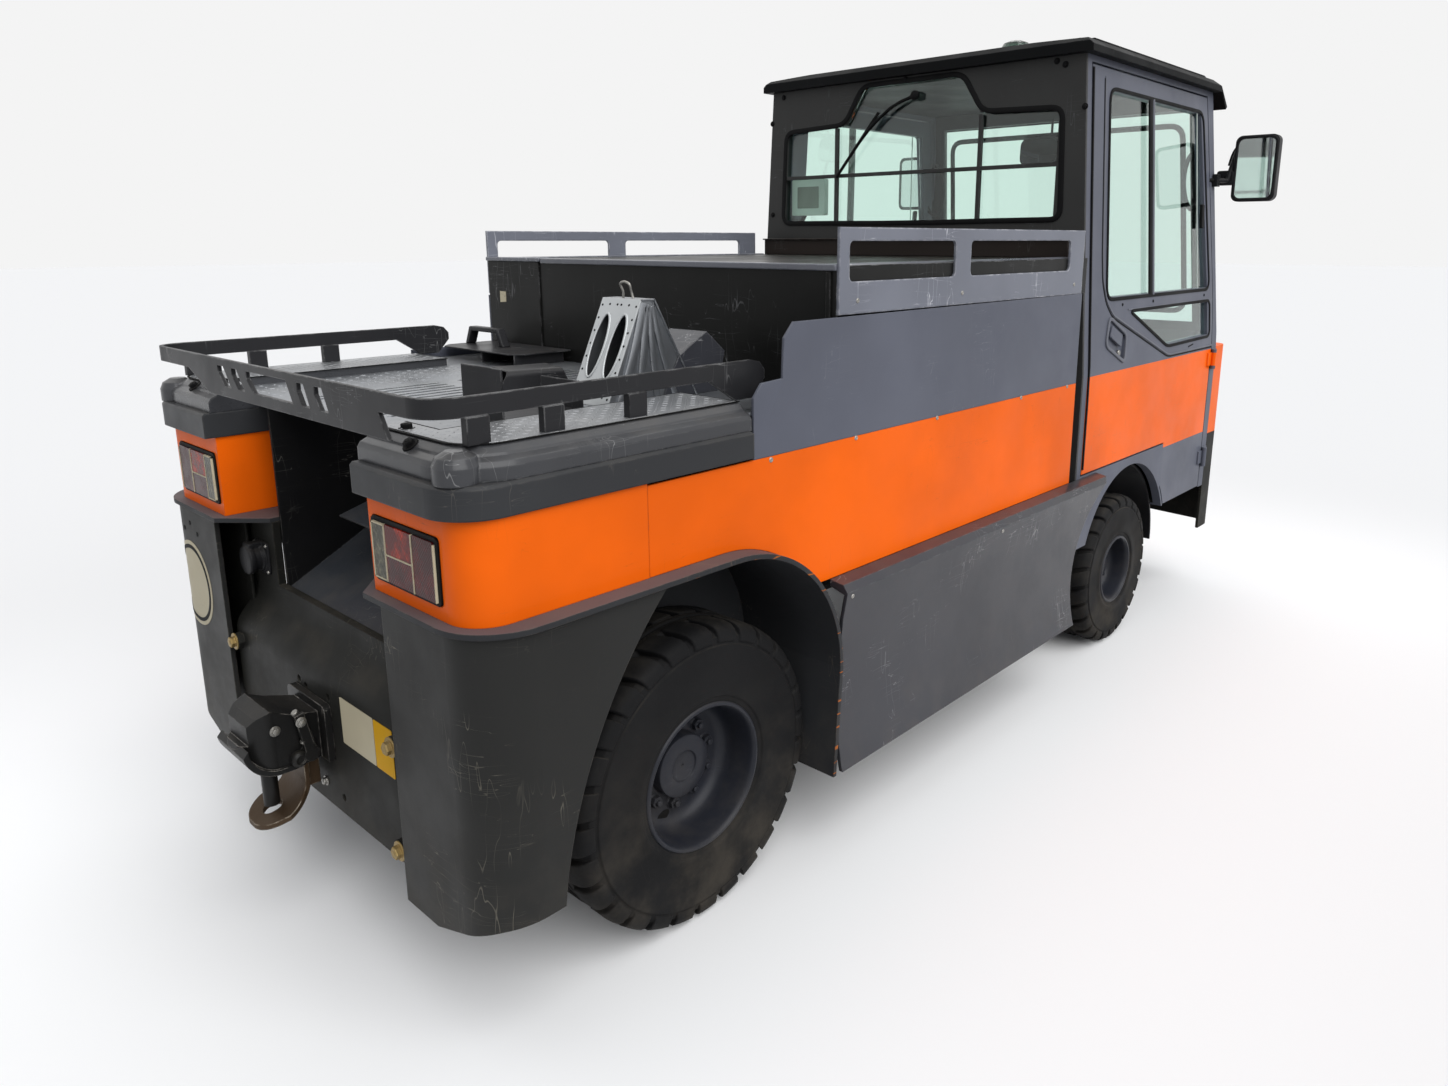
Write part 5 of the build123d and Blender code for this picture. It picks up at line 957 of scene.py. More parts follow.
def buildTailLamps():
    t = tailLamp
    wide, tall = t["outer"] - t["inner"], t["high"] - t["low"]
    shells, reds, ambers, plains, dividers = (bmesh.new() for _ in range(5))
    for side in sides.values():
        def outline(u0, u1, v0, v1, cut, side=side):  # u from the inner end, v from the bottom, in shares
            points = [(u0 + cut, v0), (u1 - cut, v0), (u1, v0 + cut * 1.4), (u1, v1 - cut * 1.4), (u1 - cut, v1),
                      (u0 + cut, v1), (u0, v1 - cut * 1.4), (u0, v0 + cut * 1.4)]
            return [(side * -u * wide, v * tall) for u, v in points]
        face = Matrix.Translation((t["x"], side * t["inner"], t["low"])) @ \
            Matrix(((0, 0, -1), (-1, 0, 0), (0, 1, 0))).to_4x4()
        addPlate(shells, outline(0, 1, 0, 1, 0.035), 0.0022, face, 0.0008)
        addPlate(shells, outline(0.005, 0.995, 0.01, 0.99, 0.03), 0.031, face @ Matrix.Translation((0, 0, -0.031)))
        raised = face @ Matrix.Translation((0, 0, 0.0022))
        addPlate(plains, outline(0.040, t["splitInner"] - 0.012, 0.07, 0.915, 0.012), 0.0040, raised, 0.0015)
        addPlate(ambers, outline(t["splitInner"] + 0.005, t["splitOuter"] - 0.008, t["splitHeight"] + 0.012, 0.93,
                                 0.004), 0.0034, raised, 0.0006)
        addPlate(reds, outline(t["splitInner"] + 0.005, t["splitOuter"] - 0.008, 0.05, t["splitHeight"] - 0.012,
                               0.004), 0.0034, raised, 0.0006)
        addPlate(reds, outline(t["splitOuter"] + 0.008, 0.955, 0.05, 0.93, 0.012), 0.0034, raised, 0.0006)
        d = t["divider"] / wide / 2
        for u0, u1, v0, v1 in ((t["splitOuter"] - d, t["splitOuter"] + d, 0.05, 0.93),
                               (t["splitInner"], t["splitOuter"], t["splitHeight"] - 0.009, t["splitHeight"] + 0.009),
                               (t["splitInner"] - 2.4 * d, t["splitInner"] - 0.4 * d, 0.05, 0.93),
                               (0.958, 0.958 + 1.6 * d, 0.06, 0.90),
                               (0.036, t["splitInner"] - d, 0.90, 0.925), (0.036, t["splitInner"] - d, 0.06, 0.082),
                               (0.036, 0.052, 0.06, 0.925)):
            addPlate(dividers, outline(u0, u1, v0, v1, 0.0), 0.0046, raised, 0.0004)
    newPiece("tailLampHousings", shells, "seal", ["tail_lamps"], width=0.0006)
    newPiece("tailLampReds", reds, "lampRed")
    newPiece("tailLampAmbers", ambers, "lampAmber")
    newPiece("tailLampClears", plains, "lampPlain")
    newPiece("tailLampDividers", dividers, "creamPlate")


buildTailLamps()

# Chequer plate on the cover mouldings
chequer = {"top": 1.0820, "thick": 0.0016, "pitch": 0.0185, "long": 0.0062, "wide": 0.0021, "high": 0.0011,
           "rear": -1.616, "front": -1.032, "outer": 0.610, "inner": 0.337, "trayRear": -1.572, "trayY": 0.454,
           "corner": 0.070}


def plateOutline(grow=0.0):
    c = chequer
    rear, front, outer = c["rear"] - grow, c["front"] + grow, c["outer"] + grow
    arc = [(rear + c["corner"] * (1 - cos(radians(a))), outer - c["corner"] * (1 - sin(radians(a))))
           for a in range(0, 91, 10)]
    return [(front, c["trayY"] - grow), (c["trayRear"] + grow, c["trayY"] - grow), (c["trayRear"] + grow, c["inner"]),
            (rear, c["inner"])] + arc + [(front, outer)]


def insidePlate(x, y):
    c = chequer
    if not (c["rear"] + 0.008 < x < c["front"] - 0.008 and c["inner"] + 0.006 < y < c["outer"] - 0.008):
        return False
    if x > c["trayRear"] - 0.008 and y < c["trayY"] + 0.008:
        return False
    cx, cy = c["rear"] + c["corner"], c["outer"] - c["corner"]
    return not (x < cx and y > cy and (x - cx) ** 2 + (y - cy) ** 2 > (c["corner"] - 0.008) ** 2)


def lozengeMesh():
    c = chequer
    bm = bmesh.new()
    base = [bm.verts.new((c["long"] * x, c["wide"] * y, 0))
            for x, y in ((-1, 0), (-0.45, -0.9), (0.45, -0.9), (1, 0), (0.45, 0.9), (-0.45, 0.9))]
    ridge = [bm.verts.new((c["long"] * 0.5 * x, 0, c["high"])) for x in (-1, 1)]
    for corners in ((base[0], base[1], ridge[0]), (base[1], base[2], ridge[1], ridge[0]),
                    (base[2], base[3], ridge[1]), (base[3], base[4], ridge[1]),
                    (base[4], base[5], ridge[0], ridge[1]), (base[5], base[0], ridge[0])):
        bm.faces.new(corners)
    return keepMesh("lozenge", bm, 50)


def buildChequerPlates():
    c = chequer
    plates, edging = bmesh.new(), bmesh.new()
    places = []
    for side in sides.values():
        outline = [(x, side * y) for x, y in plateOutline()]
        place = Matrix.Translation((0, 0, c["top"]))
        addPrism(plates, outline if side < 0 else outline[::-1], c["thick"], place)
        border = [(x, side * y, c["top"]) for x, y in plateOutline(0.004)]
        addStrip(edging, border, [(0, 0, 1)] * len(border), 0.005, 0.0014, closed=True)
        rows = int((c["front"] - c["rear"]) / c["pitch"]) + 1
        for i in range(rows):
            for k in range(int((c["outer"] - c["inner"]) / c["pitch"]) + 1):
                x, y = c["rear"] + (i + 0.5) * c["pitch"], c["inner"] + (k + 0.5) * c["pitch"]
                if insidePlate(x, y):
                    places.append(((x, side * y, c["top"] + c["thick"]), (0, 0, pi / 4 + (i + k) % 2 * pi / 2)))
    newPiece("coverPlates", plates, "treadPlate")
    newPiece("coverPlateEdging", edging, "seal")
    lozenges = setPieces("coverPlateLozenges", lozengeMesh(), places, finishes["treadPlate"])
    settle(lozenges, finishes["treadPlate"], "chassis")


buildChequerPlates()

# Raised tread pattern on the deck plate
deckTread = {"z": 1.0640, "pitch": 0.030, "frontFields": (((-1.560, -1.350), (-0.190, 0.190)),
             ((-0.775, -0.765), (-0.4, 0.4)), ((-1.560, -1.020), (0.225, 0.440)), ((-1.560, -1.435), (-0.440, -0.2)),
             ((-1.230, -1.190), (-0.440, -0.2)))}


def buildDeckTread():
    places = []
    for (x0, x1), (y0, y1) in deckTread["frontFields"]:
        for i in range(int((x1 - x0) / deckTread["pitch"])):
            for k in range(int((y1 - y0) / deckTread["pitch"])):
                x, y = x0 + (i + 0.5) * deckTread["pitch"], y0 + (k + 0.5) * deckTread["pitch"]
                found = touch("deck", (x, y, 1.3), (0, 0, -1))
                if found and found[0].z > deckTread["z"] - 0.001:
                    places.append(((x, y, deckTread["z"]), (0, 0, pi / 4 + (i + k) % 2 * pi / 2)))
    lozenges = setPieces("deckTread", lozengeMesh(), places, finishes["deckPaint"])
    settle(lozenges, finishes["deckPaint"], "chassis")


buildDeckTread()

# Rear plate: hexagon bolts, blank two-colour plate, blank round sign on the left shell
rearPlate = {"bolts": ((0.355, 0.508), (-0.356, 0.510), (-0.355, 0.302)), "boltSize": 0.0125, "boltHeight": 0.010,
             "label": (-0.336, -0.265, -0.130, 0.431, 0.528), "smallBolts": ((-0.026, 0.307), (0.052, 0.312))}


def buildRearPlate():
    r = rearPlate
    spots = [seat("rear_plate", (-2, y, z), (1, 0, 0)) for y, z in r["bolts"]]
    scattered("rearPlateBolts", boltMesh(r["boltSize"], r["boltHeight"], 1.55, 0.003), spots, "yellowZinc")
    far, middle, near, low, high = r["label"]
    for name, y0, y1, finish in (("labelYellow", far, middle, "yellowPlate"), ("labelCream", middle, near,
                                                                                 "creamPlate")):
        bm = bmesh.new()
        place = seat("rear_plate", (-2, (y0 + y1) / 2, (low + high) / 2), (1, 0, 0), 0.0002)
        addPlate(bm, roundRect(y1 - y0 - 0.001, high - low, 0.004), 0.0008, place, 0.0002)
        newPiece(name, bm, finish)


buildRearPlate()

roundSign = {"y": 0.553, "z": 0.601, "radius": 0.103, "shellX": -1.662, "bendY": 0.580, "bend": 0.100,
             "ringIn": 0.0845, "ringOut": 0.0935}


def onShell(u, v, lift):  # u outwards along the left shell's skin from the sign's middle, v up
    r = roundSign
    along = r["y"] + u - r["bendY"]
    turn = max(along, 0.0) / r["bend"]
    reach = r["bend"] + lift
    y = r["bendY"] + min(along, 0.0) + reach * sin(turn)
    return Vector((r["shellX"] + r["bend"] - reach * cos(turn), y, r["z"] + v))


def buildRoundSign():
    r = roundSign
    for name, inner, outer, lift, finish in (("signDisc", 0.0, r["radius"], 0.0008, "creamPlate"),
                                             ("signRing", r["ringIn"], r["ringOut"], 0.0015, "seal")):
        bm = bmesh.new()
        steps, rings = 64, []
        for k in range(7):
            reach = inner + (outer - inner) * k / 6
            rings.append([bm.verts.new(onShell(reach * sin(2 * pi * i / steps), reach * cos(2 * pi * i / steps), lift))
                          for i in range(steps)] if reach > 1e-5 else
                         [bm.verts.new(onShell(0, 0, lift))])
        rings.append([bm.verts.new(onShell(outer * sin(2 * pi * i / steps), outer * cos(2 * pi * i / steps), 0.0))
                      for i in range(steps)])
        for low, high in zip(rings, rings[1:]):
            for i in range(steps):
                j = (i + 1) % steps
                corners = list(dict.fromkeys([low[i % len(low)], low[j % len(low)], high[j], high[i]]))
                bm.faces.new(corners)
        newPiece(name, bm, finish)
    # painted shade: dark dots stand for the shell's holes
    spots = [seat("corner_shells", (-2, y, z), (1, 0, 0), 0.0002)
             for y, z in ((0.578, 0.731), (0.539, 0.750), (0.498, 0.730))]
    dot = bmesh.new()
    addPlate(dot, [(0.0055 * cos(2 * pi * k / 14), 0.0055 * sin(2 * pi * k / 14)) for k in range(14)], 0.0006,
             Matrix())
    scattered("shellHoles", keepMesh("dot", dot, None), spots, "seal")


buildRoundSign()
print("tail dressed")

# Tow coupling: release levers, knob, bolts and the worn rim of its mouth
coupling = {"lever": ((-1.676, -0.060, 0.405), (-1.684, -0.066, 0.440), (-1.699, -0.066, 0.484),
                      (-1.706, -0.066, 0.497)),
            "secondLever": ((-1.668, -0.062, 0.398), (-1.684, -0.072, 0.420), (-1.700, -0.074, 0.437)),
            "knob": (-1.706, -0.062, 0.398), "bolts": ((-1.742, 0.468), (-1.700, 0.478))}


def buildCoupling():
    c = coupling
    bm = bmesh.new()
    addRod(bm, curved(c["lever"], 5), 0.0072, 12)
    addRod(bm, curved(c["secondLever"], 5), 0.0062, 12)
    newPiece("couplingLevers", bm, "wornSteel", smoothAngle=50, width=0.001)
    bm = bmesh.new()
    knob = facing(c["knob"], (0, -1, 0))
    addTurned(bm, [(0.0, -0.004), (0.015, -0.004), (0.0165, 0.002), (0.0165, 0.010), (0.014, 0.014), (0.009, 0.016),
                   (0.007, 0.0135), (0, 0.0135)], knob, 28)
    newPiece("couplingKnob", bm, "castBlack", smoothAngle=40)
    spots = [seat("tow_coupling", (x, -0.4, z), (0, 1, 0)) for x, z in c["bolts"]]
    spots += [seat("rear_plate", (-2, y, z), (1, 0, 0)) for y, z in rearPlate["smallBolts"]
              if touch("rear_plate", (-2, y, z), (1, 0, 0))]
    scattered("couplingBolts", boltMesh(0.0075, 0.006, 1.4, 0.002), spots, "wornSteel")


buildCoupling()

# Trailer socket: flange, barrel, hinged lid and its spring hook
socket = {"centre": (-1.589, 0.318, 0.700), "radius": 0.036}


def buildSocket():
    k = socket
    place = facing(k["centre"], (-1, 0, 0))
    bm = bmesh.new()
    addPlate(bm, roundRect(0.074, 0.074, 0.010), 0.005, place, 0.001)
    addTurned(bm, [(0.030, 0.004), (0.030, 0.010), (0.0275, 0.012), (0.0275, 0.026), (0.032, 0.028), (0.033, 0.036),
                   (0.031, 0.0395), (0.018, 0.0415), (0, 0.0415)], place, 40)
    addTurned(bm, [(0.0, 0.041), (0.013, 0.041), (0.0125, 0.0418), (0, 0.0418)], place, 24)
    hinge = place @ Matrix.Translation((0, 0.032, 0.030)) @ Matrix.Rotation(pi / 2, 4, "Y")
    addTurned(bm, [(0, -0.017), (0.0058, -0.017), (0.0058, 0.017), (0, 0.017)], hinge, 16)
    addBlock(bm, (-1.624, 0.306, 0.724), (-1.594, 0.330, 0.737))
    newPiece("trailerSocket", bm, "blackPlastic", ["trailer_socket"], 35, 0.0008)
    spots = [place @ Matrix.Translation((x, y, 0.005)) for x in (-0.030, 0.030) for y in (-0.030, 0.030)]
    scattered("socketScrews", screwMesh(0.0042, 0.003), spots, "wornSteel")


buildSocket()

# Battery hood: rounded side rolls, rear lip, fold at the left, beam at the cab's foot
hood = {"rear": -0.764, "front": 0.372, "top": 1.335, "side": 0.6434, "roll": 0.024, "seam": -0.635,
        "foldY": (0.392, 0.640), "beamX": (0.384, 0.418), "beamTop": 1.392}


def buildHood():
    h = hood
    bm = bmesh.new()
    for side in sides.values():
        section = [(h["side"] - 0.001 - 0.052, 0.0), (h["side"] - 0.052, 0.0035)]
        section += [(h["side"] - 0.028 + 0.027 * sin(radians(a)), -0.0225 + 0.0265 * cos(radians(a)))
                    for a in range(0, 91, 15)]
        section += [(h["side"] - 0.001, -0.060), (h["side"] - 0.0045, -0.060)]
        for x0, x1 in ((h["rear"] + 0.010, h["seam"] - 0.0012), (h["seam"] + 0.0012, -0.2812), (-0.2788, h["front"])):
            rings = [[bm.verts.new((x, side * y, h["top"] + z)) for y, z in section] for x in (x0, x1)]
            for i in range(len(section) - 1):
                bm.faces.new((rings[0][i], rings[0][i + 1], rings[1][i + 1], rings[1][i]))
            bm.faces.new((rings[0][-1], rings[0][0], rings[1][0], rings[1][-1]))
            bm.faces.new(rings[0])
            bm.faces.new(rings[1][::-1])
    newPiece("hoodRolls", bm, "hoodTrim", smoothAngle=35)
    bm = bmesh.new()
    addBlock(bm, (h["rear"] - 0.007, -0.6435, h["top"] - 0.010), (h["rear"] + 0.030, 0.380, h["top"] + 0.0035))
    addBlock(bm, (h["rear"] - 0.009, 0.384, h["top"] - 0.006), (h["rear"] + 0.030, 0.6435, h["top"] + 0.0045))
    newPiece("hoodLip", bm, "hoodTrim", width=0.002)
    bm = bmesh.new()
    addBlock(bm, (h["rear"] - 0.0045, h["foldY"][0], 1.085), (h["rear"] + 0.001, h["foldY"][1], h["top"] - 0.006))
    addBlock(bm, (h["rear"] - 0.0055, -0.630, 1.070), (h["rear"] + 0.001, -0.618, h["top"] - 0.012))
    newPiece("hoodSidePanel", bm, "hoodPaint", width=0.0014)
    bm = bmesh.new()
    place = facing((h["rear"] - 0.0046, 0.571, 1.228), (-1, 0, 0))
    addPlate(bm, [(-0.015, -0.016), (0.015, -0.014), (0.016, 0.015), (-0.014, 0.016)], 0.0006, place)
    newPiece("blankPatch", bm, "creamPlate")
    bm = bmesh.new()
    x0, x1 = h["beamX"]
    addBlock(bm, (x0, -0.598, h["top"] + 0.0004), (x1, 0.598, h["beamTop"] - 0.004))
    addBlock(bm, (x0 - 0.007, -0.602, h["beamTop"] - 0.0045), (x1, 0.602, h["beamTop"]))
    newPiece("cabFootBeam", bm, "beamPaint", width=0.0016)


buildHood()
print("hood dressed")

# Doors: window seals, sliding pane, moulded frame line, handle pocket and its paddle
doorTrim = {
    "window": ((0.593, 1.206), (0.593, 1.827), (1.384, 1.827), (1.512, 1.206)),
    "pane": ((0.776, 1.163), (1.521, 1.165), (1.533, 1.030), (1.107, 1.024)),
    "frameLine": ((0.556, 1.850), (0.556, 1.340), (0.562, 1.260), (0.590, 1.196), (0.640, 1.150), (1.100, 0.992),
                  (1.130, 0.987), (1.560, 0.987)),
    "divider": ((0.904, 1.826), (0.942, 1.208)), "slider": ((0.924, 1.826), (0.962, 1.208)),
    "glassEdge": ((1.330, 1.824), (1.392, 1.212)), "lowerBar": (0.640, 1.508, 1.168, 1.203),
    "screws": ((0.716, 1.186), (0.968, 1.186), (1.460, 1.186)), "slot": (1.338, 1.009, 0.050, 0.005),
    "pocket": ((0.617, 1.152), (0.748, 1.091), (0.735, 1.001), (0.590, 1.066)),
    "latch": (1.404, 1.470), "rearSeal": (0.476, 0.690, 1.872),
}


def doorSkin(x, z, side, lift=0.0):  # point and normal on a door's outer skin
    point, normal = touch("door_right", (0.53 if z > 0.68 else 1.40, -1.2, z), (0, 1, 0))
    point, normal = Vector((x, point.y, z)), Vector((0, normal.y, normal.z)).normalized()
    point += lift * normal
    if side > 0:
        point.y, normal.y = -point.y, -normal.y
    return point, normal


def softened(points, radius, closed=True):  # a path whose corners are rounded
    made, count = [], len(points)
    for i in range(count):
        here = Vector(points[i])
        if not closed and i in (0, count - 1):
            made.append(here)
            continue
        before, after = Vector(points[i - 1]), Vector(points[(i + 1) % count])
        reach = min(radius, (before - here).length * 0.45, (after - here).length * 0.45)
        first, last = here + (before - here).normalized() * reach, here + (after - here).normalized() * reach
        for k in range(6):
            t = k / 5
            made.append((1 - t) ** 2 * first + 2 * t * (1 - t) * here + t * t * last)
    return made


def split(points, gap, closed=True):  # more points on the long runs
    made = []
    for i in range(len(points) if closed else len(points) - 1):
        first, last = Vector(points[i]), Vector(points[(i + 1) % len(points)])
        count = max(1, int((last - first).length / gap))
        made += [first.lerp(last, k / count) for k in range(count)]
    return made if closed else made + [Vector(points[-1])]


def doorStrip(bm, path, side, width, height, closed=False, lift=0.0):
    spots = [doorSkin(x, z, side, lift) for x, z in path]
    addStrip(bm, [point for point, _ in spots], [normal for _, normal in spots], width, height, closed)


def buildDoorTrim(side, sideName):
    t = doorTrim
    body, label = "door_" + sideName, sideName.title()
    seals, frames, lines = bmesh.new(), bmesh.new(), bmesh.new()
    doorStrip(seals, split(softened(t["window"], 0.045), 0.09), side, 0.011, 0.0035, True)
    doorStrip(seals, split(softened(t["pane"], 0.028), 0.12), side, 0.010, 0.0035, True)
    doorStrip(seals, split(t["divider"], 0.10, False), side, 0.026, 0.006, lift=-0.002)
    doorStrip(seals, split(softened(t["frameLine"], 0.02, False), 0.10, False), side, 0.0055, 0.0012)
    doorStrip(frames, split(t["slider"], 0.10, False), side, 0.012, 0.007, lift=-0.002)
    moulded = [(x + 0.0062, z + 0.0062) for x, z in t["frameLine"]]
    doorStrip(frames, split(softened(moulded, 0.02, False), 0.10, False), side, 0.006, 0.0022)
    x0, x1, z0, z1 = t["lowerBar"]
    for z in (z0, z1):
        doorStrip(frames, split(((x0 if z == z1 else x0 + 0.12, z), (x1 - 0.004, z)), 0.15, False), side, 0.005, 0.002)
    doorStrip(lines, split(t["glassEdge"], 0.10, False), side, 0.004, 0.003, lift=-0.004)
    x, z0, z1 = t["rearSeal"]
    doorStrip(seals, split(((x, z0), (x, z1)), 0.10, False), side, 0.008, 0.004)
    x, z, wide, tall = t["slot"]
    doorStrip(seals, ((x - wide / 2, z - 0.003), (x + wide / 2, z + 0.003)), side, tall, 0.0008)
    newPiece("doorSeals" + label, seals, "seal", body=body)
    newPiece("doorFrames" + label, frames, "greySeal", body=body)
    newPiece("doorGlassEdge" + label, lines, "palePlastic", body=body)
    # handle: raised frame, dished recess, hinged paddle with a bright lock
    corners = softened(t["pocket"], 0.022)
    frame, dish, paddle, lock = (bmesh.new() for _ in range(4))
    doorStrip(frame, split(corners, 0.05), side, 0.011, 0.005, True)
    middle = Vector((sum(x for x, _ in t["pocket"]) / 4, sum(z for _, z in t["pocket"]) / 4))
    shrunk = [middle + (Vector(c) - middle) * 0.985 for c in corners]
    rings = []
    for share, depth in ((1.0, 0.001), (0.97, -0.014), (0.88, -0.022)):
        ring = []
        for c in shrunk:
            x, z = middle + (c - middle) * share
            ring.append(dish.verts.new(doorSkin(x, z, side, depth)[0]))
        rings.append(ring)
    for low, high in zip(rings, rings[1:]):
        for i in range(len(low)):
            dish.faces.new((low[i], low[(i + 1) % len(low)], high[(i + 1) % len(low)], high[i]))
    dish.faces.new(rings[-1])
    outer, normal = doorSkin(middle.x, middle.y + 0.012, side, -0.004)
    tilt = Matrix.Rotation(0.42 * side, 4, "Z")
    place = facing(outer, normal) @ tilt
    addPlate(paddle, roundRect(0.088, 0.040, 0.006), 0.006, place, 0.0015)
    addPlate(paddle, roundRect(0.080, 0.010, 0.003), 0.009, place @ Matrix.Translation((0, -0.016, 0)), 0.0015)
    outer, normal = doorSkin(middle.x + 0.032, middle.y - 0.043, side, -0.008)
    addTurned(lock, [(0.0095, -0.012), (0.0095, 0.004), (0.008, 0.006), (0, 0.006)], facing(outer, normal), 24)
    newPiece("handleFrame" + label, frame, "greySeal", body=body)
    newPiece("handleDish" + label, dish, "seal", body=body)
    newPiece("handlePaddle" + label, paddle, "greyPaint", width=0.0006, body=body)
    newPiece("handleLock" + label, lock, "wornSteel", body=body)
    # latch of the sliding pane, and the screws of the bar
    latch = bmesh.new()
    outer, normal = doorSkin(*t["latch"], side, -0.003)
    addPlate(latch, roundRect(0.022, 0.085, 0.006), 0.010, facing(outer, normal), 0.002)
    newPiece("windowLatch" + label, latch, "seal", body=body)
    spots = [facing(*doorSkin(x, z, side)) for x, z in t["screws"]]
    scattered("doorScrews" + label, screwMesh(0.0052, 0.0022), spots, "seal", body=body)


for sideName, side in sides.items():
    buildDoorTrim(side, sideName)

# Cab: window seals, wiper, screws, mirror inside, blank screen panel, grab loops
cabTrim = {
    "rearX": 0.430,
    "rearWindow": ((-0.540, 1.448), (-0.526, 1.762), (-0.262, 1.770), (-0.190, 1.886), (0.190, 1.886),
                   (0.262, 1.770), (0.526, 1.762), (0.540, 1.448)),
    "screws": ((0.545, 1.886), (0.020, 1.896), (-0.505, 1.892), (-0.532, 1.880), (0.597, 1.478), (-0.575, 1.40),
               (0.600, 1.80), (-0.600, 1.76)),
    "wiper": ((0.4260, -0.020, 1.842), (0.4205, 0.060, 1.815), (0.4185, 0.140, 1.762), (0.4190, 0.205, 1.700)),
    "blade": ((0.4215, 0.118, 1.800), (0.4215, 0.292, 1.600)),
    "mirrorInside": (1.440, 0.054, 1.737), "panel": (0.474, 0.463, 1.538), "loop": (1.470, 0.560, 1.600),
}


def buildCabTrim():
    t = cabTrim
    bm = bmesh.new()
    path = split(softened(t["rearWindow"], 0.035), 0.2)
    centre = Vector((0, 1.62))
    grown = [p + (p - centre).normalized() * 0.006 for p in path]
    addStrip(bm, [(t["rearX"], y, z) for y, z in grown], [(-1, 0, 0)] * len(grown), 0.016, 0.004, closed=True)
    newPiece("rearWindowSeal", bm, "seal")
    bm = bmesh.new()
    addRod(bm, curved(t["wiper"], 5), 0.0055, 10)
    addTurned(bm, [(0.0, -0.004), (0.015, -0.004), (0.015, 0.006), (0.010, 0.010), (0, 0.010)],
              facing((0.4265, -0.020, 1.842), (-1, 0, 0)), 24)
    addStrip(bm, t["blade"], [(-1, 0, 0)] * 2, 0.010, 0.0055)
    addStrip(bm, [(0.4275, y, z) for _, y, z in t["blade"]], [(-1, 0, 0)] * 2, 0.003, 0.008)
    newPiece("rearWiper", bm, "seal", smoothAngle=40)
    spots = [seat("cab_frame", (0.2, y, z), (1, 0, 0)) for y, z in t["screws"]
             if touch("cab_frame", (0.2, y, z), (1, 0, 0))]
    scattered("cabScrews", boltMesh(0.0062, 0.0045, 1.5, 0.0015), spots, "seal")
    bm = bmesh.new()
    place = facing(t["mirrorInside"], (-1, 0, 0.05))
    addPlate(bm, roundRect(0.172, 0.108, 0.030), 0.016, place @ Matrix.Translation((0, 0, -0.016)), 0.004)
    addRod(bm, [(1.446, 0.010, 1.775), (1.452, 0.008, 1.805), (1.448, 0.006, 1.860)], 0.005, 10)
    newPiece("insideMirror", bm, "seal", smoothAngle=35, width=0.001)
    bm = bmesh.new()
    addPlate(bm, roundRect(0.156, 0.092, 0.024), 0.0008, place @ Matrix.Translation((0, 0, 0.0002)))
    newPiece("insideMirrorGlass", bm, "mirrorGlass")
    for name, size, corner, lift, thick, finish in (("screenPanel", (0.153, 0.127), 0.006, 0.0, 0.022, "palePlastic"),
                                                    ("screenGlass", (0.100, 0.076), 0.003, 0.0, 0.0008, "screenGreen")):
        bm = bmesh.new()
        place = facing(t["panel"], (-1, 0, 0)) @ Matrix.Translation((0, 0, lift - (thick if lift == 0 and
                                                                                  name == "screenPanel" else -0.0002)))
        addPlate(bm, roundRect(*size, corner), thick, place, 0.0003)
        newPiece(name, bm, finish)
    bm = bmesh.new()
    addRod(bm, [(0.480, 0.463, 1.545), (0.505, 0.490, 1.500), (0.505, 0.530, 1.430), (0.470, 0.560, 1.400)], 0.008, 10)
    x, y, z = t["loop"]
    for side in sides.values():
        ring = [(x + 0.008 * sin(a * 2), side * (y + 0.042 * cos(a)), z + 0.104 * sin(a))
                for a in [2 * pi * k / 28 for k in range(28)]]
        addRod(bm, ring, 0.0085, 10, closed=True)
        addRod(bm, [(x, side * (y + 0.042), z), (x + 0.03, side * (y + 0.055), z)], 0.008, 8)
    newPiece("grabLoops", bm, "seal", smoothAngle=50)


buildCabTrim()


def buildMirrors():  # glass, frame and clamp of each outside mirror
    glass, trim = bmesh.new(), bmesh.new()
    for side in sides.values():
        face = facing((1.5568, side * 0.740, 1.640), (-1, 0, 0))
        addPlate(glass, roundRect(0.126, 0.208, 0.020), 0.0008, face @ Matrix.Translation((0, 0, -0.0002)))
        outline = roundRect(0.136, 0.218, 0.024)
        addStrip(trim, [face @ Vector((x, y, -0.001)) for x, y in outline], [(-1, 0, 0)] * len(outline), 0.011, 0.0045,
                 closed=True)
        addRod(trim, curved(((1.592, side * 0.742, 1.735), (1.598, side * 0.700, 1.742), (1.598, side * 0.655, 1.712),
                             (1.590, side * 0.640, 1.655)), 5), 0.006, 10)
        clamp = facing((1.560, side * 0.640, 1.610), (-1, 0, 0))
        addPlate(trim, roundRect(0.060, 0.052, 0.010), 0.034, clamp @ Matrix.Translation((0, 0, -0.026)), 0.003)
    newPiece("mirrorFrames", trim, "blackPlastic", smoothAngle=40)
    newPiece("mirrorGlasses", glass, "mirrorGlass")


buildMirrors()
print("cab dressed")

# Seats: the cushions swell in a cloth simulation, seams come after it
seatShape = {"voxel": 0.0055, "pressure": 4.0, "cap": 0.024, "inset": 0.016, "frames": 20}


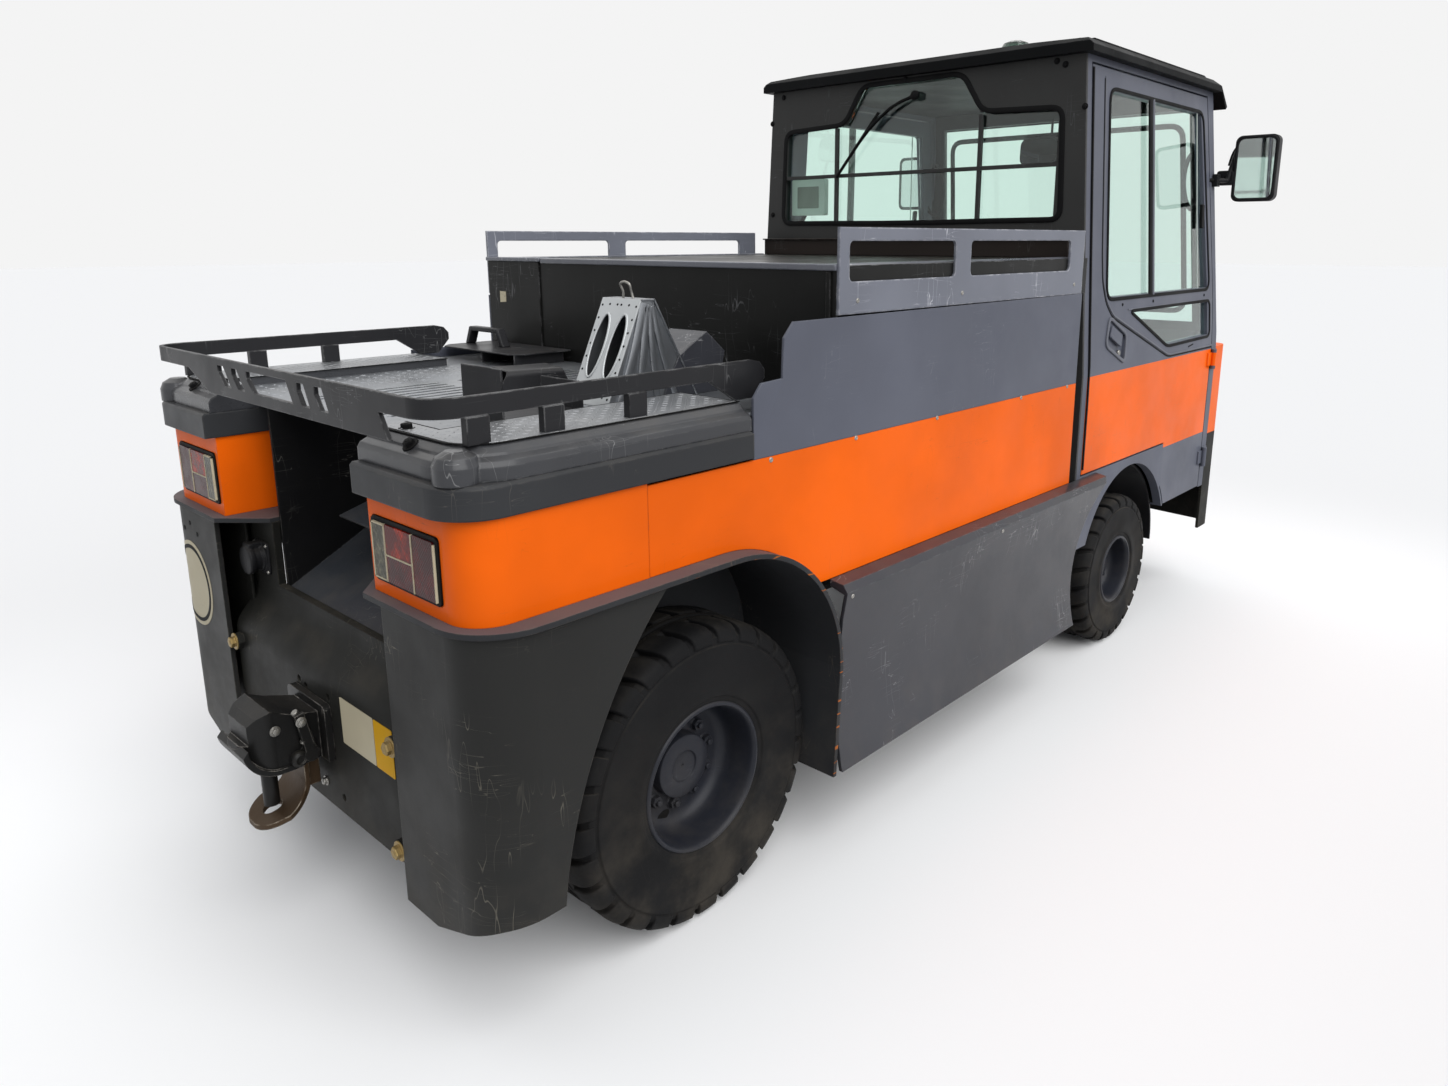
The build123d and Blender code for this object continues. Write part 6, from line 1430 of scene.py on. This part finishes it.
def swollen(name, nodeName, grooves):
    low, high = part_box(nodeName)
    low, high = Vector(low), Vector(high)
    source = nodes[nodeName]
    mesh = source.data.copy()
    bm = bmesh.new()
    bm.from_mesh(mesh)
    bmesh.ops.remove_doubles(bm, verts=bm.verts, dist=0.0002)
    middle = (low + high) / 2
    for v in bm.verts:  # a slightly smaller shape to start from
        for axis in range(3):
            half = (high[axis] - low[axis]) / 2
            v.co[axis] = middle[axis] + (v.co[axis] - middle[axis]) * (half - seatShape["inset"]) / half
    bm.to_mesh(mesh)
    bm.free()
    pad = bpy.data.objects.new(name, mesh)
    scene.collection.objects.link(pad)
    remesh = pad.modifiers.new("remesh", "REMESH")
    remesh.mode, remesh.voxel_size = "VOXEL", seatShape["voxel"] * 1
    baked(pad)
    start = [v.co.copy() for v in pad.data.vertices]
    cloth = pad.modifiers.new("cloth", "CLOTH")
    cloth.settings.use_pressure = True
    cloth.settings.uniform_pressure_force = seatShape["pressure"]
    cloth.settings.effector_weights.gravity = 0
    for number in range(1, seatShape["frames"] + 1):
        scene.frame_set(number)
    baked(pad)
    scene.frame_set(1)
    for v, was in zip(pad.data.vertices, start):
        move = v.co - was
        if move.length > seatShape["cap"]:
            v.co = was + move.normalized() * seatShape["cap"]
        for axis, where, depth, spread in grooves:  # sewn channels
            near = (v.co[axis] - where) / spread
            if abs(near) < 3:
                dent = depth * 2.718 ** (-near * near)
                away = v.co - middle
                v.co -= Vector([0 if i == axis else away[i] for i in range(3)]).normalized() * dent
        for axis in range(3):
            v.co[axis] = min(max(v.co[axis], low[axis] + 0.0005), high[axis] - 0.0005)
    finer = pad.modifiers.new("finer", "SUBSURF")
    finer.levels = finer.render_levels = 1
    baked(pad)
    for polygon in pad.data.polygons:
        polygon.use_smooth = True
    pad.data.materials.clear()
    settle(pad, finishes["seatCloth"], "chassis", [nodeName])
    return pad


def buildSeats():
    swollen("seatCushion", "seat_cushion", ((1, 0.155, 0.007, 0.008), (1, 0.405, 0.007, 0.008),
                                            (0, 0.930, 0.006, 0.008), (0, 1.075, 0.006, 0.008)))
    swollen("seatBack", "seat_back", ((1, 0.165, 0.007, 0.008), (1, 0.395, 0.007, 0.008),
                                      (2, 1.060, 0.006, 0.008), (2, 1.210, 0.006, 0.008), (2, 1.340, 0.006, 0.008)))
    bm = bmesh.new()
    low, high = (Vector(v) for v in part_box("seat_base"))
    addBlock(bm, (low.x + 0.02, low.y + 0.02, low.z), (high.x - 0.02, high.y - 0.02, low.z + 0.03))
    for k in range(7):  # bellows of the seat's suspension
        z = low.z + 0.03 + k * 0.0085
        addBlock(bm, (low.x + 0.03 + 0.008 * (k % 2), low.y + 0.03 + 0.008 * (k % 2), z),
                 (high.x - 0.03 - 0.008 * (k % 2), high.y - 0.03 - 0.008 * (k % 2), z + 0.0085))
    addBlock(bm, (low.x, low.y, low.z + 0.088), (high.x, high.y, high.z))
    newPiece("seatBase", bm, "interior", ["seat_base"], width=0.003)


buildSeats()
print("seats dressed")

# Deck: folded socket box, raised plate with its bail handle, rail feet bolts
deckParts = {"boxFoot": ((-1.206, -0.021), (-1.037, -0.060)), "boxWide": 0.112, "boxTop": 0.046, "slant": 0.030,
             "plate": ((-0.945, 0.262), (-0.768, 0.638)), "plateZ": 1.098, "bail": (-0.852, 0.535, 0.150, 0.050)}


def buildDeckParts():
    d = deckParts
    (x0, y0), (x1, y1) = d["boxFoot"]
    along = Vector((x1 - x0, y1 - y0, 0))
    length = along.length
    place = Matrix.Translation((x0, y0, 1.064)) @ Matrix.Rotation(along.to_track_quat("X", "Z").to_euler().z, 4, "Z")
    shell = bmesh.new()
    wide, top, slant, wall = d["boxWide"] / 2, d["boxTop"], d["slant"], 0.003
    section = [(-wide, 0.0)] + [(-wide + 0.014 * (1 - cos(radians(a))), top - 0.014 * (1 - sin(radians(a))))
                                for a in range(0, 91, 18)]
    section += [(-y, z) for y, z in section[::-1]]
    inner = [(y * (wide - wall) / wide, z - (wall if z > 0.001 else 0)) for y, z in section]
    count = len(section)
    rings = []
    for points in (section, inner):  # open at its slanted rear end, rounded at its front end
        rear = [shell.verts.new(place @ Vector((slant * z / top, y, z))) for y, z in points]
        front = [shell.verts.new(place @ Vector((length - 0.02 * z / top - (0 if points is section else wall), y, z)))
                 for y, z in points]
        rings.append((rear, front))
    for (rear, front), back in zip(rings, (False, True)):
        for i in range(count - 1):
            corners = (rear[i], rear[i + 1], front[i + 1], front[i])
            shell.faces.new(corners[::-1] if back else corners)
        shell.faces.new(front[::-1] if back else front)
    for i in range(count - 1):
        shell.faces.new((rings[0][0][i], rings[1][0][i], rings[1][0][i + 1], rings[0][0][i + 1]))
    for end in (0, -1):
        shell.faces.new((rings[0][0][end], rings[0][1][end], rings[1][1][end], rings[1][0][end]))
    newPiece("deckBox", shell, "blackPaint", smoothAngle=40)
    bm = bmesh.new()
    (px0, py0), (px1, py1) = d["plate"]
    z = d["plateZ"]
    addPrism(bm, [(px0, py0 + 0.03), (px0 + 0.03, py0), (px1, py0), (px1, py1), (px0 + 0.03, py1), (px0, py1 - 0.03)],
             0.004, Matrix.Translation((0, 0, z - 0.004)))
    for y in (py0 + 0.02, py0 + 0.17):
        addBlock(bm, (px0 + 0.010, y, 1.0635), (px1 - 0.010, y + 0.004, z - 0.003))
    newPiece("deckPlate", bm, "blackPaint", width=0.0012)
    bm = bmesh.new()
    x, y, wide, tall = d["bail"]
    across = Matrix(((0, 0, 1, 0), (1, 0, 0, 0), (0, 1, 0, 0), (0, 0, 0, 1)))  # outline in YZ, raised along X
    half = wide / 2
    arch = [(-half - 0.020, 0), (-half + 0.004, tall), (half - 0.004, tall), (half + 0.020, 0), (half + 0.002, 0),
            (half - 0.016, tall - 0.013), (-half + 0.016, tall - 0.013), (-half - 0.002, 0)]
    addPrism(bm, arch, 0.026, Matrix.Translation((x - 0.013, y, z)) @ across)
    newPiece("deckBail", bm, "blackPaint", width=0.003)
    spots = [seat("deck_covers", (x, side * y, 1.3), (0, 0, -1)) for side in sides.values()
             for x, y in ((-1.634, 0.474), (-1.600, 0.400))]
    scattered("coverBolts", boltMesh(0.0095, 0.008, 1.5, 0.002), spots, "seal")


buildDeckParts()

# Left step panel: lower behind the hood than the right one, as cut from a copy of both
stepCut = {"low": (-1.10, 0.60, 1.090), "high": (-0.7665, 0.75, 1.30)}


def cutAway(piece, low, high):
    bm = bmesh.new()
    addBlock(bm, low, high)
    bmesh.ops.recalc_face_normals(bm, faces=bm.faces)
    cutter = keepMesh("cutter", bm, None)
    cut = piece.modifiers.new("cut", "BOOLEAN")
    cut.operation, cut.object, cut.solver = "DIFFERENCE", cutter, "EXACT"
    baked(piece)
    bpy.data.objects.remove(cutter)


def nodeCopy(nodeName, name):  # a copy of a solid's mesh, to cut into
    bm = bmesh.new()
    bm.from_mesh(nodes[nodeName].data)
    bmesh.ops.remove_doubles(bm, verts=bm.verts, dist=0.0001)
    return keepMesh(name, bm, 30)


def buildStepPanels():
    piece = nodeCopy("step_panels", "stepPanels")
    cutAway(piece, stepCut["low"], stepCut["high"])
    baked(rounding(piece, 0.0008))
    piece.data.materials.clear()
    settle(piece, finishes["greyPaint"], "chassis", ["step_panels"])


buildStepPanels()

# Recess: folded plate standing on the ramp, wall bolts, painted shade for the ramp holes and slot, gussets beside the
# rear plate
recess = {"rear": -1.500, "front": -1.186, "wallY": -0.020, "farY": 0.119, "top": 0.814, "rise": 0.29,
          "wallBolts": ((-1.330, 0.905), (-1.270, 0.905)),
          "holes": ((-1.483, -0.010), (-1.466, -0.022), (-1.505, -0.046)), "oval": (-1.492, -0.030, 0.012, 0.006)}


def buildRecess():
    r = recess
    bm = bmesh.new()
    reach = r["front"] - r["rear"]
    lift = reach * r["rise"]
    side = [(r["rear"], r["top"]), (r["front"], r["top"] + lift), (r["front"], r["top"] + lift - 0.004),
            (r["rear"], r["top"] - 0.004)]
    stand = Matrix(((1, 0, 0, 0), (0, 0, 1, 0), (0, 1, 0, 0), (0, 0, 0, 1)))  # outline in XZ, raised along Y
    addPrism(bm, side, r["farY"] - r["wallY"], Matrix.Translation((0, r["wallY"], 0)) @ stand)
    foot = [touch("recess_liner", (x, r["wallY"] + 0.002, 1.03), (0, 0, -1))[0].z - 0.002
            for x in (r["rear"] + 0.001, r["front"] - 0.02)]
    wall = [(r["rear"], foot[0]), (r["front"] - 0.02, foot[1]), (r["front"], r["top"] + lift - 0.002),
            (r["rear"], r["top"] - 0.002)]
    addPrism(bm, wall, 0.004, Matrix.Translation((0, r["wallY"], 0)) @ stand)
    newPiece("recessFold", bm, "rampPaintWithShade", width=0.0012)
    spots = [seat("recess_liner", (x, 0.0, z), (0, 1, 0)) for x, z in r["wallBolts"]]
    scattered("recessBolts", boltMesh(0.012, 0.009, 1.5, 0.003), spots, "seal")
    # painted shade: dark dots stand for the ramp's holes
    dot = bmesh.new()
    addPlate(dot, [(0.0055 * cos(2 * pi * k / 14), 0.0055 * sin(2 * pi * k / 14)) for k in range(14)], 0.0006, Matrix())
    spots = [seat("recess_liner", (x, y, 1.03), (0, 0, -1), 0.0001) for x, y in r["holes"]]
    scattered("rampHoles", keepMesh("hole", dot, None), spots, "seal")
    # painted shade: a dark oval stands for the ramp's slot
    bm = bmesh.new()
    x, y, wide, tall = r["oval"]
    addPlate(bm, roundRect(2 * wide, 2 * tall, tall * 0.98), 0.0006, seat("recess_liner", (x, y, 1.03), (0, 0, -1)))
    newPiece("rampSlot", bm, "seal")
    bm = bmesh.new()
    for side in sides.values():
        low, high = sorted((side * 0.362, side * 0.640))
        addBlock(bm, (-1.606, low, 0.270), (-1.600, high, 0.796))
    newPiece("innerGussets", bm, "darkPaint", width=0.001)


buildRecess()
print("deck and recess dressed")

# Wheel chock of folded sheet: two wide ovals in its face, ribbed sides, a second sheet against it, wire loop
chock = {"left": -0.400, "right": -0.280, "foot": (-1.180, 1.0645), "peak": (-1.084, 1.2715),
         "ridge": (-1.047, 1.2715), "toe": (-0.932, 1.0645), "sheet": 0.003, "oval": (0.041, 0.138), "ribs": 4,
         "second": ((-1.030, 1.0645), (-0.982, 1.150), (-0.900, 1.196), (-0.845, 1.150), (-0.868, 1.0645))}


def addSheet(bm, first, last, y, wide, thickness):  # flat sheet between two points of the side view
    low, high = Vector((first[0], y, first[1])), Vector((last[0], y, last[1]))
    along = (high - low).normalized()
    outward = Vector((-along.z, 0, along.x))
    half = (high - low).length / 2
    outline = [(a * wide / 2, b * half) for a, b in corners4]
    addPlate(bm, outline, thickness, facing((low + high) / 2 - outward * thickness, outward, along))


def buildChock():
    c = chock
    middleY, wide = (c["left"] + c["right"]) / 2, c["right"] - c["left"]
    foot, peak = (Vector((p[0], middleY, p[1])) for p in (c["foot"], c["peak"]))
    up, tall = (peak - foot).normalized(), (peak - foot).length
    place = facing((foot + peak) / 2, Vector((-up.z, 0, up.x)), up)
    bm, rims, dots = bmesh.new(), bmesh.new(), []
    loops = [[(x * wide / 2, y * tall / 2) for x, y in corners4]]
    for side in (-1, 1):
        oval = [(side * wide * 0.225 + c["oval"][0] / 2 * cos(2 * pi * k / 32),
                 tall * 0.05 + c["oval"][1] / 2 * sin(2 * pi * k / 32)) for k in range(32)]
        loops.append(oval)
        addStrip(rims, [place @ Vector((x, y, -0.001)) for x, y in oval], [Vector((-up.z, 0, up.x))] * 32, 0.005, 0.003,
                 closed=True)
        for k in range(8):
            dots.append(place @ Matrix.Translation((side * wide * 0.44, (k / 7 - 0.5) * tall * 0.86, 0)))
        for k in range(2):
            dots.append(place @ Matrix.Translation((side * wide * (0.10 + 0.2 * k), -tall * 0.42, 0)))
            dots.append(place @ Matrix.Translation((side * wide * (0.05 + 0.2 * k), tall * 0.44, 0)))
    for loop in loops:
        corners = [bm.verts.new(place @ Vector((x, y, 0))) for x, y in loop]
        for a, b in zip(corners, corners[1:] + corners[:1]):
            bm.edges.new((a, b))
    bmesh.ops.triangle_fill(bm, use_beauty=True, use_dissolve=False, edges=bm.edges[:])
    bmesh.ops.solidify(bm, geom=bm.faces[:], thickness=c["sheet"])
    newPiece("chockFace", bm, "galvanised", ["wheel_chock"])
    newPiece("chockRims", rims, "galvanised", smoothAngle=50)
    # painted shade: dark dots stand for the chock's holes
    hole = bmesh.new()
    addTurned(hole, [(0, 0.0006), (0.0022, 0.0006), (0.0026, 0), (0, 0)], Matrix(), 12)
    scattered("chockHoles", keepMesh("hole", hole, 35), dots, "seal")
    stand = Matrix(((1, 0, 0, 0), (0, 0, 1, 0), (0, 1, 0, 0), (0, 0, 0, 1)))  # outline in XZ, raised along Y
    bm, ribs = bmesh.new(), bmesh.new()
    corners = [(p[0] + 0.002 * k, p[1]) for p, k in ((c["foot"], 2), (c["peak"], 1), (c["ridge"], -1), (c["toe"], -2))]
    for side, y in ((-1, c["left"] + 0.006), (1, c["right"] - 0.006)):
        addPrism(bm, corners, c["sheet"] * -side, Matrix.Translation((0, y, 0)) @ stand)
        for k in range(c["ribs"]):
            t = (k + 0.6) / (c["ribs"] + 0.4)
            low = Vector((c["foot"][0] + 0.010 + t * 0.215, y, c["foot"][1] + 0.004))
            high = Vector((c["peak"][0] + 0.006 + t * 0.030, y, c["peak"][1] - 0.008 - 0.002 * k))
            bow = (low + high) / 2 + Vector((0.006 * (1 - 2 * t), 0, 0))
            path = curved([low, bow, high], 5)
            addStrip(ribs, path, [Vector((0, side, 0))] * len(path), 0.020 - 0.002 * k, 0.0055)
    for a, b in ((c["peak"], c["ridge"]), (c["ridge"], c["toe"])):
        addSheet(bm, a, b, middleY, wide, c["sheet"])
    newPiece("chockSides", bm, "deckPaint")
    newPiece("chockRibs", ribs, "deckPaint", smoothAngle=50)
    bm = bmesh.new()
    for y in (c["left"] + 0.002, c["right"] - 0.005):
        addPrism(bm, c["second"], c["sheet"], Matrix.Translation((0, y, 0)) @ stand)
    for a, b in zip(c["second"][1:], c["second"][2:]):
        addSheet(bm, a, b, middleY, wide - 2 * c["sheet"], c["sheet"])
    newPiece("chockSecondSheet", bm, "skirtPaint", width=0.0006)
    loop = bmesh.new()
    foot = Vector((c["peak"][0] + 0.018, middleY, c["peak"][1] - 0.002))
    points = [foot + Vector(p) for p in ((0, -0.016, 0), (-0.002, -0.013, 0.014), (-0.008, -0.014, 0.030),
                                         (-0.010, 0, 0.035), (-0.008, 0.014, 0.030), (-0.002, 0.013, 0.014),
                                         (0, 0.016, 0))]
    addRod(loop, curved(points, 5), 0.0026, 8)
    newPiece("chockLoop", loop, "wornSteel", smoothAngle=60)


buildChock()

# Front: lamp bezels and lenses, indicators, bolts, blank plate, louvres, windscreen seal and wiper
nose = {"lampY": 0.470, "lampZ": 0.520, "lampX": 1.7745, "lampR": 0.074,
        "signalY": 0.585, "signalZ": 0.760, "plateZ": 0.420, "plateSize": (0.300, 0.110), "louvreLow": 0.735,
        "louvrePitch": 0.028, "louvreSize": (0.360, 0.014), "boltReach": 0.010,
        "panelBolts": ((0.16, 0.95), (0.40, 0.95), (0.60, 0.95), (0.60, 0.68), (0.30, 0.68)),
        "bumperBolts": tuple((0.10 + 0.11 * k, 0.300) for k in range(5))}


def buildNose():
    n = nose
    rims, plain, amber, black = (bmesh.new() for _ in range(4))
    spots = []

    def inside(point, normal):  # nothing stands proud of the nose
        return (point + n["boltReach"] * normal).x < cadBox[1][0]

    for side in sides.values():
        found = touch("headlamps", (2.2, side * n["lampY"], n["lampZ"]), (-1, 0, 0))
        x = found[0].x if found else n["lampX"]
        place = facing((x, side * n["lampY"], n["lampZ"]), (1, 0, 0))
        r = n["lampR"]
        addTurned(rims, [(r * 0.84, -0.004), (r * 0.86, 0.0035), (r * 0.93, 0.006), (r * 0.99, 0.003),
                         (r * 0.99, -0.004)], place, 56, closed=True)
        addTurned(plain, [(r * 0.85, 0.0005), (r * 0.6, 0.0045), (r * 0.3, 0.0062), (0, 0.0068), (0, 0.0),
                          (r * 0.85, 0.0)], place, 48)
        found = touch("front_panel", (2.2, side * n["signalY"], n["signalZ"]), (-1, 0, 0))
        if found:
            place = facing(found[0], found[1])
            addPlate(black, roundRect(0.088, 0.118, 0.010), 0.006, place, 0.0015)
            addPlate(amber, roundRect(0.074, 0.104, 0.008), 0.011, place, 0.004)
        spots += seats("front_panel", [(2.2, side * y, z) for y, z in n["panelBolts"]], (-1, 0, 0), inside)
        spots += seats("front_bumper", [(2.4, side * y, z) for y, z in n["bumperBolts"]], (-1, 0, 0), inside)
    newPiece("headlampRims", rims, "wornSteel", smoothAngle=40)
    newPiece("headlampLenses", plain, "lampPlain", ["headlamps"], 60)
    newPiece("signalBases", black, "blackPlastic")
    newPiece("signalLenses", amber, "lampAmber")
    scattered("noseBolts", boltMesh(0.0085, 0.006, 1.5, 0.002), spots, "wornSteel")
    bm = bmesh.new()
    found, (wide, tall) = touch("front_bumper", (2.4, 0.0, n["plateZ"]), (-1, 0, 0)), n["plateSize"]
    piece = nodeCopy("front_bumper", "frontBumper")
    cutAway(piece, (found[0].x - 0.004, -wide / 2 - 0.002, n["plateZ"] - tall / 2 - 0.002),
            (found[0].x + 0.05, wide / 2 + 0.002, n["plateZ"] + tall / 2 + 0.002))
    piece.data.materials.clear()
    settle(piece, finishes["darkPaint"], "chassis", ["front_bumper"])
    addPlate(bm, roundRect(wide, tall, 0.006), 0.003, facing(found[0] - Vector((0.004, 0, 0)), (1, 0, 0)), 0.0006)
    newPiece("blankPlate", bm, "creamPlate")
    # louvres across the panel, with near-black painted shade behind them, wiper on the windscreen, seal round it
    bm = bmesh.new()
    piece, (wide, tall) = nodeCopy("front_panel", "frontPanel"), n["louvreSize"]
    for k in range(6):
        z = n["louvreLow"] + n["louvrePitch"] * k
        x = touch("front_panel", (2.2, 0.0, z), (-1, 0, 0))[0].x
        cutAway(piece, (x - 0.012, -wide / 2, z - tall / 2), (x + 0.05, wide / 2, z + tall / 2))
        # painted shade: a near-black block behind each slot
        addBlock(bm, (x - 0.014, -wide / 2 - 0.001, z - tall / 2 - 0.001),
                 (x - 0.0105, wide / 2 + 0.001, z + tall / 2 + 0.001))
    piece.data.materials.clear()
    settle(piece, finishes["orangePaint"], "chassis", ["front_panel"])
    newPiece("noseLouvres", bm, "seal")
    bm = bmesh.new()
    around = []
    for y, z in ((-0.520, 1.115), (-0.490, 1.800), (0.490, 1.800), (0.520, 1.115)):
        found = touch("windscreen", (2.4, y, z), (-1, 0, 0))
        if found:
            around.append((found[0], found[1]))
    if len(around) == 4:
        path = split(softened([p for p, _ in around], 0.05), 0.12)
        addStrip(bm, path, [around[0][1]] * len(path), 0.020, 0.005, closed=True)
    arm = [touch("windscreen", (2.4, y, z), (-1, 0, 0)) for y, z in ((0.10, 1.130), (-0.05, 1.30), (-0.12, 1.42))]
    if all(arm):
        addRod(bm, [p + 0.014 * m for p, m in arm], 0.0055, 10)
        blade = [touch("windscreen", (2.4, y, z), (-1, 0, 0)) for y, z in ((-0.20, 1.17), (-0.02, 1.70))]
        addStrip(bm, [p + 0.002 * m for p, m in blade], [m for _, m in blade], 0.010, 0.013)
        addTurned(bm, [(0, 0), (0.014, 0), (0.014, 0.012), (0.009, 0.018), (0, 0.018)], facing(*arm[0]), 20)
    newPiece("windscreenTrim", bm, "seal")


buildNose()

# Roof: gutter rails, beacon base ring, bolts
def buildRoofTrim():
    bm = bmesh.new()
    low, high = (Vector(v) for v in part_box("cab_roof"))
    for side in sides.values():
        path = []
        for k in range(9):
            x = low.x + 0.06 + (high.x - low.x - 0.12) * k / 8
            found = touch("cab_roof", (x, side * (high.y - 0.030), 2.3), (0, 0, -1))
            if found:
                path.append(found)
        if len(path) > 2:
            addStrip(bm, [p for p, _ in path], [m for _, m in path], 0.012, 0.005)
    newPiece("roofRails", bm, "roofPaint")
    low, high = (Vector(v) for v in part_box("beacon"))
    middle = (low + high) / 2
    bm = bmesh.new()
    r = (high.x - low.x) / 2
    addTurned(bm, [(0, 0), (r * 0.99, 0), (r * 0.99, 0.006), (r * 0.90, 0.010), (r * 0.84, 0.010), (0, 0.010)],
              Matrix.Translation((middle.x, middle.y, low.z)), 40)
    newPiece("beaconBase", bm, "seal", smoothAngle=40)
    spots = []
    for side in sides.values():
        spots += seats("cab_roof", [(x, side * 0.560, 2.3) for x in (low.x - 0.10, 0.80, 1.10, 1.40)], (0, 0, -1))
    scattered("roofBolts", boltMesh(0.0065, 0.004, 1.5, 0.0015), spots, "seal")


buildRoofTrim()

# Screws along the seams of the side panels, the guard and the skirts
seamScrews = {"side_panels": ((-0.974, 0.963), (-0.696, 0.966), (-0.371, 0.967), (0.050, 0.967), (0.330, 0.967)),
              "hood_rails": ((-0.700, 1.262), (-0.280, 1.262), (0.330, 1.262)),
              "skirts": ((-0.760, 0.630), (-0.100, 0.630), (0.540, 0.630))}


def buildSeamScrews():
    spots = []
    for side in sides.values():
        for nodeName, points in seamScrews.items():
            spots += seats(nodeName, [(x, side * 1.2, z) for x, z in points], (0, -side, 0),
                           lambda point, normal: abs(point.y) > 0.6)
    scattered("seamScrews", screwMesh(0.0055, 0.0022), spots, "wornSteel")


buildSeamScrews()
print("chock, nose and roof dressed")
